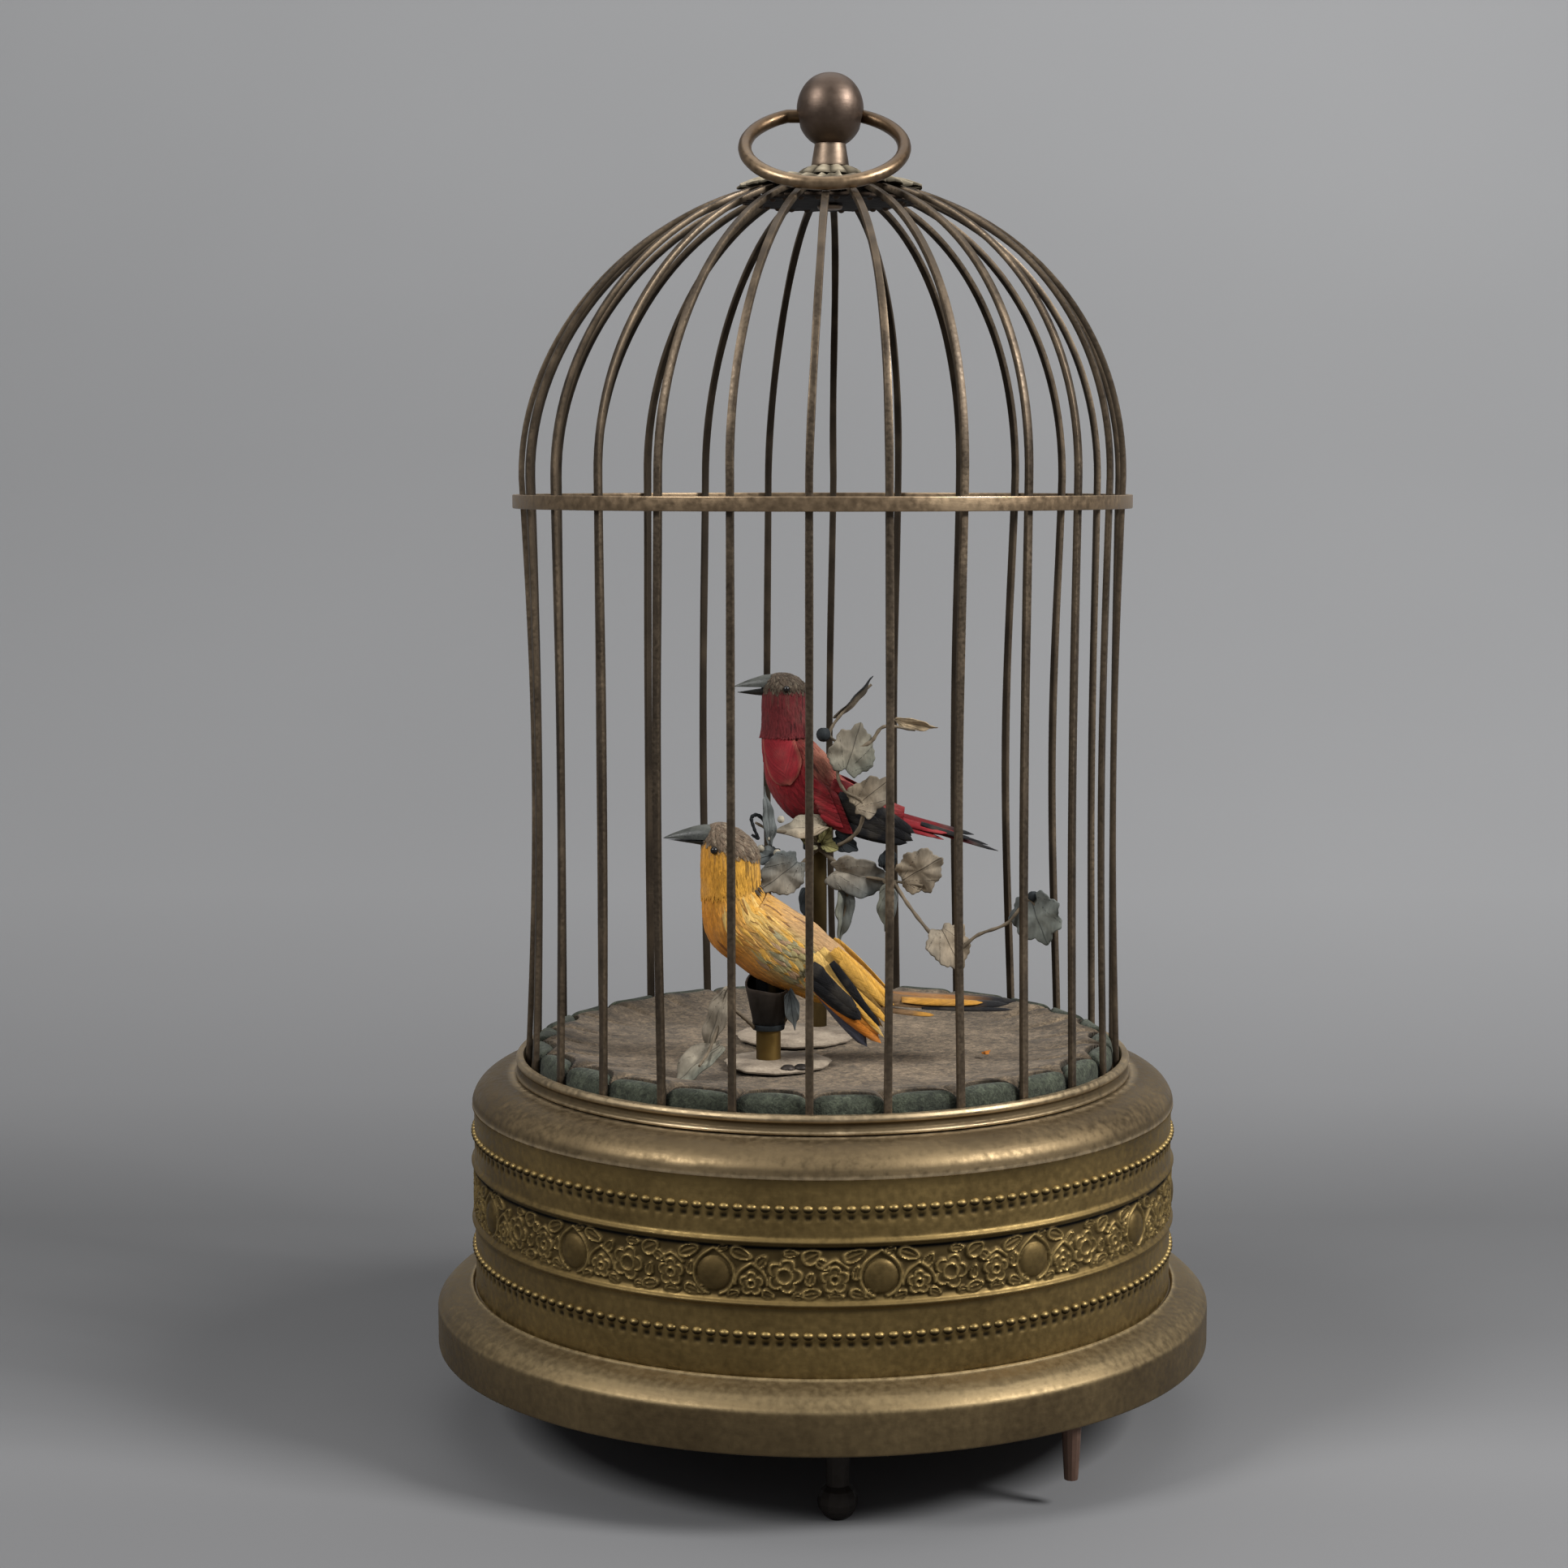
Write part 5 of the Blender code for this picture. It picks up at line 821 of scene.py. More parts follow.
# The neck's leafy foot: share of its reach, and level as a share of its depth
NECK_FOOT = (
    (0.26, 1.0), (0.5, 1.0), (0.64, 0.9), (0.8, 0.62), (0.93, 0.24), (1, -0.08), (0.93, -0.16), (0.26, -0.1),
)
NECK_FOOT_DEPTH = 1.6 * MM
PLATE_OVERHANG = 0.3 * MM  # of the crown plate beyond the wires' bends
RIVET_INSET = 3.4 * MM
SCALLOP_DEPTH = 1.6 * MM
COLLAR_THICKNESS = 0.45 * MM
COLLAR_LIFT = 0.35 * MM  # of the collar over the wires
PETALS_AT_FOOT = 10
BALL_HALF_WIDTH, BALL_HALF_HEIGHT = 6.82 * MM, 7.5 * MM  # the old ball is a little taller than wide
BALL_SINK = 0.15 * MM
DISH_RADIUS = 1.75  # of the worn dishes round the ring's pin, in mm
DISH_DEPTH = 1.2 * MM
RING_PIVOT_DROP = 2.0 * MM  # from the ball's middle
RING_RADIUS, RING_WIRE = 15.9 * MM, 1.36 * MM
RING_HANG = math.radians(32.3)  # below level
RING_OFFSET = 0.4 * MM  # to the right
HALF_PIN = 7.6 * MM


def make_crown_plate():
    """The scalloped plate under the wires, with its rivets."""
    low, high = box_of("crown_plate")
    levels = {"top": high[2], "bottom": low[2]}
    edge_radius = CROWN_RADIUS + PLATE_OVERHANG
    angle = turns(BAR_COUNT * 12)
    scallop = edge_radius - SCALLOP_DEPTH * np.abs(np.sin((angle - BAR_PHASE) * BAR_COUNT / 2)) ** 0.8
    rings = [turned(scallop * share, angle, levels[side] + up * MM) for side, share, up, *_ in PLATE_RIM]
    grime, wear = np.array([row[3:] for row in PLATE_RIM]).T[..., None]
    forms = Forms()
    forms.grid(np.array(rings), (True, True), wear=wear, grime=grime)
    bottom, rivets = low[2], edge_radius - RIVET_INSET
    knob = [(0, bottom - 0.55 * MM), (0.45 * MM, bottom - 0.42 * MM)]
    knob += [(0.75 * MM, bottom), (0, bottom + 0.1 * MM)]
    for i in range(BAR_COUNT):
        azimuth = BAR_PHASE + TURN * (i + 0.5) / BAR_COUNT
        lathe(forms, knob, 10, (math.cos(azimuth) * rivets, math.sin(azimuth) * rivets), wear=0.3, grime=0.6)
    piece("riveted_crown_plate", forms, "dark_bronze", nodes=["crown_plate"], angle=50, weld=True, leans=True)


def make_collar():
    """The leafy collar over the wires, with a rib and a lobe to each bar."""
    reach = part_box("crown_collar")[1].x
    angle = turns(24 * BAR_COUNT)
    petal = np.abs(np.cos(BAR_COUNT * angle / 2))
    outline = 0.84 + 0.16 * petal**0.8 * (0.8 + 0.2 * np.cos((angle - BAR_PHASE) * BAR_COUNT / 4) ** 2)
    rib = np.abs(np.sin(BAR_COUNT * angle / 2 + math.pi / 2)) ** 14 * 0.5
    fold = 0.35 * petal
    rings, wears = [], []
    for share in np.concatenate([np.linspace(0.1, 0.62, 8), np.linspace(0.66, 1, 12)]):
        radius = reach * share * (1 + (outline - 1) * np.clip((share - 0.5) / 0.5, 0, 1))
        lumps = 0.3 * np.sin(angle * 9 + share * 4) + 0.25 * np.sin(angle * 17 + 2)
        vein = 0.2 * np.cos(angle * BAR_COUNT * 2 + share * 9)
        lift = np.clip((share - 0.35) / 0.4, 0, 1)
        z = SPRING_LINE + dome_height(np.minimum(radius, reach), BAR_OUTER, DOME_RISE) + COLLAR_LIFT
        z += (rib + vein + fold + lumps + 0.4) * MM * lift * 0.8
        rings.append(turned(radius, angle, z))
        wears.append(np.clip((rib + fold) * 1.1 * lift, 0, 1))
    over, wears = np.array(rings), np.array(wears)
    under = over[::-1] - np.array([0, 0, COLLAR_THICKNESS])
    forms = Forms()
    forms.grid(
        np.concatenate([over, under]), (True, True), wear=np.concatenate([wears, 0 * wears]),
        grime=np.concatenate([0.6 * (1 - wears), 0.6 + 0 * wears]),
    )
    piece("leafy_collar", forms, "verdigris_brass", nodes=["crown_collar"], angle=60, leans=True)


def make_neck():
    """The neck's leafy foot and its stem."""
    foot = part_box("crown_collar")[1].z + 0.3 * MM
    low, high = box_of("finial_neck")
    angle = turns(240)
    petal = np.abs(np.cos(PETALS_AT_FOOT * angle / 2))
    rings, wears = [], []
    for share, level in NECK_FOOT:
        radius = high[0] * share * (1 - 0.13 * (1 - petal) * (share > 0.6))
        lift = NECK_FOOT_DEPTH * (level + 0.16 * petal * (share > 0.5) * (level > 0.1) - 0.1)
        rings.append(turned(radius, angle, foot + np.clip(lift, -0.3 * MM, NECK_FOOT_DEPTH)))
        wears.append(1.1 * petal * (level > 0.15) * (0.5 + 0.5 * np.abs(np.sin(angle))))
    wears = np.array(wears)
    forms = Forms()
    forms.grid(np.array(rings), (True, True), wear=wears, grime=0.6 * (1 - wears))
    piece("leafy_neck_foot", forms, "verdigris_brass", angle=60, leans=True)

    foot, bottom = (foot + NECK_FOOT_DEPTH * 0.9) / MM, low[2] / MM
    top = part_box("finial_ball")[0].z / MM - 0.2
    outline = [(0, top + 0.6), (3.1, top + 0.6), (3.2, top - 0.2), (3.85, foot + 0.3), (3.85, foot)]
    outline += [(1.5, foot), (1.5, bottom + 1.1), (2.7, bottom + 1.0), (2.4, bottom + 0.2), (0, bottom)]
    profile = rounded(np.array(outline) * MM, 0.3 * MM, 3, closed=False)
    forms = Forms()
    lathe(forms, profile, 48, closed=False, wear=0.8, grime=0.4 * ridge(profile[:, 1] / MM - foot, 0.5))
    piece(
        "finial_stem", forms, "dark_bronze", nodes=["finial_neck"], slot="dull_brass", angle=50, weld=True,
        leans=True,
    )


def ball_middle():
    """The height of the finial ball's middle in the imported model."""
    low, high = box_of("finial_ball")
    return high[2] - (high[0] - low[0]) / 2


def make_globe():
    """The finial ball, dished round the ring's pin."""
    low, high = box_of("finial_ball")
    tilt = np.linspace(0, math.pi, 40)[:, None]
    points = turned(BALL_HALF_WIDTH * np.sin(tilt) ** 0.92, turns(72)[None], BALL_HALF_HEIGHT * np.cos(tilt))
    x, y, z = np.moveaxis(points, -1, 0)
    z = z + ball_middle() - BALL_SINK
    from_hole = np.hypot(y, z - ball_middle() + RING_PIVOT_DROP) / MM
    at_side = np.abs(x) > (high[0] - low[0]) / 4
    x = x - np.sign(x) * np.clip(1 - (from_hole / DISH_RADIUS) ** 4, 0, 1) * DISH_DEPTH * at_side
    forms = Forms()
    forms.grid(np.stack([x, y, z], -1), (False, True), grime=0.8 * ridge(from_hole - 1.2, 0.5) * at_side)
    piece(
        "finial_globe", forms, "ball_bronze", nodes=["finial_ball"], slot="dark_bronze", angle=60, weld=True,
        leans=True,
    )


def make_carrying_ring():
    """The carrying ring of round wire, worn bright on its lower side, with its pin through the ball."""
    pivot = ball_middle() - RING_PIVOT_DROP
    half_open = math.asin(HALF_PIN / RING_RADIUS)
    angle = np.linspace(half_open, TURN - half_open, 110)
    x = RING_RADIUS * np.sin(angle)
    out = math.sqrt(RING_RADIUS**2 - HALF_PIN**2) - RING_RADIUS * np.cos(angle)
    path = np.stack([x, -out * math.cos(RING_HANG), pivot - out * math.sin(RING_HANG)], -1)
    pin = np.linspace(x[-1], x[0], 16)[1:-1]
    pin_path = np.stack([pin, 0 * pin, pivot + 0 * pin], -1)
    path = np.concatenate([path, pin_path]) + np.array([RING_OFFSET, 0, 0])
    worn = np.clip(np.cos(np.linspace(0, TURN, len(path)) - math.pi) * 0.6 - 0.02, 0, 1)
    forms = Forms()
    tube(forms, path, RING_WIRE, 14, closed=True, up=(0.0, 0.5, -0.86), wear=worn[:, None])
    body = "carrying_ring"
    piece("round_wire_ring", forms, "ring_brass", body, ["carrying_ring"], slot="dull_brass", angle=60)


# Felt floor
SCALLOP_RISE = 4.6 * MM
ROLLED_EDGE = 2.4 * MM  # how far the stuffed edge stands above the flat felt
CREASE_DEPTH = 0.5 * MM
BRIM_INSET = 0.4 * MM
FELT_TINT = linear(108, 93, 74)
FRINGE_TINT = linear(60, 64, 52)


def make_felt():
    """The felt floor: a brown top, pinked in arcs between the bars, over a puffed grey-green edge."""
    low, high = box_of("felt_floor")
    edge, top, bottom = high[0], high[2], low[2]
    angle = turns(960)[:, None]
    place = (angle - BAR_PHASE) * BAR_COUNT / TURN
    number = np.floor(place % BAR_COUNT).astype(int)
    varied = chance.uniform(0.75, 1.2, BAR_COUNT)[number % BAR_COUNT]
    from_middle = np.abs(2 * (place % 1) - 1)
    arc = np.clip(1 - from_middle**2, 0, 1) ** 0.8 * SCALLOP_RISE * varied
    pinch = from_middle**8
    share = np.concatenate([np.linspace(0, 0.9, 34), np.linspace(0.905, 1.0, 34)])[None]
    radius = share * edge
    brim = edge - BRIM_INSET - arc
    past_brim = (radius - brim) / MM
    on_top, scalloped = radius < brim, arc > 0.2 * MM
    beyond = (radius - brim) / np.maximum(edge - brim, 0.2 * MM)
    puff = np.sqrt(np.clip(1 - (2 * np.clip(beyond, 0, 1) - 1) ** 2, 0, 1))
    swell = 0.375 * MM * np.sin(share * 31 + 3 * np.sin(angle * 5)) * np.clip(share - 0.75, 0, 1)
    creases = CREASE_DEPTH * pinch * np.clip((radius - edge + 7 * MM) / (7 * MM), 0, 1)
    outside = beyond > 0
    rolled = ROLLED_EDGE * (1 - 0.55 * pinch)
    inner_top = top - 0.25 * MM + swell - creases + rolled * np.clip((share - 0.62) / 0.28, 0, 1) ** 2
    stuffed = top - 1.5 * MM + (0.35 + 0.65 * puff) * (1.1 * MM + rolled) - creases * 1.6
    z = np.where(outside, stuffed, inner_top) - 0.25 * MM * ridge(past_brim, 0.35) * (arc > 0.3 * MM)
    # Painted light: the felt and its edge are lighter on the right and darker on the left.
    tint = np.where(outside[..., None], FRINGE_TINT, FELT_TINT) * (1 + 0.1 * np.cos(angle))[..., None]
    # Painted shadow along the pinked edge, a darker band just inside it, and painted shade where the felt is
    # pinched at the bars' feet.
    grime = 0.75 * ridge(past_brim, 0.3) * scalloped + 0.3 * ridge(past_brim + 1.6, 1.2) * on_top
    grime += 0.8 * pinch * np.clip((radius - edge + 3 * MM) / (3 * MM), 0, 1)
    drift = angle + 0.05 * np.sin(share * 9)  # painted shade of creases that run inwards, not quite straight
    # Crease lines drawn as painted shade only.
    coarse_crease_shade = np.abs(np.sin(drift * 13 + 0.6)) ** 10 * np.clip(share * 3.4 - 1.9, 0, 1)
    fine_crease_shade = np.abs(np.sin(drift * 21 + 2.0 * share)) ** 6 * np.clip(share * 2 - 0.9, 0, 1)
    grime += (0.4 * coarse_crease_shade + 0.25 * fine_crease_shade) * on_top
    points = turned(radius, angle, z)
    for node in ("front_perch_tube", "rear_perch_tube"):
        off = np.linalg.norm(points[..., :2] - axis_of(node), axis=-1) / MM
        grime += 0.35 * ridge(off, 9) * (off < 30)
    under = turned(np.array([edge, 0]), angle, bottom)
    tint = np.concatenate([tint, np.broadcast_to(FRINGE_TINT, under.shape)], 1)
    grime = np.concatenate([np.clip(grime, 0, 1), np.full(under.shape[:2], 0.4)], 1)
    forms = Forms()
    forms.grid(np.concatenate([points, under], 1), (True, False), tint=tint, grime=grime)
    felt = piece("pinked_felt_floor", forms, "dusty_felt", nodes=["felt_floor"], angle=70, weld=True)


def make_discs():
    """The two irregular card discs at the posts, the front one with its screws, and a scrap of feather."""
    angle = turns(120)
    for side, wobble in (("front", 0.05), ("rear", 0.03)):
        low, high = box_of(f"{side}_post_disc")
        uneven = wobble * np.sin(angle * 3 + 1) + 0.015 * np.sin(angle * 11) + 0.01 * np.sin(angle * 23)
        edge = (high[0] - low[0]) / 2 * (1 - wobble + uneven)
        top, bottom = high[2], low[2]
        levels = [(0.0, top), (0.5, top), (0.93, top - 0.05 * MM), (1.0, top - 0.35 * MM)]
        levels += [(0.99, bottom), (0, bottom)]
        rings = []
        for share, z in levels:
            height = np.minimum(z + 0.12 * MM * np.sin(angle * 2) * share, top + 0.3 * MM)
            rings.append(turned(edge * share, angle, height, (low + high)[:2] / 2))
        forms = Forms()
        forms.grid(np.array(rings), (False, True), grime=np.array([0.25, 0.1, 0, 0.25, 0.6, 0.6])[:, None])
        piece(f"{side}_card_disc", forms, "pale_card", nodes=[f"{side}_post_disc"], angle=50, weld=True)
    low, high = box_of("front_post_disc")
    middle, front, top = (low[0] + high[0]) / 2, low[1], high[2]
    head = [(0, top + 0.75 * MM), (0.9 * MM, top + 0.65 * MM), (1.5 * MM, top + 0.15 * MM), (1.5 * MM, top)]
    forms = Forms()
    for x, y, wear in ((2.6, 3.2, 0.3), (5.2, 3.9, 0.1)):
        lathe(forms, head, 24, (middle + x * MM, front + y * MM), closed=False, wear=wear)
    piece("post_screws", forms, "dark_iron", angle=50, weld=True)
    felt_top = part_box("felt_floor")[1].z
    forms = Forms()
    for x, y, way, size in ((32.7, -14.7, 0.4, 2.0), (33.9, -15.6, 2.0, 1.4)):
        root = np.array([x * MM, y * MM, felt_top + 0.9 * MM])
        feather(forms, root, (math.cos(way), math.sin(way), 0.1), (0, -0.3, 1), size, 1.1, TINTS["orange"])
    piece("feather_scrap", forms, "yellow_feathers", angle=60, thickness=0.1 * MM)


# The front post's cup from its foot over its rim to its inside: share of its height, radius, grime with
# painted shade inside, and wear with a painted highlight on the rim
CUP = (
    (0, 3.25, 0.5, 0), (0.1, 3.3, 0.3, 0), (0.3, 3.6, 0.1, 0), (0.6, 4.1, 0, 0.1), (0.9, 4.6, 0, 0.3),
    (1.0, 4.75, 0, 0.9), (1.0, 4.35, 0, 0.9), (0.9, 4.2, 0.9, 0), (0.5, 2.4, 1.1, 0),
)
POST_RADIUS, POST_BORE = 2.5 * MM, 1.2 * MM


def make_posts():
    """The perch tubes, and the dark cup on the front one, torn down at its front."""
    low, high = box_of("front_perch_tube")
    centre, top, foot = axis_of("front_perch_tube"), high[2], low[2]
    wall = [(POST_RADIUS, z) for z in np.linspace(top, foot, 40)] + [(POST_BORE, foot), (POST_BORE, top)]
    shade = 0.5 * np.clip((np.array(wall)[:, 1] - top + 10.6 * MM) / (0.8 * MM), 0, 1)
    # Painted shade on the tube's left side.
    left_side_shade = (1 - np.cos(turns(48)))[:, None] / 2
    forms = Forms()
    lathe(forms, wall, 48, centre, grime=0.45 + 0.5 * left_side_shade + shade)
    piece("front_perch_post", forms, "bright_brass", nodes=["front_perch_tube"], slot="dull_brass")

    angle = turns(72)[:, None]
    rim = top - 1.6 * MM + 1.5 * MM * np.sin(angle) + 0.35 * MM * np.sin(3 * angle + 1)
    base = top - 10.0 * MM
    share, reach, grime, wear = np.array(CUP).T[:, None]
    cup = turned(reach * MM, angle, base + (rim - base) * share, centre)
    forms = Forms()
    forms.grid(cup, (True, False), wear=wear, grime=grime)
    # The bottom inside the cup, painted dark as shade.
    inside = turned(2.4 * MM, angle, base, centre)
    forms.grid(np.concatenate([cup[:, :1], inside], 1), (True, False), grime=1.0)
    piece("front_post_cup", forms, "dark_iron", angle=50, weld=True)

    low, high = box_of("rear_perch_tube")
    radius = (high[0] - low[0]) / 2
    outline = [(radius, high[2]), (radius, low[2]), (POST_BORE, low[2]), (POST_BORE, high[2])]
    forms = Forms()
    lathe(forms, rounded(outline, 0.2 * MM, 3), 40, axis_of("rear_perch_tube"), grime=0.66)
    piece("rear_perch_post", forms, "aged_brass", nodes=["rear_perch_tube"], slot="dull_brass")


# Painted colours of the plumage
TINTS = {
    "yellow": linear(206, 152, 58),
    "pale_yellow": linear(210, 172, 98),
    "tail_brown": linear(108, 82, 54),
    "tail_gold": linear(168, 120, 46),
    "tail_orange": linear(130, 88, 44),
    "gold": linear(198, 150, 66),
    "orange": linear(190, 114, 36),
    "tan": linear(170, 138, 104),
    "olive": linear(158, 144, 98),
    "grey_olive": linear(138, 130, 98),
    "black": linear(15, 14, 16),
    "blue_black": linear(66, 66, 76),
    "cap": linear(108, 92, 76),
    "pale_cap": linear(142, 126, 106),
    "red": linear(126, 28, 34),
    "bright_red": linear(144, 38, 45),
    "dusky_red": linear(104, 38, 40),
    "dark_red": linear(104, 22, 26),
    "rose_tan": linear(166, 118, 94),
    "grey_tan": linear(138, 124, 104),
}


def fanned(first, last, reach, count, width, colours):
    """Small feathers, as (root, tip, width, colour), with roots spaced evenly between two places."""
    made = []
    for i in range(2 * count):
        share = (i % count) / (count - 1)
        out = 0.45 * (1 - i // count)
        root = [a + (b - a) * share + out * c for a, b, c in zip(first, last, reach)]
        tip = [a + b for a, b in zip(root, reach)]
        made.append((root, tip, width, colours[(i * 3 + i // count) % len(colours)]))
    return made


# The birds face -X. In mm, the spine as (x, z, radius) and the neck from the perch tube's top centre, and
# the head's own places from the neck. A level gives a height and the head's front and back there; cap_line
# a height, a place on it and its slope; depth the head's width as a share; a bill or jaw station its place,
# height and half-width; eye its place and radius; plume a length and a width.
FRONT = {
    "name": "yellow_bird",
    "side": "front",
    "look": "yellow_feathers",
    "spine": [
        (-7.9, 20.0, 5.6), (-7.5, 16.5, 6.0), (-5.7, 11.3, 7.5), (-2.4, 8.9, 7.7), (1.2, 6.3, 7.8),
        (5.1, 4.2, 7.6), (8.8, 1.9, 6.7), (12.2, -0.1, 6.1), (16.0, -1.9, 4.7), (20.5, -4.5, 3.3),
        (23.5, -6.1, 2.3),
    ],
    "neck": (-7.8, 18.2),
    "levels": [
        (-0.6, -5.7, 6.2), (3.0, -5.8, 6.2), (6.4, -5.7, 5.7), (8.5, -5.5, 4.7), (10.3, -5.0, 2.9),
        (11.6, -4.2, 0.9), (12.3, -3.2, -0.6), (12.6, -2.3, -1.6),
    ],
    "depth": 0.88,
    "cap_line": (9.0, -5.5, -0.37),
    "cap_shade": 1.0,
    "eye": (-2.9, 7.4, 0.8),
    "mouth": 9.3,
    "bill": [
        (-3.6, 12.1, 2.7), (-5.2, 12.1, 2.5), (-7.0, 11.8, 2.1), (-9.0, 11.2, 1.6), (-11.0, 10.5, 1.0),
        (-12.6, 9.8, 0.5), (-13.3, 9.4, 0.15),
    ],
    "jaw": [
        (-3.6, 7.8, 2.2), (-5.2, 7.9, 2.0), (-7.5, 8.3, 1.5), (-9.5, 8.6, 1.0), (-11.2, 8.9, 0.5),
        (-12.2, 9.05, 0.15),
    ],
    "gape": 0.0,
    "row_step": 1.7,
    "plume": (6.4, 1.7),
    "streaks": 0.06,
}
REAR = {
    "name": "red_bird",
    "side": "rear",
    "look": "red_feathers",
    "spine": [
        (-7.2, 15.8, 4.7), (-7.0, 13.6, 5.0), (-5.6, 10.2, 6.3), (-4.2, 7.4, 7.1), (-1.4, 3.3, 7.0),
        (3.2, 0.8, 5.8), (7.5, -0.3, 4.7), (12.0, -1.4, 3.6), (15.5, -2.0, 2.9), (18.2, -2.4, 2.2),
    ],
    "neck": (-7.2, 15.2),
    "levels": [
        (-0.5, -5.1, 5.2), (1.6, -4.8, 5.0), (3.5, -4.7, 4.8), (7.0, -4.7, 4.6), (9.3, -4.6, 4.7),
        (10.8, -4.2, 4.2), (12.2, -3.1, 2.7), (13.0, -1.9, 0.8), (13.2, -0.9, -0.5),
    ],
    "depth": 0.92,
    "cap_line": (9.6, -4.5, -0.02),
    "cap_shade": 0.5,
    "eye": (0.6, 10.0, 0.7),
    "mouth": 10.2,
    "bill": [
        (-2.8, 12.9, 2.3), (-4.4, 12.7, 2.0), (-6.0, 12.2, 1.6), (-7.8, 11.6, 1.1), (-9.4, 10.9, 0.6),
        (-10.6, 10.35, 0.15),
    ],
    "jaw": [(-2.8, 8.2, 2.0), (-4.4, 8.35, 1.7), (-6.4, 8.8, 1.2), (-8.2, 9.3, 0.7), (-9.9, 9.8, 0.2)],
    "gape": 8.0,
    "row_step": 1.5,
    "plume": (5.6, 1.6),
    "streaks": 0.02,
    "coverts": fanned((-2.0, 6.4), (0.8, -0.6), (4.6, -3.0), 8, 2.4, ("dark_red", "red", "red", "dark_red")),
}


def near(share, at, width):
    """1 where a share is at a place, and less away from it."""
    return math.exp(-(((share - at) / width) ** 2))


def blend(*weighted):
    """A weighted mean of painted colours, given as (name, weight)."""
    total = sum(weight for _, weight in weighted)
    return sum(np.array(TINTS[name]) * weight for name, weight in weighted) / total


def yellow_tint(share, back):
    """The yellow bird's colour at a share of its spine; back is 1 on the back and -1 on the belly."""
    return blend(
        ("yellow", 0.9 * near(share, 0.0, 0.3) + 0.35),
        ("orange", max(0.0, -back + 0.25) * near(share, 0.24, 0.2) * 2.6),
        ("tan", max(0.0, back - 0.1) * near(share, 0.55, 0.26) * 3.2),
        ("olive", max(0.0, 1 - abs(back + 0.1) * 1.3) * near(share, 0.45, 0.17) * 4.5),
        ("gold", max(0.0, back) * near(share, 0.95, 0.25) * 0.8),
    )


def red_tint(share, back):
    """The red bird's colour, laid out in the same way."""
    return blend(
        ("bright_red", max(0.0, 0.6 - back) * near(share, 0.16, 0.24) * 2.4 + 0.1),
        ("red", 0.8),
        ("rose_tan", max(0.0, back - 0.15) * near(share, 0.24, 0.14) * 3.2),
        ("dark_red", max(0.0, -back) * near(share, 0.6, 0.3) * 1.6 + 0.3),
    )


BLADE_COLUMNS = np.linspace(-1, 1, 5)[None]  # places across a feather, from edge to edge
BODY_ROWS, HEAD_ROWS, BIRD_COLUMNS = 96, 60, 64
BEAK_ROWS, BEAK_COLUMNS = 24, 13
BODY_DEPTH = 0.86  # the body's width as a share of its height
FEATHER_THICKNESS = 0.12 * MM
SKIN_SHADE = 0.8  # the skin between the feathers is darker
CAP_FEATHER = (1.5, 0.75, 0.22, 0.25)  # longest, width, lift and skew, in mm
THROAT_FEATHER = (4.4, 1.0, 0.1, 0.1)
COVERT_SPREAD = 6.3  # how far the red bird's first covert stands from its middle, in mm


def blade_half_width(along, width, blunt):
    """Half the width of a feather along its length."""
    return width / 2 * np.sin(np.pi * (0.08 + 0.92 * along) ** 0.8) ** blunt


def feather(
    forms, root, way, face, length, width, tint, tip=None, lift=0.3, droop=0.0, blunt=0.7, steps=7, tipped=0.0
):
    """One free feather: a cambered blade whose barb layer runs away from the shaft. Lengths in mm."""
    way, face = unit(way), unit(face)
    side = np.cross(face, way)
    along = np.linspace(0, 1, steps)[:, None]
    across = BLADE_COLUMNS
    half = blade_half_width(along, width, blunt)
    rise = lift * along + droop * along**2 - 0.16 * width * across**2 * np.sin(np.pi * along)
    spine = (along * length)[..., None] * way * MM
    points = np.asarray(root) + spine + (half * across * MM)[..., None] * side + (rise * MM)[..., None] * face
    tip = tint if tip is None else tip
    change = np.clip((along[..., None] - tipped) / (1 - tipped) * (1 + 1.5 * tipped), 0, 1)
    colour = np.array(tint) * (1 - change) + np.array(tip) * change
    phase = chance.uniform(0, 0.02)
    forms.grid(points, tint=colour, barb=phase + (along * length * 0.45 + np.abs(across) * half * 1.1) * MM)


def blade(forms, origin, root, tip, face, width, first, last=None, **form):
    """A feather from one place to another, both in mm from the origin."""
    start, end = (origin + np.array(place) * MM for place in (root, tip))
    feather(forms, start, end - start, face, np.linalg.norm(end - start) / MM, width, first, last, **form)


def body_skin(bird, origin):
    """The bird's body surface: a grid of points along its spine and round it, and its spine."""
    table = smooth_path(bird["spine"], BODY_ROWS)
    centre = origin + np.stack([table[:, 0], 0 * table[:, 0], table[:, 1]], -1) * MM
    way = unit(np.gradient(centre, axis=0))
    back = np.stack([-way[:, 2], 0 * way[:, 0], way[:, 0]], -1)
    angle = turns(BIRD_COLUMNS)
    radius = table[:, 2, None, None] * MM
    points = centre[:, None] + radius * (np.cos(angle)[:, None] * back[:, None])
    points = points + radius * BODY_DEPTH * np.sin(angle)[:, None] * np.array([0.0, 1.0, 0.0])
    return points, centre, np.cos(angle)


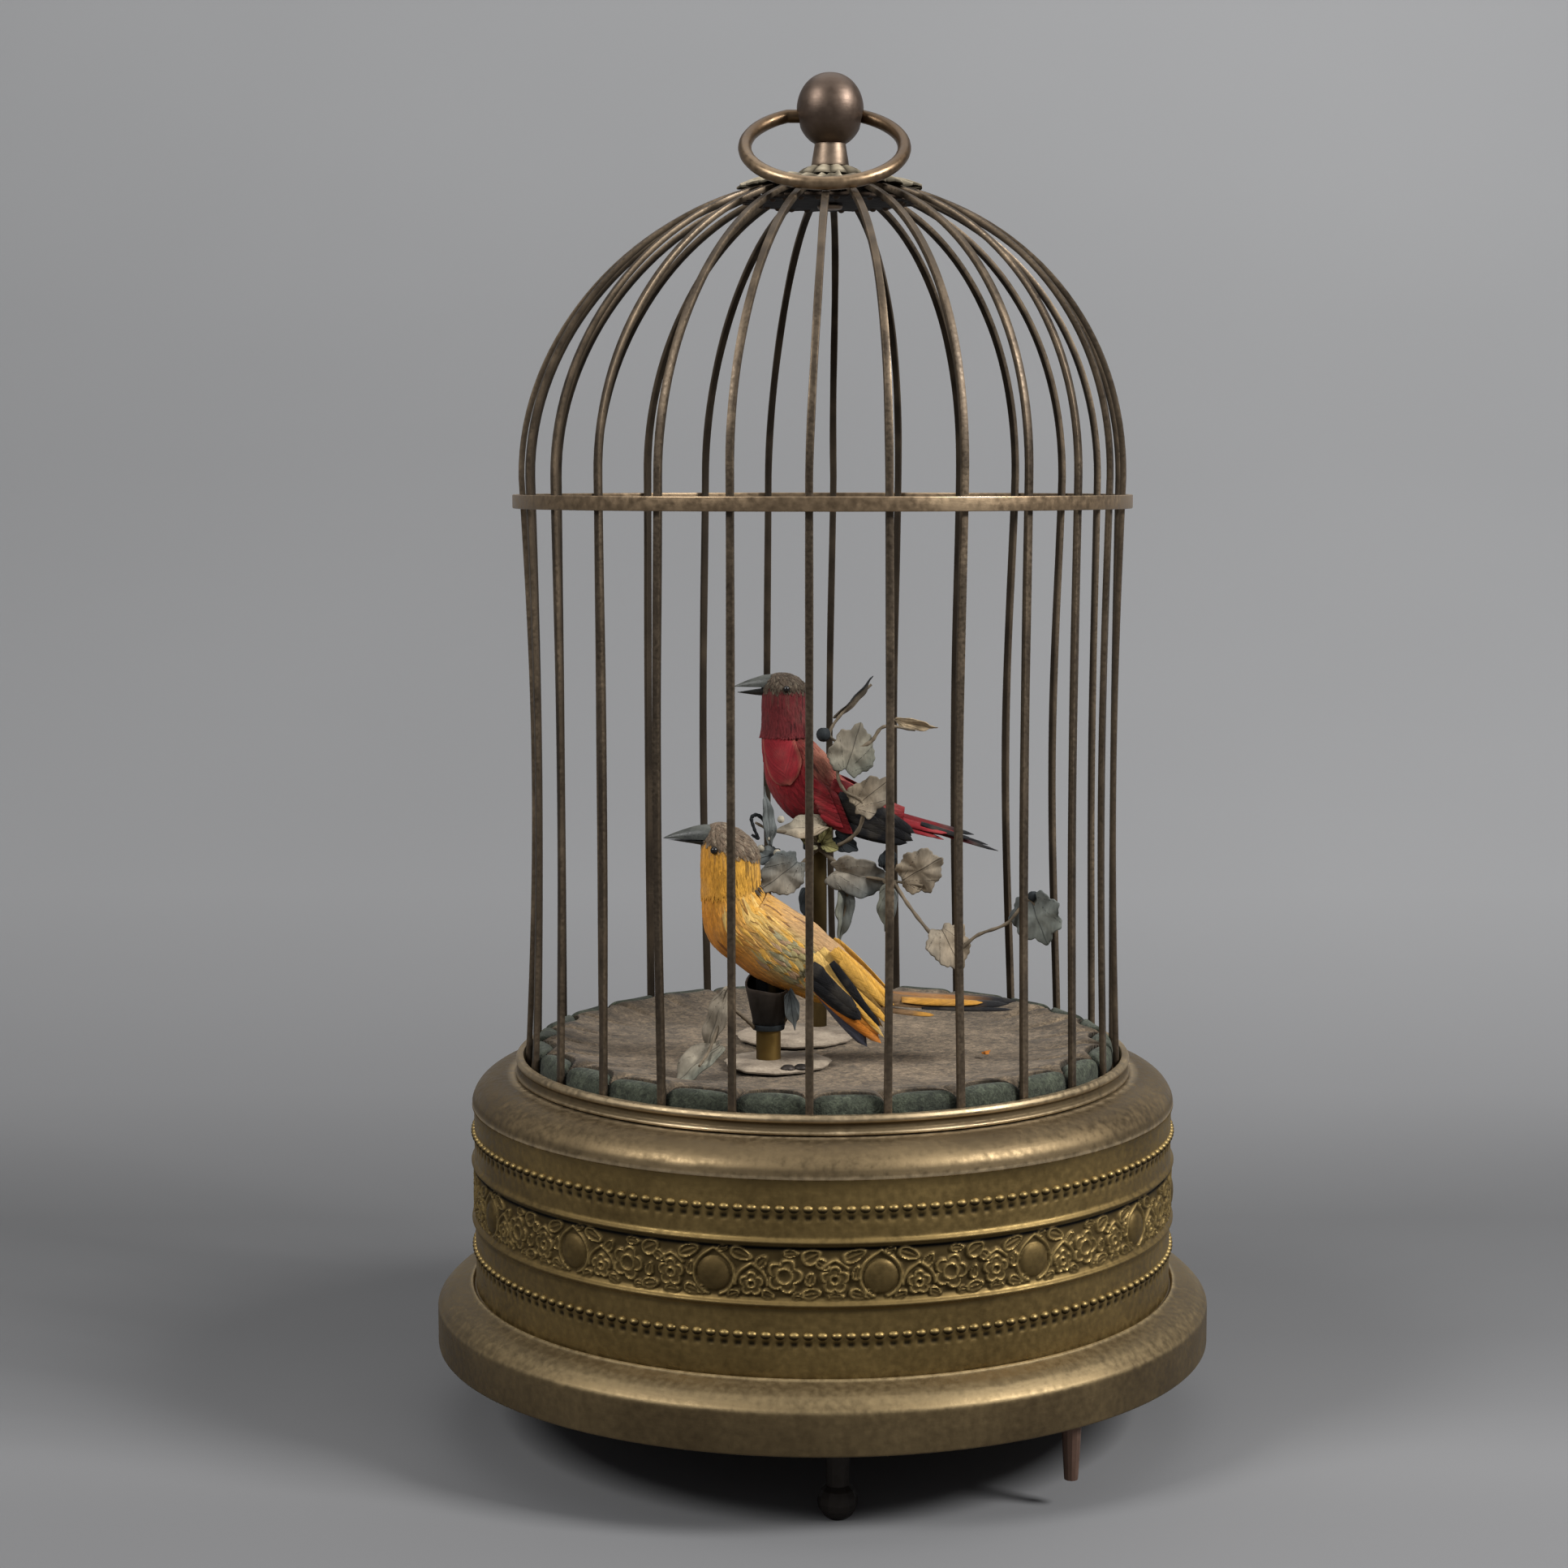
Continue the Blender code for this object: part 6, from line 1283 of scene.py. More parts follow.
class Coat:
    """A skin of points, in rows along a body and columns round it, that feathers lie on."""

    def __init__(self, points):
        self.points = points
        along = np.gradient(points, axis=0)
        around = np.roll(points, -1, 1) - np.roll(points, 1, 1)
        normal = unit(np.cross(around, along))
        heart = points.mean(1, keepdims=True)
        self.normal = normal * np.sign(((points - heart) * normal).sum(-1, keepdims=True))
        steps = np.linalg.norm(np.diff(points, axis=0), axis=-1) / MM
        self.lengths = np.vstack([np.zeros(points.shape[1]), np.cumsum(steps, 0)])
        self.girth = np.linalg.norm(around, axis=-1).sum(1) / 2 / MM

    def at(self, row, column):
        """The point and normal at a fractional row and column."""
        rows, columns = self.points.shape[:2]
        row = np.clip(row, 0, rows - 1.001)
        i, j = np.floor(row).astype(int), np.floor(column).astype(int)
        u, v = (row - i)[..., None], (column - j)[..., None]
        j, k = j % columns, (j + 1) % columns
        both = []
        for field in (self.points, self.normal):
            first = field[i, j] * (1 - v) + field[i, k] * v
            second = field[i + 1, j] * (1 - v) + field[i + 1, k] * v
            both.append(first * (1 - u) + second * u)
        return both[0], unit(both[1])

    def plume(self, forms, row, column, length, width, tint, lift=0.14, skew=0.0, steps=6):
        """One feather that follows the skin from its root towards the tail. Lengths in mm."""
        rows, columns = self.points.shape[:2]
        row_numbers = np.arange(rows)
        lengths = self.lengths[:, int(column) % columns]
        along = np.linspace(0, 1, steps)[:, None]
        across = BLADE_COLUMNS
        start = np.interp(row, row_numbers, lengths)
        places = np.interp(start + along * length, lengths, row_numbers)
        half = blade_half_width(along, width, 0.6)
        girth = np.interp(places, row_numbers, self.girth)
        columns_off = (half * across + skew * along) / girth * columns
        spot, normal = self.at(places + 0 * across, column + columns_off)
        rise = 0.05 + lift * along**1.5 - 0.1 * width * across**2
        points = spot + normal * (rise * MM)[..., None]
        phase = chance.uniform(0, 0.02)
        shade = 0.86 + 0.18 * along
        barb = phase + (along * length * 0.4 + np.abs(across) * half * 1.2) * MM
        forms.grid(points, tint=np.asarray(tint) * shade[..., None], barb=barb)

    def plume_at(self, forms, share, turn, *shape, **form):
        """One feather at a share of the body's rows and at a share of a turn from its back."""
        rows, around = self.points.shape[:2]
        self.plume(forms, share * rows, (turn * around) % around, *shape, **form)


def make_bird(bird, tint_at, wing, tail):
    """One bird's body plumage, wings, tail and head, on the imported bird's joints."""
    origin = perch_top(bird["side"])
    make_body(bird, origin, tint_at)
    make_wings(bird, origin, wing)
    make_tail(bird, origin, tail)
    make_head(bird, origin, tint_at)


def make_body(bird, origin, tint_at):
    """The body's skin under rows of small feathers, laid from the rump to the neck."""
    side = bird["side"]
    points, centre, backs = body_skin(bird, origin)
    rows, around = points.shape[:2]
    shares = np.linspace(0, 1, rows)
    paint = np.array([[tint_at(share, back) for back in backs] for share in shares])
    forms = Forms()
    forms.grid(points, (False, True), True, tint=paint * SKIN_SHADE, barb=shares[:, None] * 0.04)
    coat = Coat(points)
    length = np.linalg.norm(np.diff(centre, axis=0), axis=1).sum() / MM
    plume_length, plume_width = bird["plume"]
    for number in range(int(length / bird["row_step"]) - 2, -1, -1):
        row = number * bird["row_step"] / length * rows
        share = row / rows
        small = 0.7 + 0.3 * min(1, share * 4) - 0.25 * max(0, share - 0.7)
        count = max(10, int(coat.girth[int(row)] / (plume_width * small * 0.6)))
        for n in range(count):
            column = (n + 0.5 * (number % 2) + chance.uniform(-0.25, 0.25)) / count * around
            tone = chance.uniform(0.84, 1.14)
            back = backs[int(column) % around]
            colour = tint_at(share + 0.05, back) * tone
            streaks = bird["streaks"] * (3 if share < 0.3 and back > 0.15 else 0.2)
            if chance.uniform() < streaks:
                colour = colour * np.array([0.4, 0.36, 0.42])
            size = plume_length * small * chance.uniform(0.85, 1.2), plume_width * small
            lift = chance.uniform(0.06, 0.16)
            coat.plume(forms, row, column, *size, colour, lift=lift, skew=chance.normal(0, 0.3))
    if side == "rear":
        breast_plume(forms, points, centre)
    else:
        shoulder_hackles(forms, coat)
    piece(f"{bird['name']}_body_plumage", forms, bird["look"], nodes=[f"{side}_bird_body"], angle=60)


def make_wings(bird, origin, wing):
    """Both wings, and the red bird's coverts over them."""
    forms = Forms()
    for way in (-1, 1):
        for number, (root, tip, width, spread, colours) in enumerate(wing):
            start = (root[0], way * (spread[0] + 0.16 * number), root[1])
            end = (tip[0], way * (spread[1] + 0.1 * number), tip[1])
            first, last = (TINTS[colour] for colour in colours)
            face = (0.0, way, 0.25)
            blade(forms, origin, start, end, face, width, first, last, lift=0.0, blunt=0.45, steps=12)
        for number, (root, tip, width, colour) in enumerate(bird.get("coverts", ())):
            spread = COVERT_SPREAD + 0.04 * number
            start, end = (root[0], way * spread, root[1]), (tip[0], way * (spread + 0.1), tip[1])
            tone = np.array(TINTS[colour]) * chance.uniform(0.85, 1.12)
            blade(forms, origin, start, end, (0.0, way, 0.2), width, tone, lift=0.1, droop=-0.1, blunt=0.6)
    piece(f"{bird['name']}_wings", forms, bird["look"], angle=60, thickness=FEATHER_THICKNESS)


def make_tail(bird, origin, tail):
    """The tail feathers, on the tail's own body."""
    forms = Forms()
    for root, tip, width, colours in tail:
        first, last = (TINTS[colour] for colour in colours)
        face = (0.1, -0.45, 1.0)
        form = {"lift": 0.0, "droop": -0.6, "blunt": 0.35, "steps": 14, "tipped": 0.6}
        blade(forms, origin, root, tip, face, width, first, last, **form)
    name, body, node = f"{bird['name']}_tail_feathers", f"{bird['side']}_tail", f"{bird['side']}_bird_tail"
    piece(name, forms, bird["look"], body, [node], angle=60, thickness=FEATHER_THICKNESS)


def perch_top(side):
    """The top centre of a perch tube, from which a bird is measured."""
    return np.array([*axis_of(f"{side}_perch_tube"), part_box(f"{side}_perch_tube")[1].z])


def shoulder_hackles(forms, coat):
    """The yellow bird's mottled wing coverts, and the long pale hackles from its neck over its shoulders."""
    coverts, hackles, notch_feathers = 66, 46, 3
    mottling = ("olive", "grey_olive", "tan", "olive", "gold")
    for way in (-1, 1):
        for n in range(coverts):
            share = 0.6 - 0.3 * (n / coverts) + chance.uniform(-0.02, 0.02)
            turn = way * chance.uniform(0.17, 0.345)
            tint = np.array(TINTS[mottling[n * 3 % 5]]) * chance.uniform(0.8, 1.1)
            coat.plume_at(
                forms, share, turn, chance.uniform(3.4, 5.2), chance.uniform(1.6, 2.4), tint,
                lift=0.25 + 0.75 * max(0.0, share - 0.42) / 0.18, skew=way * 0.6, steps=7,
            )
        for n in range(hackles):
            share = chance.uniform(0.0, 0.3)
            turn = way * (chance.uniform(0.1, 0.27) + 0.12 * share)
            tint = np.array(TINTS["pale_yellow" if n % 3 else "gold"]) * chance.uniform(0.8, 1.1)
            coat.plume_at(
                forms, share, turn, chance.uniform(6.5, 10.5), chance.uniform(0.8, 1.4), tint,
                lift=chance.uniform(0.05, 0.18), skew=way * chance.uniform(0.8, 2.6), steps=9,
            )
        for n in range(notch_feathers):
            tint = np.array(TINTS["cap"]) * 0.25
            coat.plume_at(forms, 0.01 + 0.02 * n, way * (0.03 + 0.03 * n), 3.0, 1.0, tint, lift=0.7)


def breast_plume(forms, points, centre):
    """The red bird's breast: one large smooth feather on each side, with a curved lower edge."""
    around = points.shape[1]
    rows, across = np.linspace(4, 34, 16), np.linspace(-1, 1, 9)
    for way in (-1, 1):
        grid = []
        for row in rows:
            half = 0.12 * math.sqrt(max(0.0, 1 - ((row - 4) / 30) ** 2.2)) + 0.005
            line = []
            for place in across:
                column = ((0.3 + half * place) * way * around) % around
                whole = int(column)
                first, second = points[int(row), whole], points[int(row), (whole + 1) % around]
                spot = first * (1 - column + whole) + second * (column - whole)
                line.append(spot + unit(spot - centre[int(row)]) * (0.62 - 0.3 * abs(place) ** 3) * MM)
            grid.append(line)
        from_middle = np.abs(across)[None]
        barb = from_middle * 0.004 + rows[:, None] * 0.0002
        edge = np.clip(from_middle * 4 - 3, 0, 1) + np.clip((rows[:, None] - 31) / 3, 0, 1)
        edge = np.clip(edge, 0, 1)[..., None] * 0.45
        tint = np.array(TINTS["bright_red"]) * 0.92 * (1 - edge) + np.array(TINTS["rose_tan"]) * edge
        forms.grid(np.array(grid), tint=tint, barb=barb)


def half_beak(neck, stations, flat_level, way):
    """Half a beak: a rounded ridge on one side of its flat mouth line."""
    turn = np.linspace(0, math.pi, BEAK_COLUMNS)
    x, z, half = smooth_path(stations, BEAK_ROWS).T[..., None]
    ridge_z = flat_level + way * np.abs(z - flat_level) * np.sin(turn) ** 0.8
    return neck + np.stack([x + 0 * turn, half * np.cos(turn), ridge_z], -1) * MM


def make_head(bird, origin, tint_at):
    """The head: neck and throat plumage, felted cap, beak and eyes."""
    side, name = bird["side"], bird["name"]
    neck = origin + np.array([bird["neck"][0], 0, bird["neck"][1] + 0.3]) * MM
    heights, front, back = smooth_path(bird["levels"], HEAD_ROWS).T[..., None]
    angle = turns(BIRD_COLUMNS)
    middle, half = (front + back) / 2, (back - front) / 2
    x = middle - half * np.cos(angle)
    y = half * bird["depth"] * np.sin(angle)
    z = heights + 0 * x
    line_z, line_x, slope = bird["cap_line"]
    over = z - (line_z + slope * (x - line_x)) + 0.25 * np.sin(angle * 9) + 0.15 * np.sin(angle * 23)
    cap = np.clip(over / 0.5, 0, 1)
    swell = 1 + 0.05 * cap
    under = np.array(TINTS["dusky_red"])
    if side == "front":
        under = np.array([tint_at(0.0, -np.cos(a)) for a in angle])
    tint = under * (1 - cap[..., None]) + np.array(TINTS["cap"]) * bird["cap_shade"] * cap[..., None]
    grid = neck + np.stack([middle + (x - middle) * swell, y * swell, z], -1) * MM
    forms = Forms()
    forms.grid(grid, (False, True), True, tint=tint * 0.85, barb=0.03 + (np.sin(angle) * 0.001 + z * 0.0004))
    rows, around = grid.shape[:2]
    drop = np.linspace(1, 0.1, 8)[:, None, None] * (grid[0] - grid[4]) * (2.2 if side == "front" else 0.3)
    skirt = grid[0] + drop + unit(grid[0] - grid[0].mean(0)) * 0.12 * MM
    coat = Coat(np.concatenate([skirt, grid])[::-1])
    for i in range(2, rows - 3, 2):
        row = rows - 1 - i
        count = int(coat.girth[i] / 0.75) + 5
        for n in range(count):
            column = (n + 0.5 * (i // 2 % 2) + chance.uniform(-0.3, 0.3)) / count * around
            j = int(column) % around
            capped = cap[row, j] > 0.5
            longest, width, lift, skew = CAP_FEATHER if capped else THROAT_FEATHER
            room = coat.lengths[-1, j] - coat.lengths[i, j] - 0.1
            colour = tint[row, j] * chance.uniform(0.78, 1.2)
            if capped and chance.uniform() < 0.35:
                shade = TINTS["pale_cap" if chance.uniform() < 0.5 else "cap"]
                colour = np.array(shade) * chance.uniform(0.6, 1.1) * bird["cap_shade"]
            elif not capped and math.cos(angle[j]) < -0.1 and chance.uniform() < bird["streaks"] * 3:
                colour = colour * 0.4
            coat.plume(
                forms, i, column, min(longest, room) * chance.uniform(0.75, 1.0), width, colour,
                lift=chance.uniform(0.05, lift), skew=chance.normal(0, skew),
            )
    node, slot = f"{side}_bird_head", "grey_brown_feathers"
    piece(f"{name}_head_plumage", forms, bird["look"], f"{side}_head", [node], slot, angle=60)
    make_beak(bird, neck)
    make_eyes(bird, neck, heights, middle, half)


def make_beak(bird, neck):
    """The upper beak, which moves with the head, and the lower one, open by the bird's gape."""
    side, name = bird["side"], bird["name"]
    forms = Forms()
    shade = 0.56 * np.abs(np.cos(np.linspace(0, math.pi, BEAK_COLUMNS)))
    forms.grid(half_beak(neck, bird["bill"], bird["mouth"], 1), (False, True), True, grime=shade)
    piece(f"{name}_upper_beak", forms, "horn_grey", f"{side}_head", angle=50)

    pivot = neck + np.array([bird["bill"][0][0] - 1.1, 0, bird["mouth"] - 0.6]) * MM
    cos, sin = math.cos(math.radians(bird["gape"])), math.sin(math.radians(bird["gape"]))
    lower = half_beak(neck, bird["jaw"], bird["mouth"] - 0.3, -1)
    swung = (lower - pivot) @ [[cos, 0, sin], [0, 1, 0], [-sin, 0, cos]]
    forms = Forms()
    forms.grid(pivot + swung, (False, True), True, grime=1.0)
    piece(f"{name}_lower_beak", forms, "horn_grey", f"{side}_beak", [f"{side}_bird_lower_beak"], angle=50)


def make_eyes(bird, neck, heights, middle, half):
    """The bead eyes, set on the sides of a head of these heights, middles and half-depths."""
    eye_x, eye_z, eye = bird["eye"]
    head_x, head_half = (np.interp(eye_z, heights[:, 0], field[:, 0]) for field in (middle, half))
    reach = math.sqrt(max(0.0, 1 - ((eye_x - head_x) / head_half) ** 2)) * head_half * bird["depth"]
    ball = sphere(11, 18)[..., [0, 2, 1]]
    forms = Forms()
    for way in (-1, 1):
        spot = neck + np.array([eye_x, way * (reach + 0.1), eye_z]) * MM
        forms.grid(spot + ball * eye * MM, (False, True))
    head = f"{bird['side']}_head"
    piece(f"{bird['name']}_eyes", forms, "bead_black", head, slot="horn_grey", angle=60, weld=True)


# Wing feathers, in mm from the perch tube's top: root and tip as (x, z), width, how far root and tip stand
# out sideways, and their colours
FRONT_WING = [
    ((8.5, 2.0), (20.0, -14.0), 4.2, (6.2, 4.6), ("blue_black", "blue_black")),
    ((8.0, 1.0), (22.8, -13.2), 3.8, (6.6, 4.9), ("orange", "orange")),
    ((8.6, 1.6), (22.4, -11.4), 3.2, (6.5, 4.8), ("gold", "orange")),
    ((8.4, 1.2), (18.8, -8.2), 4.4, (6.3, 5.9), ("black", "black")),
    ((8.6, 3.0), (18.0, -6.6), 3.6, (6.3, 5.8), ("black", "black")),
    ((8.8, 5.0), (22.4, -10.4), 2.1, (5.7, 4.9), ("pale_yellow", "yellow")),
    ((9.6, 5.4), (23.4, -12.0), 1.9, (5.3, 4.7), ("pale_yellow", "pale_yellow")),
    ((12.8, 3.6), (22.6, -9.8), 2.0, (5.5, 4.6), ("black", "black")),
    ((10.8, 6.2), (24.4, -9.4), 2.2, (4.7, 4.5), ("pale_yellow", "yellow")),
    ((14.6, 3.6), (24.4, -8.8), 1.7, (4.8, 4.0), ("gold", "black")),
    ((13.0, 6.0), (24.9, -6.6), 2.5, (4.8, 3.9), ("gold", "gold")),
    ((13.6, 6.0), (25.4, -5.6), 2.4, (3.6, 3.0), ("gold", "yellow")),
]
# Tail feathers, in mm from the same point: root, tip, width, and the colours of root and tip
FRONT_TAIL = [
    ((21.0, 2.2, -4.4), (48.6, 2.8, -5.2), 3.6, ("tail_brown", "black")),
    ((31.0, -2.6, -6.3), (49.4, -2.6, -6.3), 1.7, ("black", "black")),
    ((21.5, 0.8, -4.4), (50.4, 0.4, -5.1), 4.2, ("tail_orange", "black")),
    ((21.0, -1.4, -5.0), (48.8, -1.2, -5.4), 3.6, ("tail_brown", "black")),
    ((27.0, -1.8, -4.9), (43.5, -1.9, -5.0), 2.6, ("tail_gold", "tail_gold")),
    ((21.0, -0.9, -4.2), (33.0, -1.0, -4.6), 3.2, ("tail_brown", "tail_orange")),
    ((22.0, 1.6, -4.8), (40.5, 2.6, -4.8), 3.0, ("tail_orange", "tail_brown")),
    ((22.0, -2.6, -6.4), (33.6, -4.0, -7.2), 2.0, ("tail_brown", "tail_gold")),
]
REAR_WING = [
    ((1.0, 1.6), (14.0, -6.4), 4.8, (6.2, 4.6), ("dark_red", "black")),
    ((3.0, 2.0), (17.6, -7.0), 5.0, (6.0, 4.4), ("black", "black")),
    ((4.0, 2.6), (20.2, -6.8), 4.8, (5.8, 4.0), ("black", "black")),
    ((5.0, 3.2), (20.6, -5.2), 4.0, (5.4, 3.6), ("black", "black")),
    ((4.0, -2.6), (19.0, -7.3), 3.6, (5.4, 4.0), ("black", "black")),
    ((3.0, 5.6), (12.6, 0.8), 3.6, (5.0, 4.4), ("dark_red", "black")),
]
REAR_TAIL = [
    ((12.5, 1.3, -0.75), (36.6, 2.0, -8.0), 2.0, ("dark_red", "black")),
    ((12.5, -1.45, -0.95), (38.6, -1.0, -8.9), 1.8, ("dark_red", "black")),
    ((12.0, 0.4, -0.25), (33.5, 0.6, -5.6), 2.6, ("dark_red", "black")),
    ((12.0, 0.0, -0.7), (29.5, 0.0, -4.8), 3.2, ("red", "dark_red")),
    ((12.2, -1.35, -0.95), (27.6, -2.6, -4.9), 3.0, ("red", "bright_red")),
    ((12.0, -1.9, -1.7), (25.4, -3.4, -5.6), 2.6, ("red", "red")),
    ((12.2, -1.9, -1.2), (26.9, -2.4, -6.3), 1.8, ("dark_red", "red")),
    ((22.0, -1.8, -3.4), (33.0, -1.6, -6.3), 2.0, ("black", "black")),
    ((12.0, 2.1, -1.55), (27.6, 3.6, -6.0), 2.8, ("red", "red")),
]

# Leaf sprays: stems and leaves in mm from the perch's axis at felt height
DARK_STEM = 8  # number of the rear stem that is a dark curl of wire
STEM_RADII = (0.46 * MM, 0.3 * MM)  # at a stem's root and tip
LEAF_THICKNESS = 0.22 * MM
REAR_STEMS = [
    [(0.0, -2.9, 40.3), (4.5, -5.5, 41.0), (8.6, -7.5, 44.5), (9.4, -8.0, 50.2), (5.5, -8.2, 53.0),
     (4.2, -8.2, 57.0), (6.4, -8.0, 61.5), (2.5, -7.0, 64.5), (5.5, -6.0, 69.5), (11.3, -4.5, 75.0)],
    [(6.4, -8.0, 61.0), (11.0, -7.5, 63.0), (14.0, -7.0, 66.3), (20.5, -6.5, 65.5)],
    [(0.0, -2.9, 40.0), (5.0, -6.5, 36.5), (8.2, -8.0, 34.9), (16.0, -9.5, 33.8), (22.1, -10.5, 33.0)],
    [(16.0, -9.5, 33.8), (19.0, -10.5, 29.0), (23.9, -12.0, 22.9), (28.3, -13.0, 19.0), (33.5, -13.5, 22.9),
     (39.6, -14.5, 25.6), (44.2, -15.0, 30.6), (47.2, -15.5, 26.0)],
    [(0.0, -2.9, 40.6), (-4.2, -6.0, 43.4), (-9.6, -7.0, 44.2), (-13.2, -7.5, 46.0)],
    [(0.0, -2.9, 39.8), (-3.5, -5.5, 37.0), (-7.5, -7.0, 34.3)],
    [(5.0, -6.5, 36.5), (6.3, -6.8, 31.7), (5.0, -6.8, 23.5)],
    [(14.0, -9.2, 34.1), (15.2, -9.4, 31.0), (14.8, -9.4, 27.5)],
    [(-9.6, -7.0, 44.2), (-12.4, -7.2, 47.4), (-14.0, -7.4, 47.0), (-13.4, -7.6, 44.6), (-12.6, -7.4, 42.6),
     (-14.0, -7.2, 43.4)],
    [(14.5, -9.4, 34.4), (14.8, -9.2, 36.6), (14.9, -9.0, 38.6)],
]
FRONT_STEMS = [
    [(-2.8, -1.2, 7.6), (-5.0, -4.6, 10.4), (-7.4, -8.0, 12.5), (-9.8, -11.0, 9.5), (-11.5, -14.0, 5.5),
     (-13.2, -20.0, 3.6)],
    [(2.8, 0.9, 7.6), (4.2, -1.2, 11.0), (4.9, -4.6, 14.6)],
]
LEAF_TINTS = {
    "dusty": linear(141, 130, 113),
    "brown": linear(142, 127, 106),
    "pale": linear(156, 148, 131),
    "blue": linear(106, 110, 108),
    "green": linear(118, 118, 105),
    "grey_green": linear(136, 140, 131),
    "dark": linear(44, 48, 50),
    "knot": linear(120, 114, 74),
    "straw": linear(184, 162, 130),
}
# Place, length, width, direction of the tip in degrees, turn about its midrib, pitch, lobes, fold, tints
REAR_LEAVES = [
    ((7.1, -8.4, 61.1), 10.8, 9.8, 70, 12, -10, 7, 0.16, ("dusty", "green")),
    ((10.8, -8.4, 51.8), 9.6, 7.6, 38, -10, 6, 6, 0.2, ("brown", "dusty")),
    ((-3.0, -6.6, 44.8), 11.6, 5.0, 186, 35, 0, 3, 0.22, ("pale", "brown")),
    ((-10.4, -7.6, 46.6), 11.4, 2.9, 96, 25, 0, 2, 0.3, ("blue", "blue")),
    ((-7.3, -7.4, 35.2), 10.4, 9.4, 215, -14, 8, 7, 0.16, ("dusty", "blue")),
    ((8.4, -8.6, 34.8), 13.6, 8.6, -16, 10, -6, 5, 0.2, ("dusty", "blue")),
    ((5.5, -7.0, 27.8), 13.4, 4.4, -96, -18, 0, 2, 0.4, ("blue", "green")),
    ((21.3, -10.7, 36.2), 9.8, 9.6, 32, 10, 8, 8, 0.1, ("brown", "dusty")),
    ((14.7, -9.2, 38.4), 4.8, 3.8, 62, 10, 0, 4, 0.3, ("dark", "dark")),
    ((14.8, -9.6, 29.0), 10.0, 4.8, -97, 20, 0, 2, 0.4, ("blue", "green")),
    ((27.6, -13.2, 20.8), 9.8, 9.2, -66, -16, 6, 7, 0.14, ("brown", "dusty")),
    ((45.8, -15.7, 27.2), 10.6, 11.6, -66, 26, 8, 7, 0.12, ("grey_green", "blue")),
    ((20.2, -6.6, 66.8), 8.8, 2.7, -10, 20, 0, 2, 0.3, ("straw", "straw")),
    ((7.2, -5.6, 71.6), 11.6, 2.2, 47, 40, 0, 2, 0.5, ("brown", "dark")),
    ((-2.5, -6.6, 28.8), 7.4, 3.2, -92, 10, 0, 2, 0.3, ("dark", "dark")),
    ((5.6, -5.0, 41.6), 5.8, 4.6, -32, 0, 0, 3, 0.3, ("dark", "dark")),
    ((1.4, -5.4, 42.8), 4.0, 3.2, 60, 20, 10, 4, 0.4, ("knot", "knot")),
    ((2.4, -5.8, 40.6), 3.6, 3.0, -20, -30, 10, 4, 0.4, ("knot", "knot")),
    ((-1.6, -5.0, 41.8), 4.6, 3.6, 160, 20, 20, 3, 0.4, ("pale", "knot")),
    ((-10.6, -6.2, 38.6), 6.4, 4.0, 200, 20, 20, 4, 0.3, ("dark", "blue")),
]
FRONT_LEAVES = [
    ((-10.1, -10.6, 11.2), 14.4, 4.8, -108, 24, 0, 2, 0.22, ("dusty", "dusty")),
    ((-13.4, -14.6, 3.2), 14.0, 6.6, 226, 0, 84, 4, 0.3, ("dusty", "green")),
    ((4.9, -5.2, 12.4), 8.0, 3.4, -84, 20, 0, 2, 0.35, ("dark", "blue")),
]
# The small balls of the rear spray: place, radius and tint
REAR_BEADS = [
    ((1.2, -7.4, 64.6), 1.5, "dark"), ((45.0, -15.2, 31.4), 1.1, "dark"),
    ((-7.8, -7.0, 46.6), 0.75, "pale"), ((-12.0, -6.6, 40.4), 0.75, "pale"),
    ((-8.6, -6.8, 39.4), 0.8, "pale"), ((-10.4, -6.8, 42.6), 0.6, "pale"),
]


def turned_towards(first, second, angle):
    """Two directions square to each other, both turned by an angle, the first towards the second."""
    cos, sin = math.cos(angle), math.sin(angle)
    return first * cos + second * sin, second * cos - first * sin


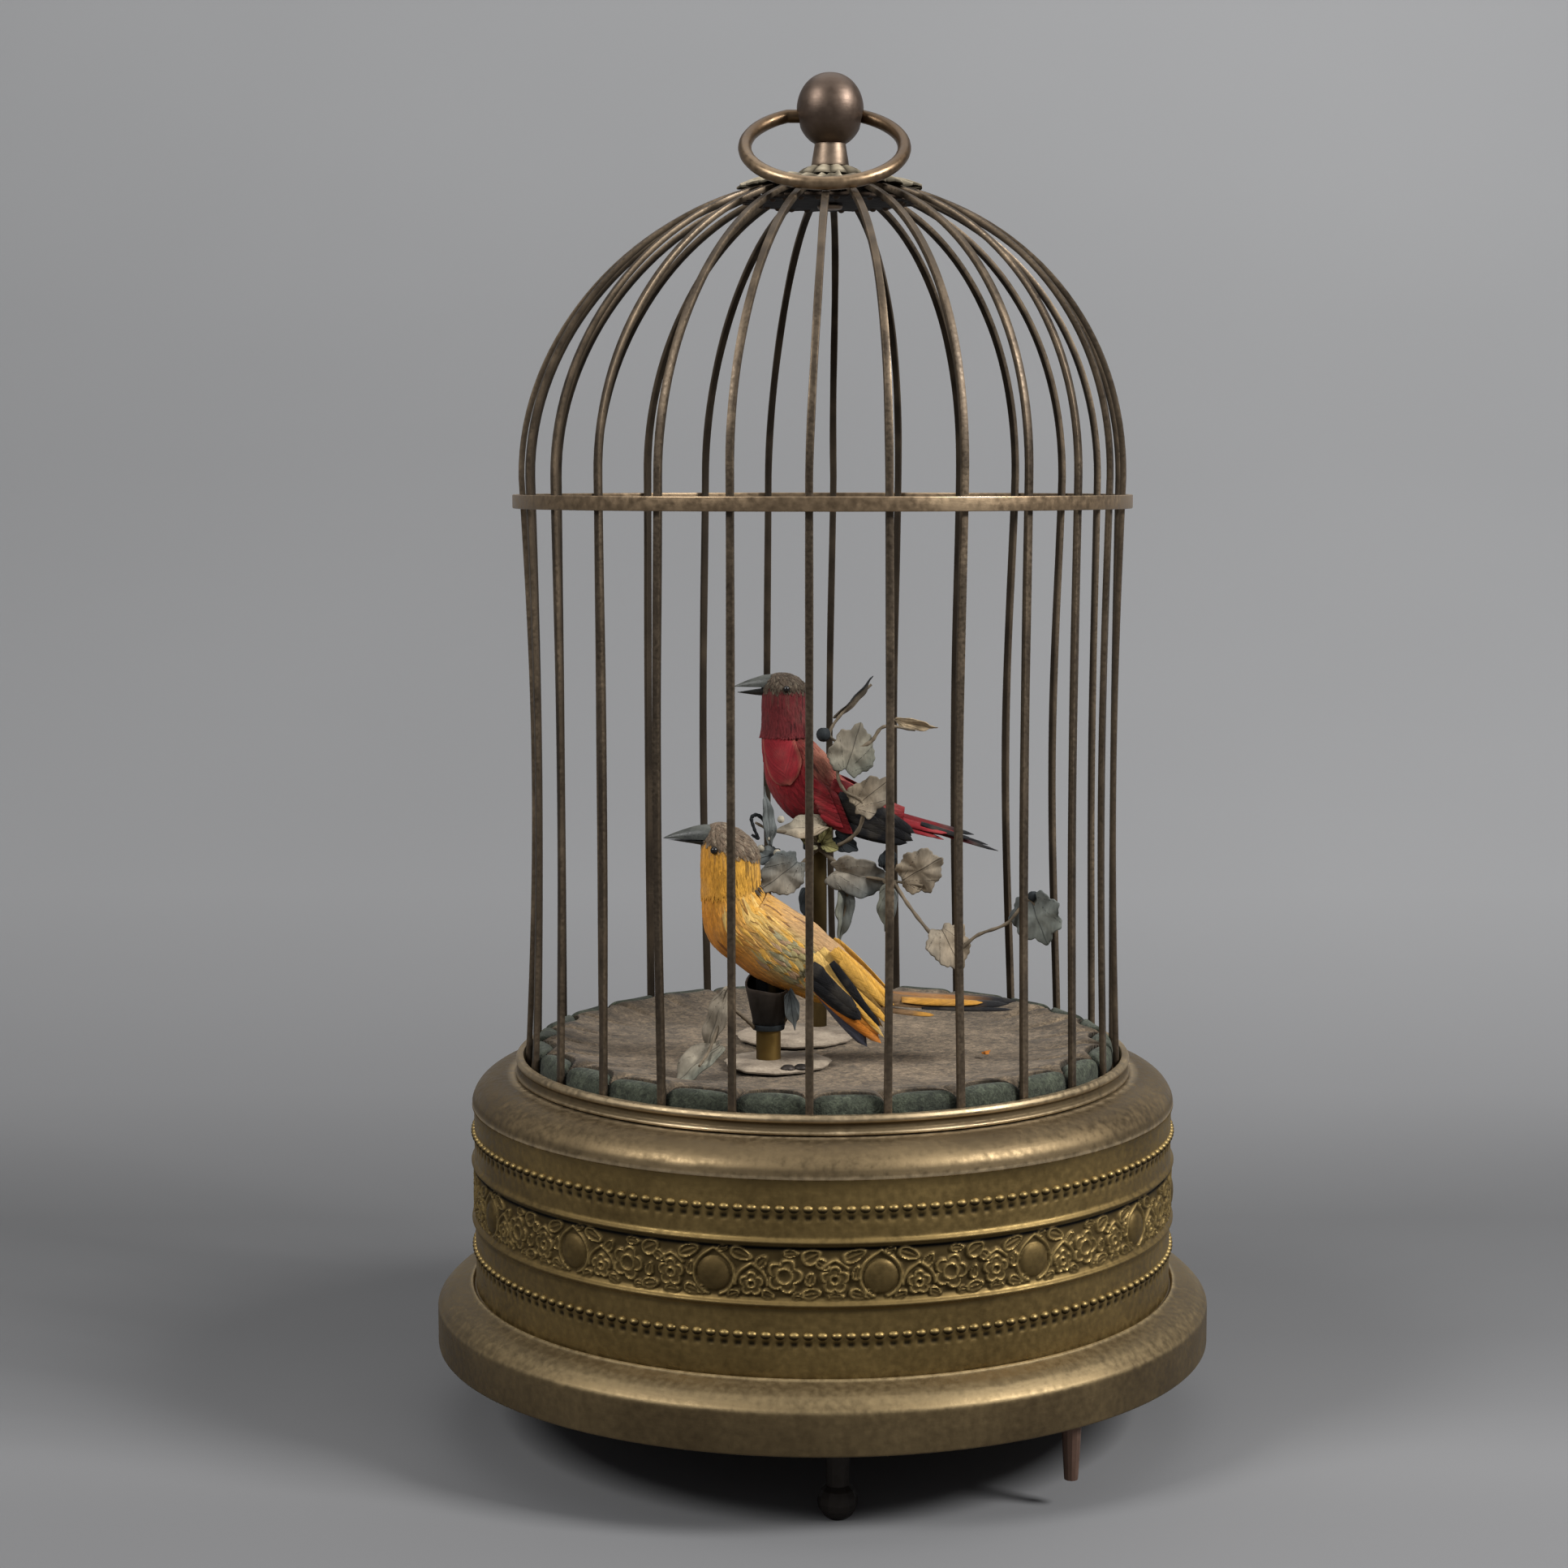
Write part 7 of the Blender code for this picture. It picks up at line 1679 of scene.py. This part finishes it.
def cloth_leaf_form(forms, place, length, width, tip, turn, pitch, lobes, fold, tints):
    """One lobed cloth leaf with veins, folded along its midrib and curled at its edge. Lengths in mm."""
    tip, turn, pitch = (math.radians(a) for a in (tip, turn, pitch))
    along = np.array([math.cos(tip), 0.0, math.sin(tip)])
    face = np.array([0.0, -1.0, 0.0])
    across, face = turned_towards(np.cross(face, along), face, turn)
    if pitch > 1:  # a leaf that lies on the felt
        face = unit((-0.2, -0.55, 0.81))
        along = np.array([math.cos(tip), math.sin(tip), 0.0])
        along = unit(along - face * (along @ face))
        across = np.cross(face, along)
    else:
        along, face = turned_towards(along, face, pitch)
    angle = turns(96)[None]
    reach = np.linspace(0, 1, 15)[:, None]
    ragged = chance.uniform(-0.04, 0.04, 9)
    edge = 1 + 0.05 * np.cos(lobes * angle) + 0.025 * np.cos(3 * lobes * angle + 1)
    edge = edge + sum(r * np.cos(k * angle + k) for k, r in enumerate(ragged, 1))
    edge = edge * (1 + 0.12 * np.exp(-(angle**2) / 0.1) + 0.12 * np.exp(-((angle - TURN) ** 2) / 0.1))
    edge = edge * (1 - 0.22 * np.exp(-((angle - math.pi) ** 2) / 0.06))
    a = edge * np.cos(angle) * reach * length / 2
    pointed = 0.75 if width < 0.5 * length else 0.0
    narrowed = np.abs(np.sin(angle)) ** pointed * (1 - 0.12 * np.cos(angle))
    b = edge * np.sin(angle) * narrowed * reach * width / 2
    phase = chance.uniform(0, TURN)
    depth = fold * np.abs(b) * 1.4 - 0.06 * length * reach**2 * (0.6 + 0.4 * np.cos(angle + phase))
    depth = depth + 0.028 * length * reach**2 * np.cos(lobes * angle + phase)
    depth = depth + 0.015 * length * np.sin(a * 1.3 + phase)
    stalk = a + length * 0.46
    swing = np.arctan2(b * length / width, stalk)
    veins = np.stack([np.abs(np.sin(swing - vein)) for vein in (-1.0, -0.52, 0, 0.52, 1.0)])
    near_vein = np.min(veins, 0) * np.hypot(stalk, b) / 0.45
    depth = depth + 0.09 * np.clip(1 - near_vein, 0, 1)
    points = np.asarray(place) + (a[..., None] * along + b[..., None] * across + depth[..., None] * face) * MM
    first, second = (np.array(LEAF_TINTS[name]) for name in tints)
    mix = np.clip(0.35 + 0.5 * reach * np.cos(angle + phase * 2) + 0.25 * reach, 0, 1)[..., None]
    tint = (first * (1 - mix) + second * mix) * (1 - 0.25 * reach[..., None] ** 8)
    forms.grid(points, (False, True), tint=tint, barb=np.clip(near_vein, 0, 1))


def make_spray(side, stems, leaves, clip, beads=()):
    """A spray of dusty cloth leaves on bent wire stems, held on its post by a clip."""
    name = f"{side}_leaf"
    felt_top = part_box("felt_floor")[1].z
    origin = np.array([*axis_of(f"{side}_perch_tube"), felt_top])
    forms = Forms()
    for number, stem in enumerate(stems):
        path = smooth_path(np.array(stem), 14 * len(stem)) * MM + origin
        thick = np.linspace(*STEM_RADII, len(path)) * (1 + 0.12 * np.sin(np.arange(len(path)) * 0.9))
        tint = LEAF_TINTS["dark" if number == DARK_STEM else "brown"]
        tube(forms, path, thick, 8, tint=np.array(tint) * 0.55, barb=1.0)
    lump = 1 + 0.15 * np.sin(turns(14) * 3) * np.sin(np.linspace(0, math.pi, 9)[:, None])
    for place, radius, tint in beads:
        points = origin + (np.array(place) + sphere(9, 14) * (lump * radius)[..., None]) * MM
        forms.grid(points, (False, True), tint=LEAF_TINTS[tint], barb=1.0)
    inner, thickness, height, tall = clip
    outer, bottom = inner + thickness * MM, height * MM + felt_top
    top = bottom + tall * MM
    profile = rounded([(inner, bottom), (outer, bottom), (outer, top), (inner, top)], 0.4 * MM)
    lathe(forms, profile, 28, origin[:2], tint=LEAF_TINTS["dark"], barb=1.0)
    piece(f"{name}_stems", forms, "dusty_leaf", nodes=[f"{name}_spray"], angle=60)
    forms = Forms()
    for place, *shape in leaves:
        cloth_leaf_form(forms, origin + np.array(place) * MM, *shape)
    piece(f"{name}_leaves", forms, "dusty_leaf", angle=60, thickness=LEAF_THICKNESS)


def keep_cad_nodes():
    """Gives every CAD node that stays the procedural look of its own finish."""
    finishes = {
        "dark_iron": ("front_foot", "right_foot", "left_foot"),
        "red_brown_steel": ("start_lever",),
        "stage_wood": ("bottom_plate", "stage_plate"),
    }
    looks = {node: look for look, nodes in finishes.items() for node in nodes}
    for name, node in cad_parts.items():
        look = looks.get(name)
        if look is None:
            own = node.data.materials[0].name.split(".")[0] if node.data.materials else "dull_brass"
            look = own if own in LOOKS else "dull_brass"
        node.data.materials.clear()
        node.data.materials.append(LOOKS[look])


# Tone of the paper along the sweep, with painted shade in a band behind the object and painted light higher
# up the backdrop: distance behind the object's axis in metres, display value
SWEEP_TONES_AND_SHADE = (
    (-0.5, 107), (-0.066, 109), (-0.035, 113), (0.0, 105), (0.05, 98), (0.1, 95), (0.15, 92), (0.2, 99),
    (0.3, 113), (0.45, 125), (0.6, 135), (0.9, 140), (1.15, 144), (1.3, 150), (1.45, 159), (1.6, 167),
    (2.2, 174),
)
# Lamps: place, place that it faces, size in metres, power in watts
LAMPS = {
    "key_lamp": ((1.1, -0.5, 0.98), (0, 0, 0.12), 0.42, 30.0),
    "fill_lamp": ((-0.95, -0.68, 1.02), (0, 0, 0.14), 0.42, 15.0),
    "top_lamp": ((0.05, 0.3, 1.25), (0, 0, 0.1), 1.2, 5.0),
}
CAMERA_PLACE = (0, -0.5806, 0.1969)
CAMERA_PITCH = 6.27  # degrees down
CAMERA_LENS = 64.32
CAMERA_SHIFT = -0.0246


def make_sweep():
    """A paper floor that curves up into a backdrop, painted with light and shade."""
    surface = Surface("studio_paper", Specular_IOR_Level=0.1)
    mottle = surface.noise(3, 3)
    colour = surface.toned(surface.painted("tint", "Color"), mottle, (0.3, 0.97), (0.7, 1.0))
    surface.finish(colour, 0.9, mottle, 0.1 * MM)
    curve = [(y, 0.0) for y in np.linspace(-2.5, -0.2, 12)[:-1]]
    curve += [(y, 0.0) for y in np.linspace(-0.2, 0.16, 37)]
    bend, bend_steps = 2.4, 120  # the bend's length in metres
    for share in (np.arange(bend_steps) + 0.5) / bend_steps:
        slope = math.pi / 2 * share**2 * (3 - 2 * share)
        y, z = curve[-1]
        curve.append((y + math.cos(slope) * bend / bend_steps, z + math.sin(slope) * bend / bend_steps))
    curve.append((curve[-1][0], 3.5))
    across = np.linspace(-3, 3, 81)
    points = np.array([[(x, y, z) for y, z in curve] for x in across])
    steps = np.hypot(*np.diff(curve, axis=0).T)
    away = curve[0][0] + np.concatenate([[0], np.cumsum(steps)])
    right_side_light = np.clip(across[:, None] / (np.maximum(away, -0.3) + 0.6) / 0.17, 0, 1)  # painted light: the right side is paler
    tone = np.interp(away, *zip(*SWEEP_TONES_AND_SHADE)) * (1 + 0.045 * right_side_light)
    forms = Forms()
    forms.grid(points, tint=np.stack(linear(tone, tone, tone + 0.6), -1))
    mesh, _ = painted_mesh("studio_sweep", forms.points[0], forms)
    mesh.materials.append(surface.material)
    mesh.shade_smooth()
    add_object("studio_sweep", mesh)


def make_lights():
    """A sky that is brighter above, and soft lamps."""
    world = bpy.data.worlds.new("studio_world")
    world.use_nodes = True
    sky = world.node_tree
    background = sky.nodes["Background"]
    background.inputs["Color"].default_value = solid(196, 198, 202)
    split = sky.nodes.new("ShaderNodeSeparateXYZ")
    sky.links.new(sky.nodes.new("ShaderNodeTexCoord").outputs["Generated"], split.inputs[0])
    brighter_above = sky.nodes.new("ShaderNodeMapRange")
    for socket, value in (("From Min", 0.0), ("From Max", 0.65), ("To Min", 0.19), ("To Max", 0.62)):
        brighter_above.inputs[socket].default_value = value
    sky.links.new(split.outputs["Z"], brighter_above.inputs["Value"])
    sky.links.new(brighter_above.outputs["Result"], background.inputs["Strength"])
    bpy.context.scene.world = world
    for name, (place, aim, size, power) in LAMPS.items():
        lamp = bpy.data.lights.new(name, "AREA")
        lamp.size = size
        lamp.energy = power
        made = add_object(name, lamp)
        made.location = place
        made.rotation_euler = (Vector(aim) - Vector(place)).to_track_quat("-Z", "Y").to_euler()


def make_camera():
    """The camera, at the place the photo was taken from."""
    camera = bpy.data.cameras.new("studio_camera")
    camera.sensor_width = 36.0
    camera.lens = CAMERA_LENS
    camera.shift_x = CAMERA_SHIFT
    made = add_object("studio_camera", camera)
    made.location = CAMERA_PLACE
    made.rotation_euler = (math.radians(90 - CAMERA_PITCH), 0, 0)
    bpy.context.scene.camera = made
    bpy.context.scene.view_settings.view_transform = "Standard"


def make_sprays():
    """Both leaf sprays. A clip has an inner radius and, in mm, a thickness, a height and a size."""
    low, high = box_of("rear_perch_tube")
    rear_clip = ((high[0] - low[0]) / 2 + 0.3 * MM, 1.0, 39.3, 2.0)
    make_spray("rear", REAR_STEMS, REAR_LEAVES, rear_clip, REAR_BEADS)
    make_spray("front", FRONT_STEMS, FRONT_LEAVES, (2.8 * MM, 0.5, 7.0, 1.2))


make_sweep()
make_lights()
make_camera()
keep_cad_nodes()
make_drum()
make_flange()
make_shoulder()
make_foot_ring()
make_hoop()
make_wires()
make_crown_plate()
make_collar()
make_neck()
make_globe()
make_carrying_ring()
make_felt()
make_discs()
make_posts()
make_bird(FRONT, yellow_tint, FRONT_WING, FRONT_TAIL)
make_bird(REAR, red_tint, REAR_WING, REAR_TAIL)
make_sprays()
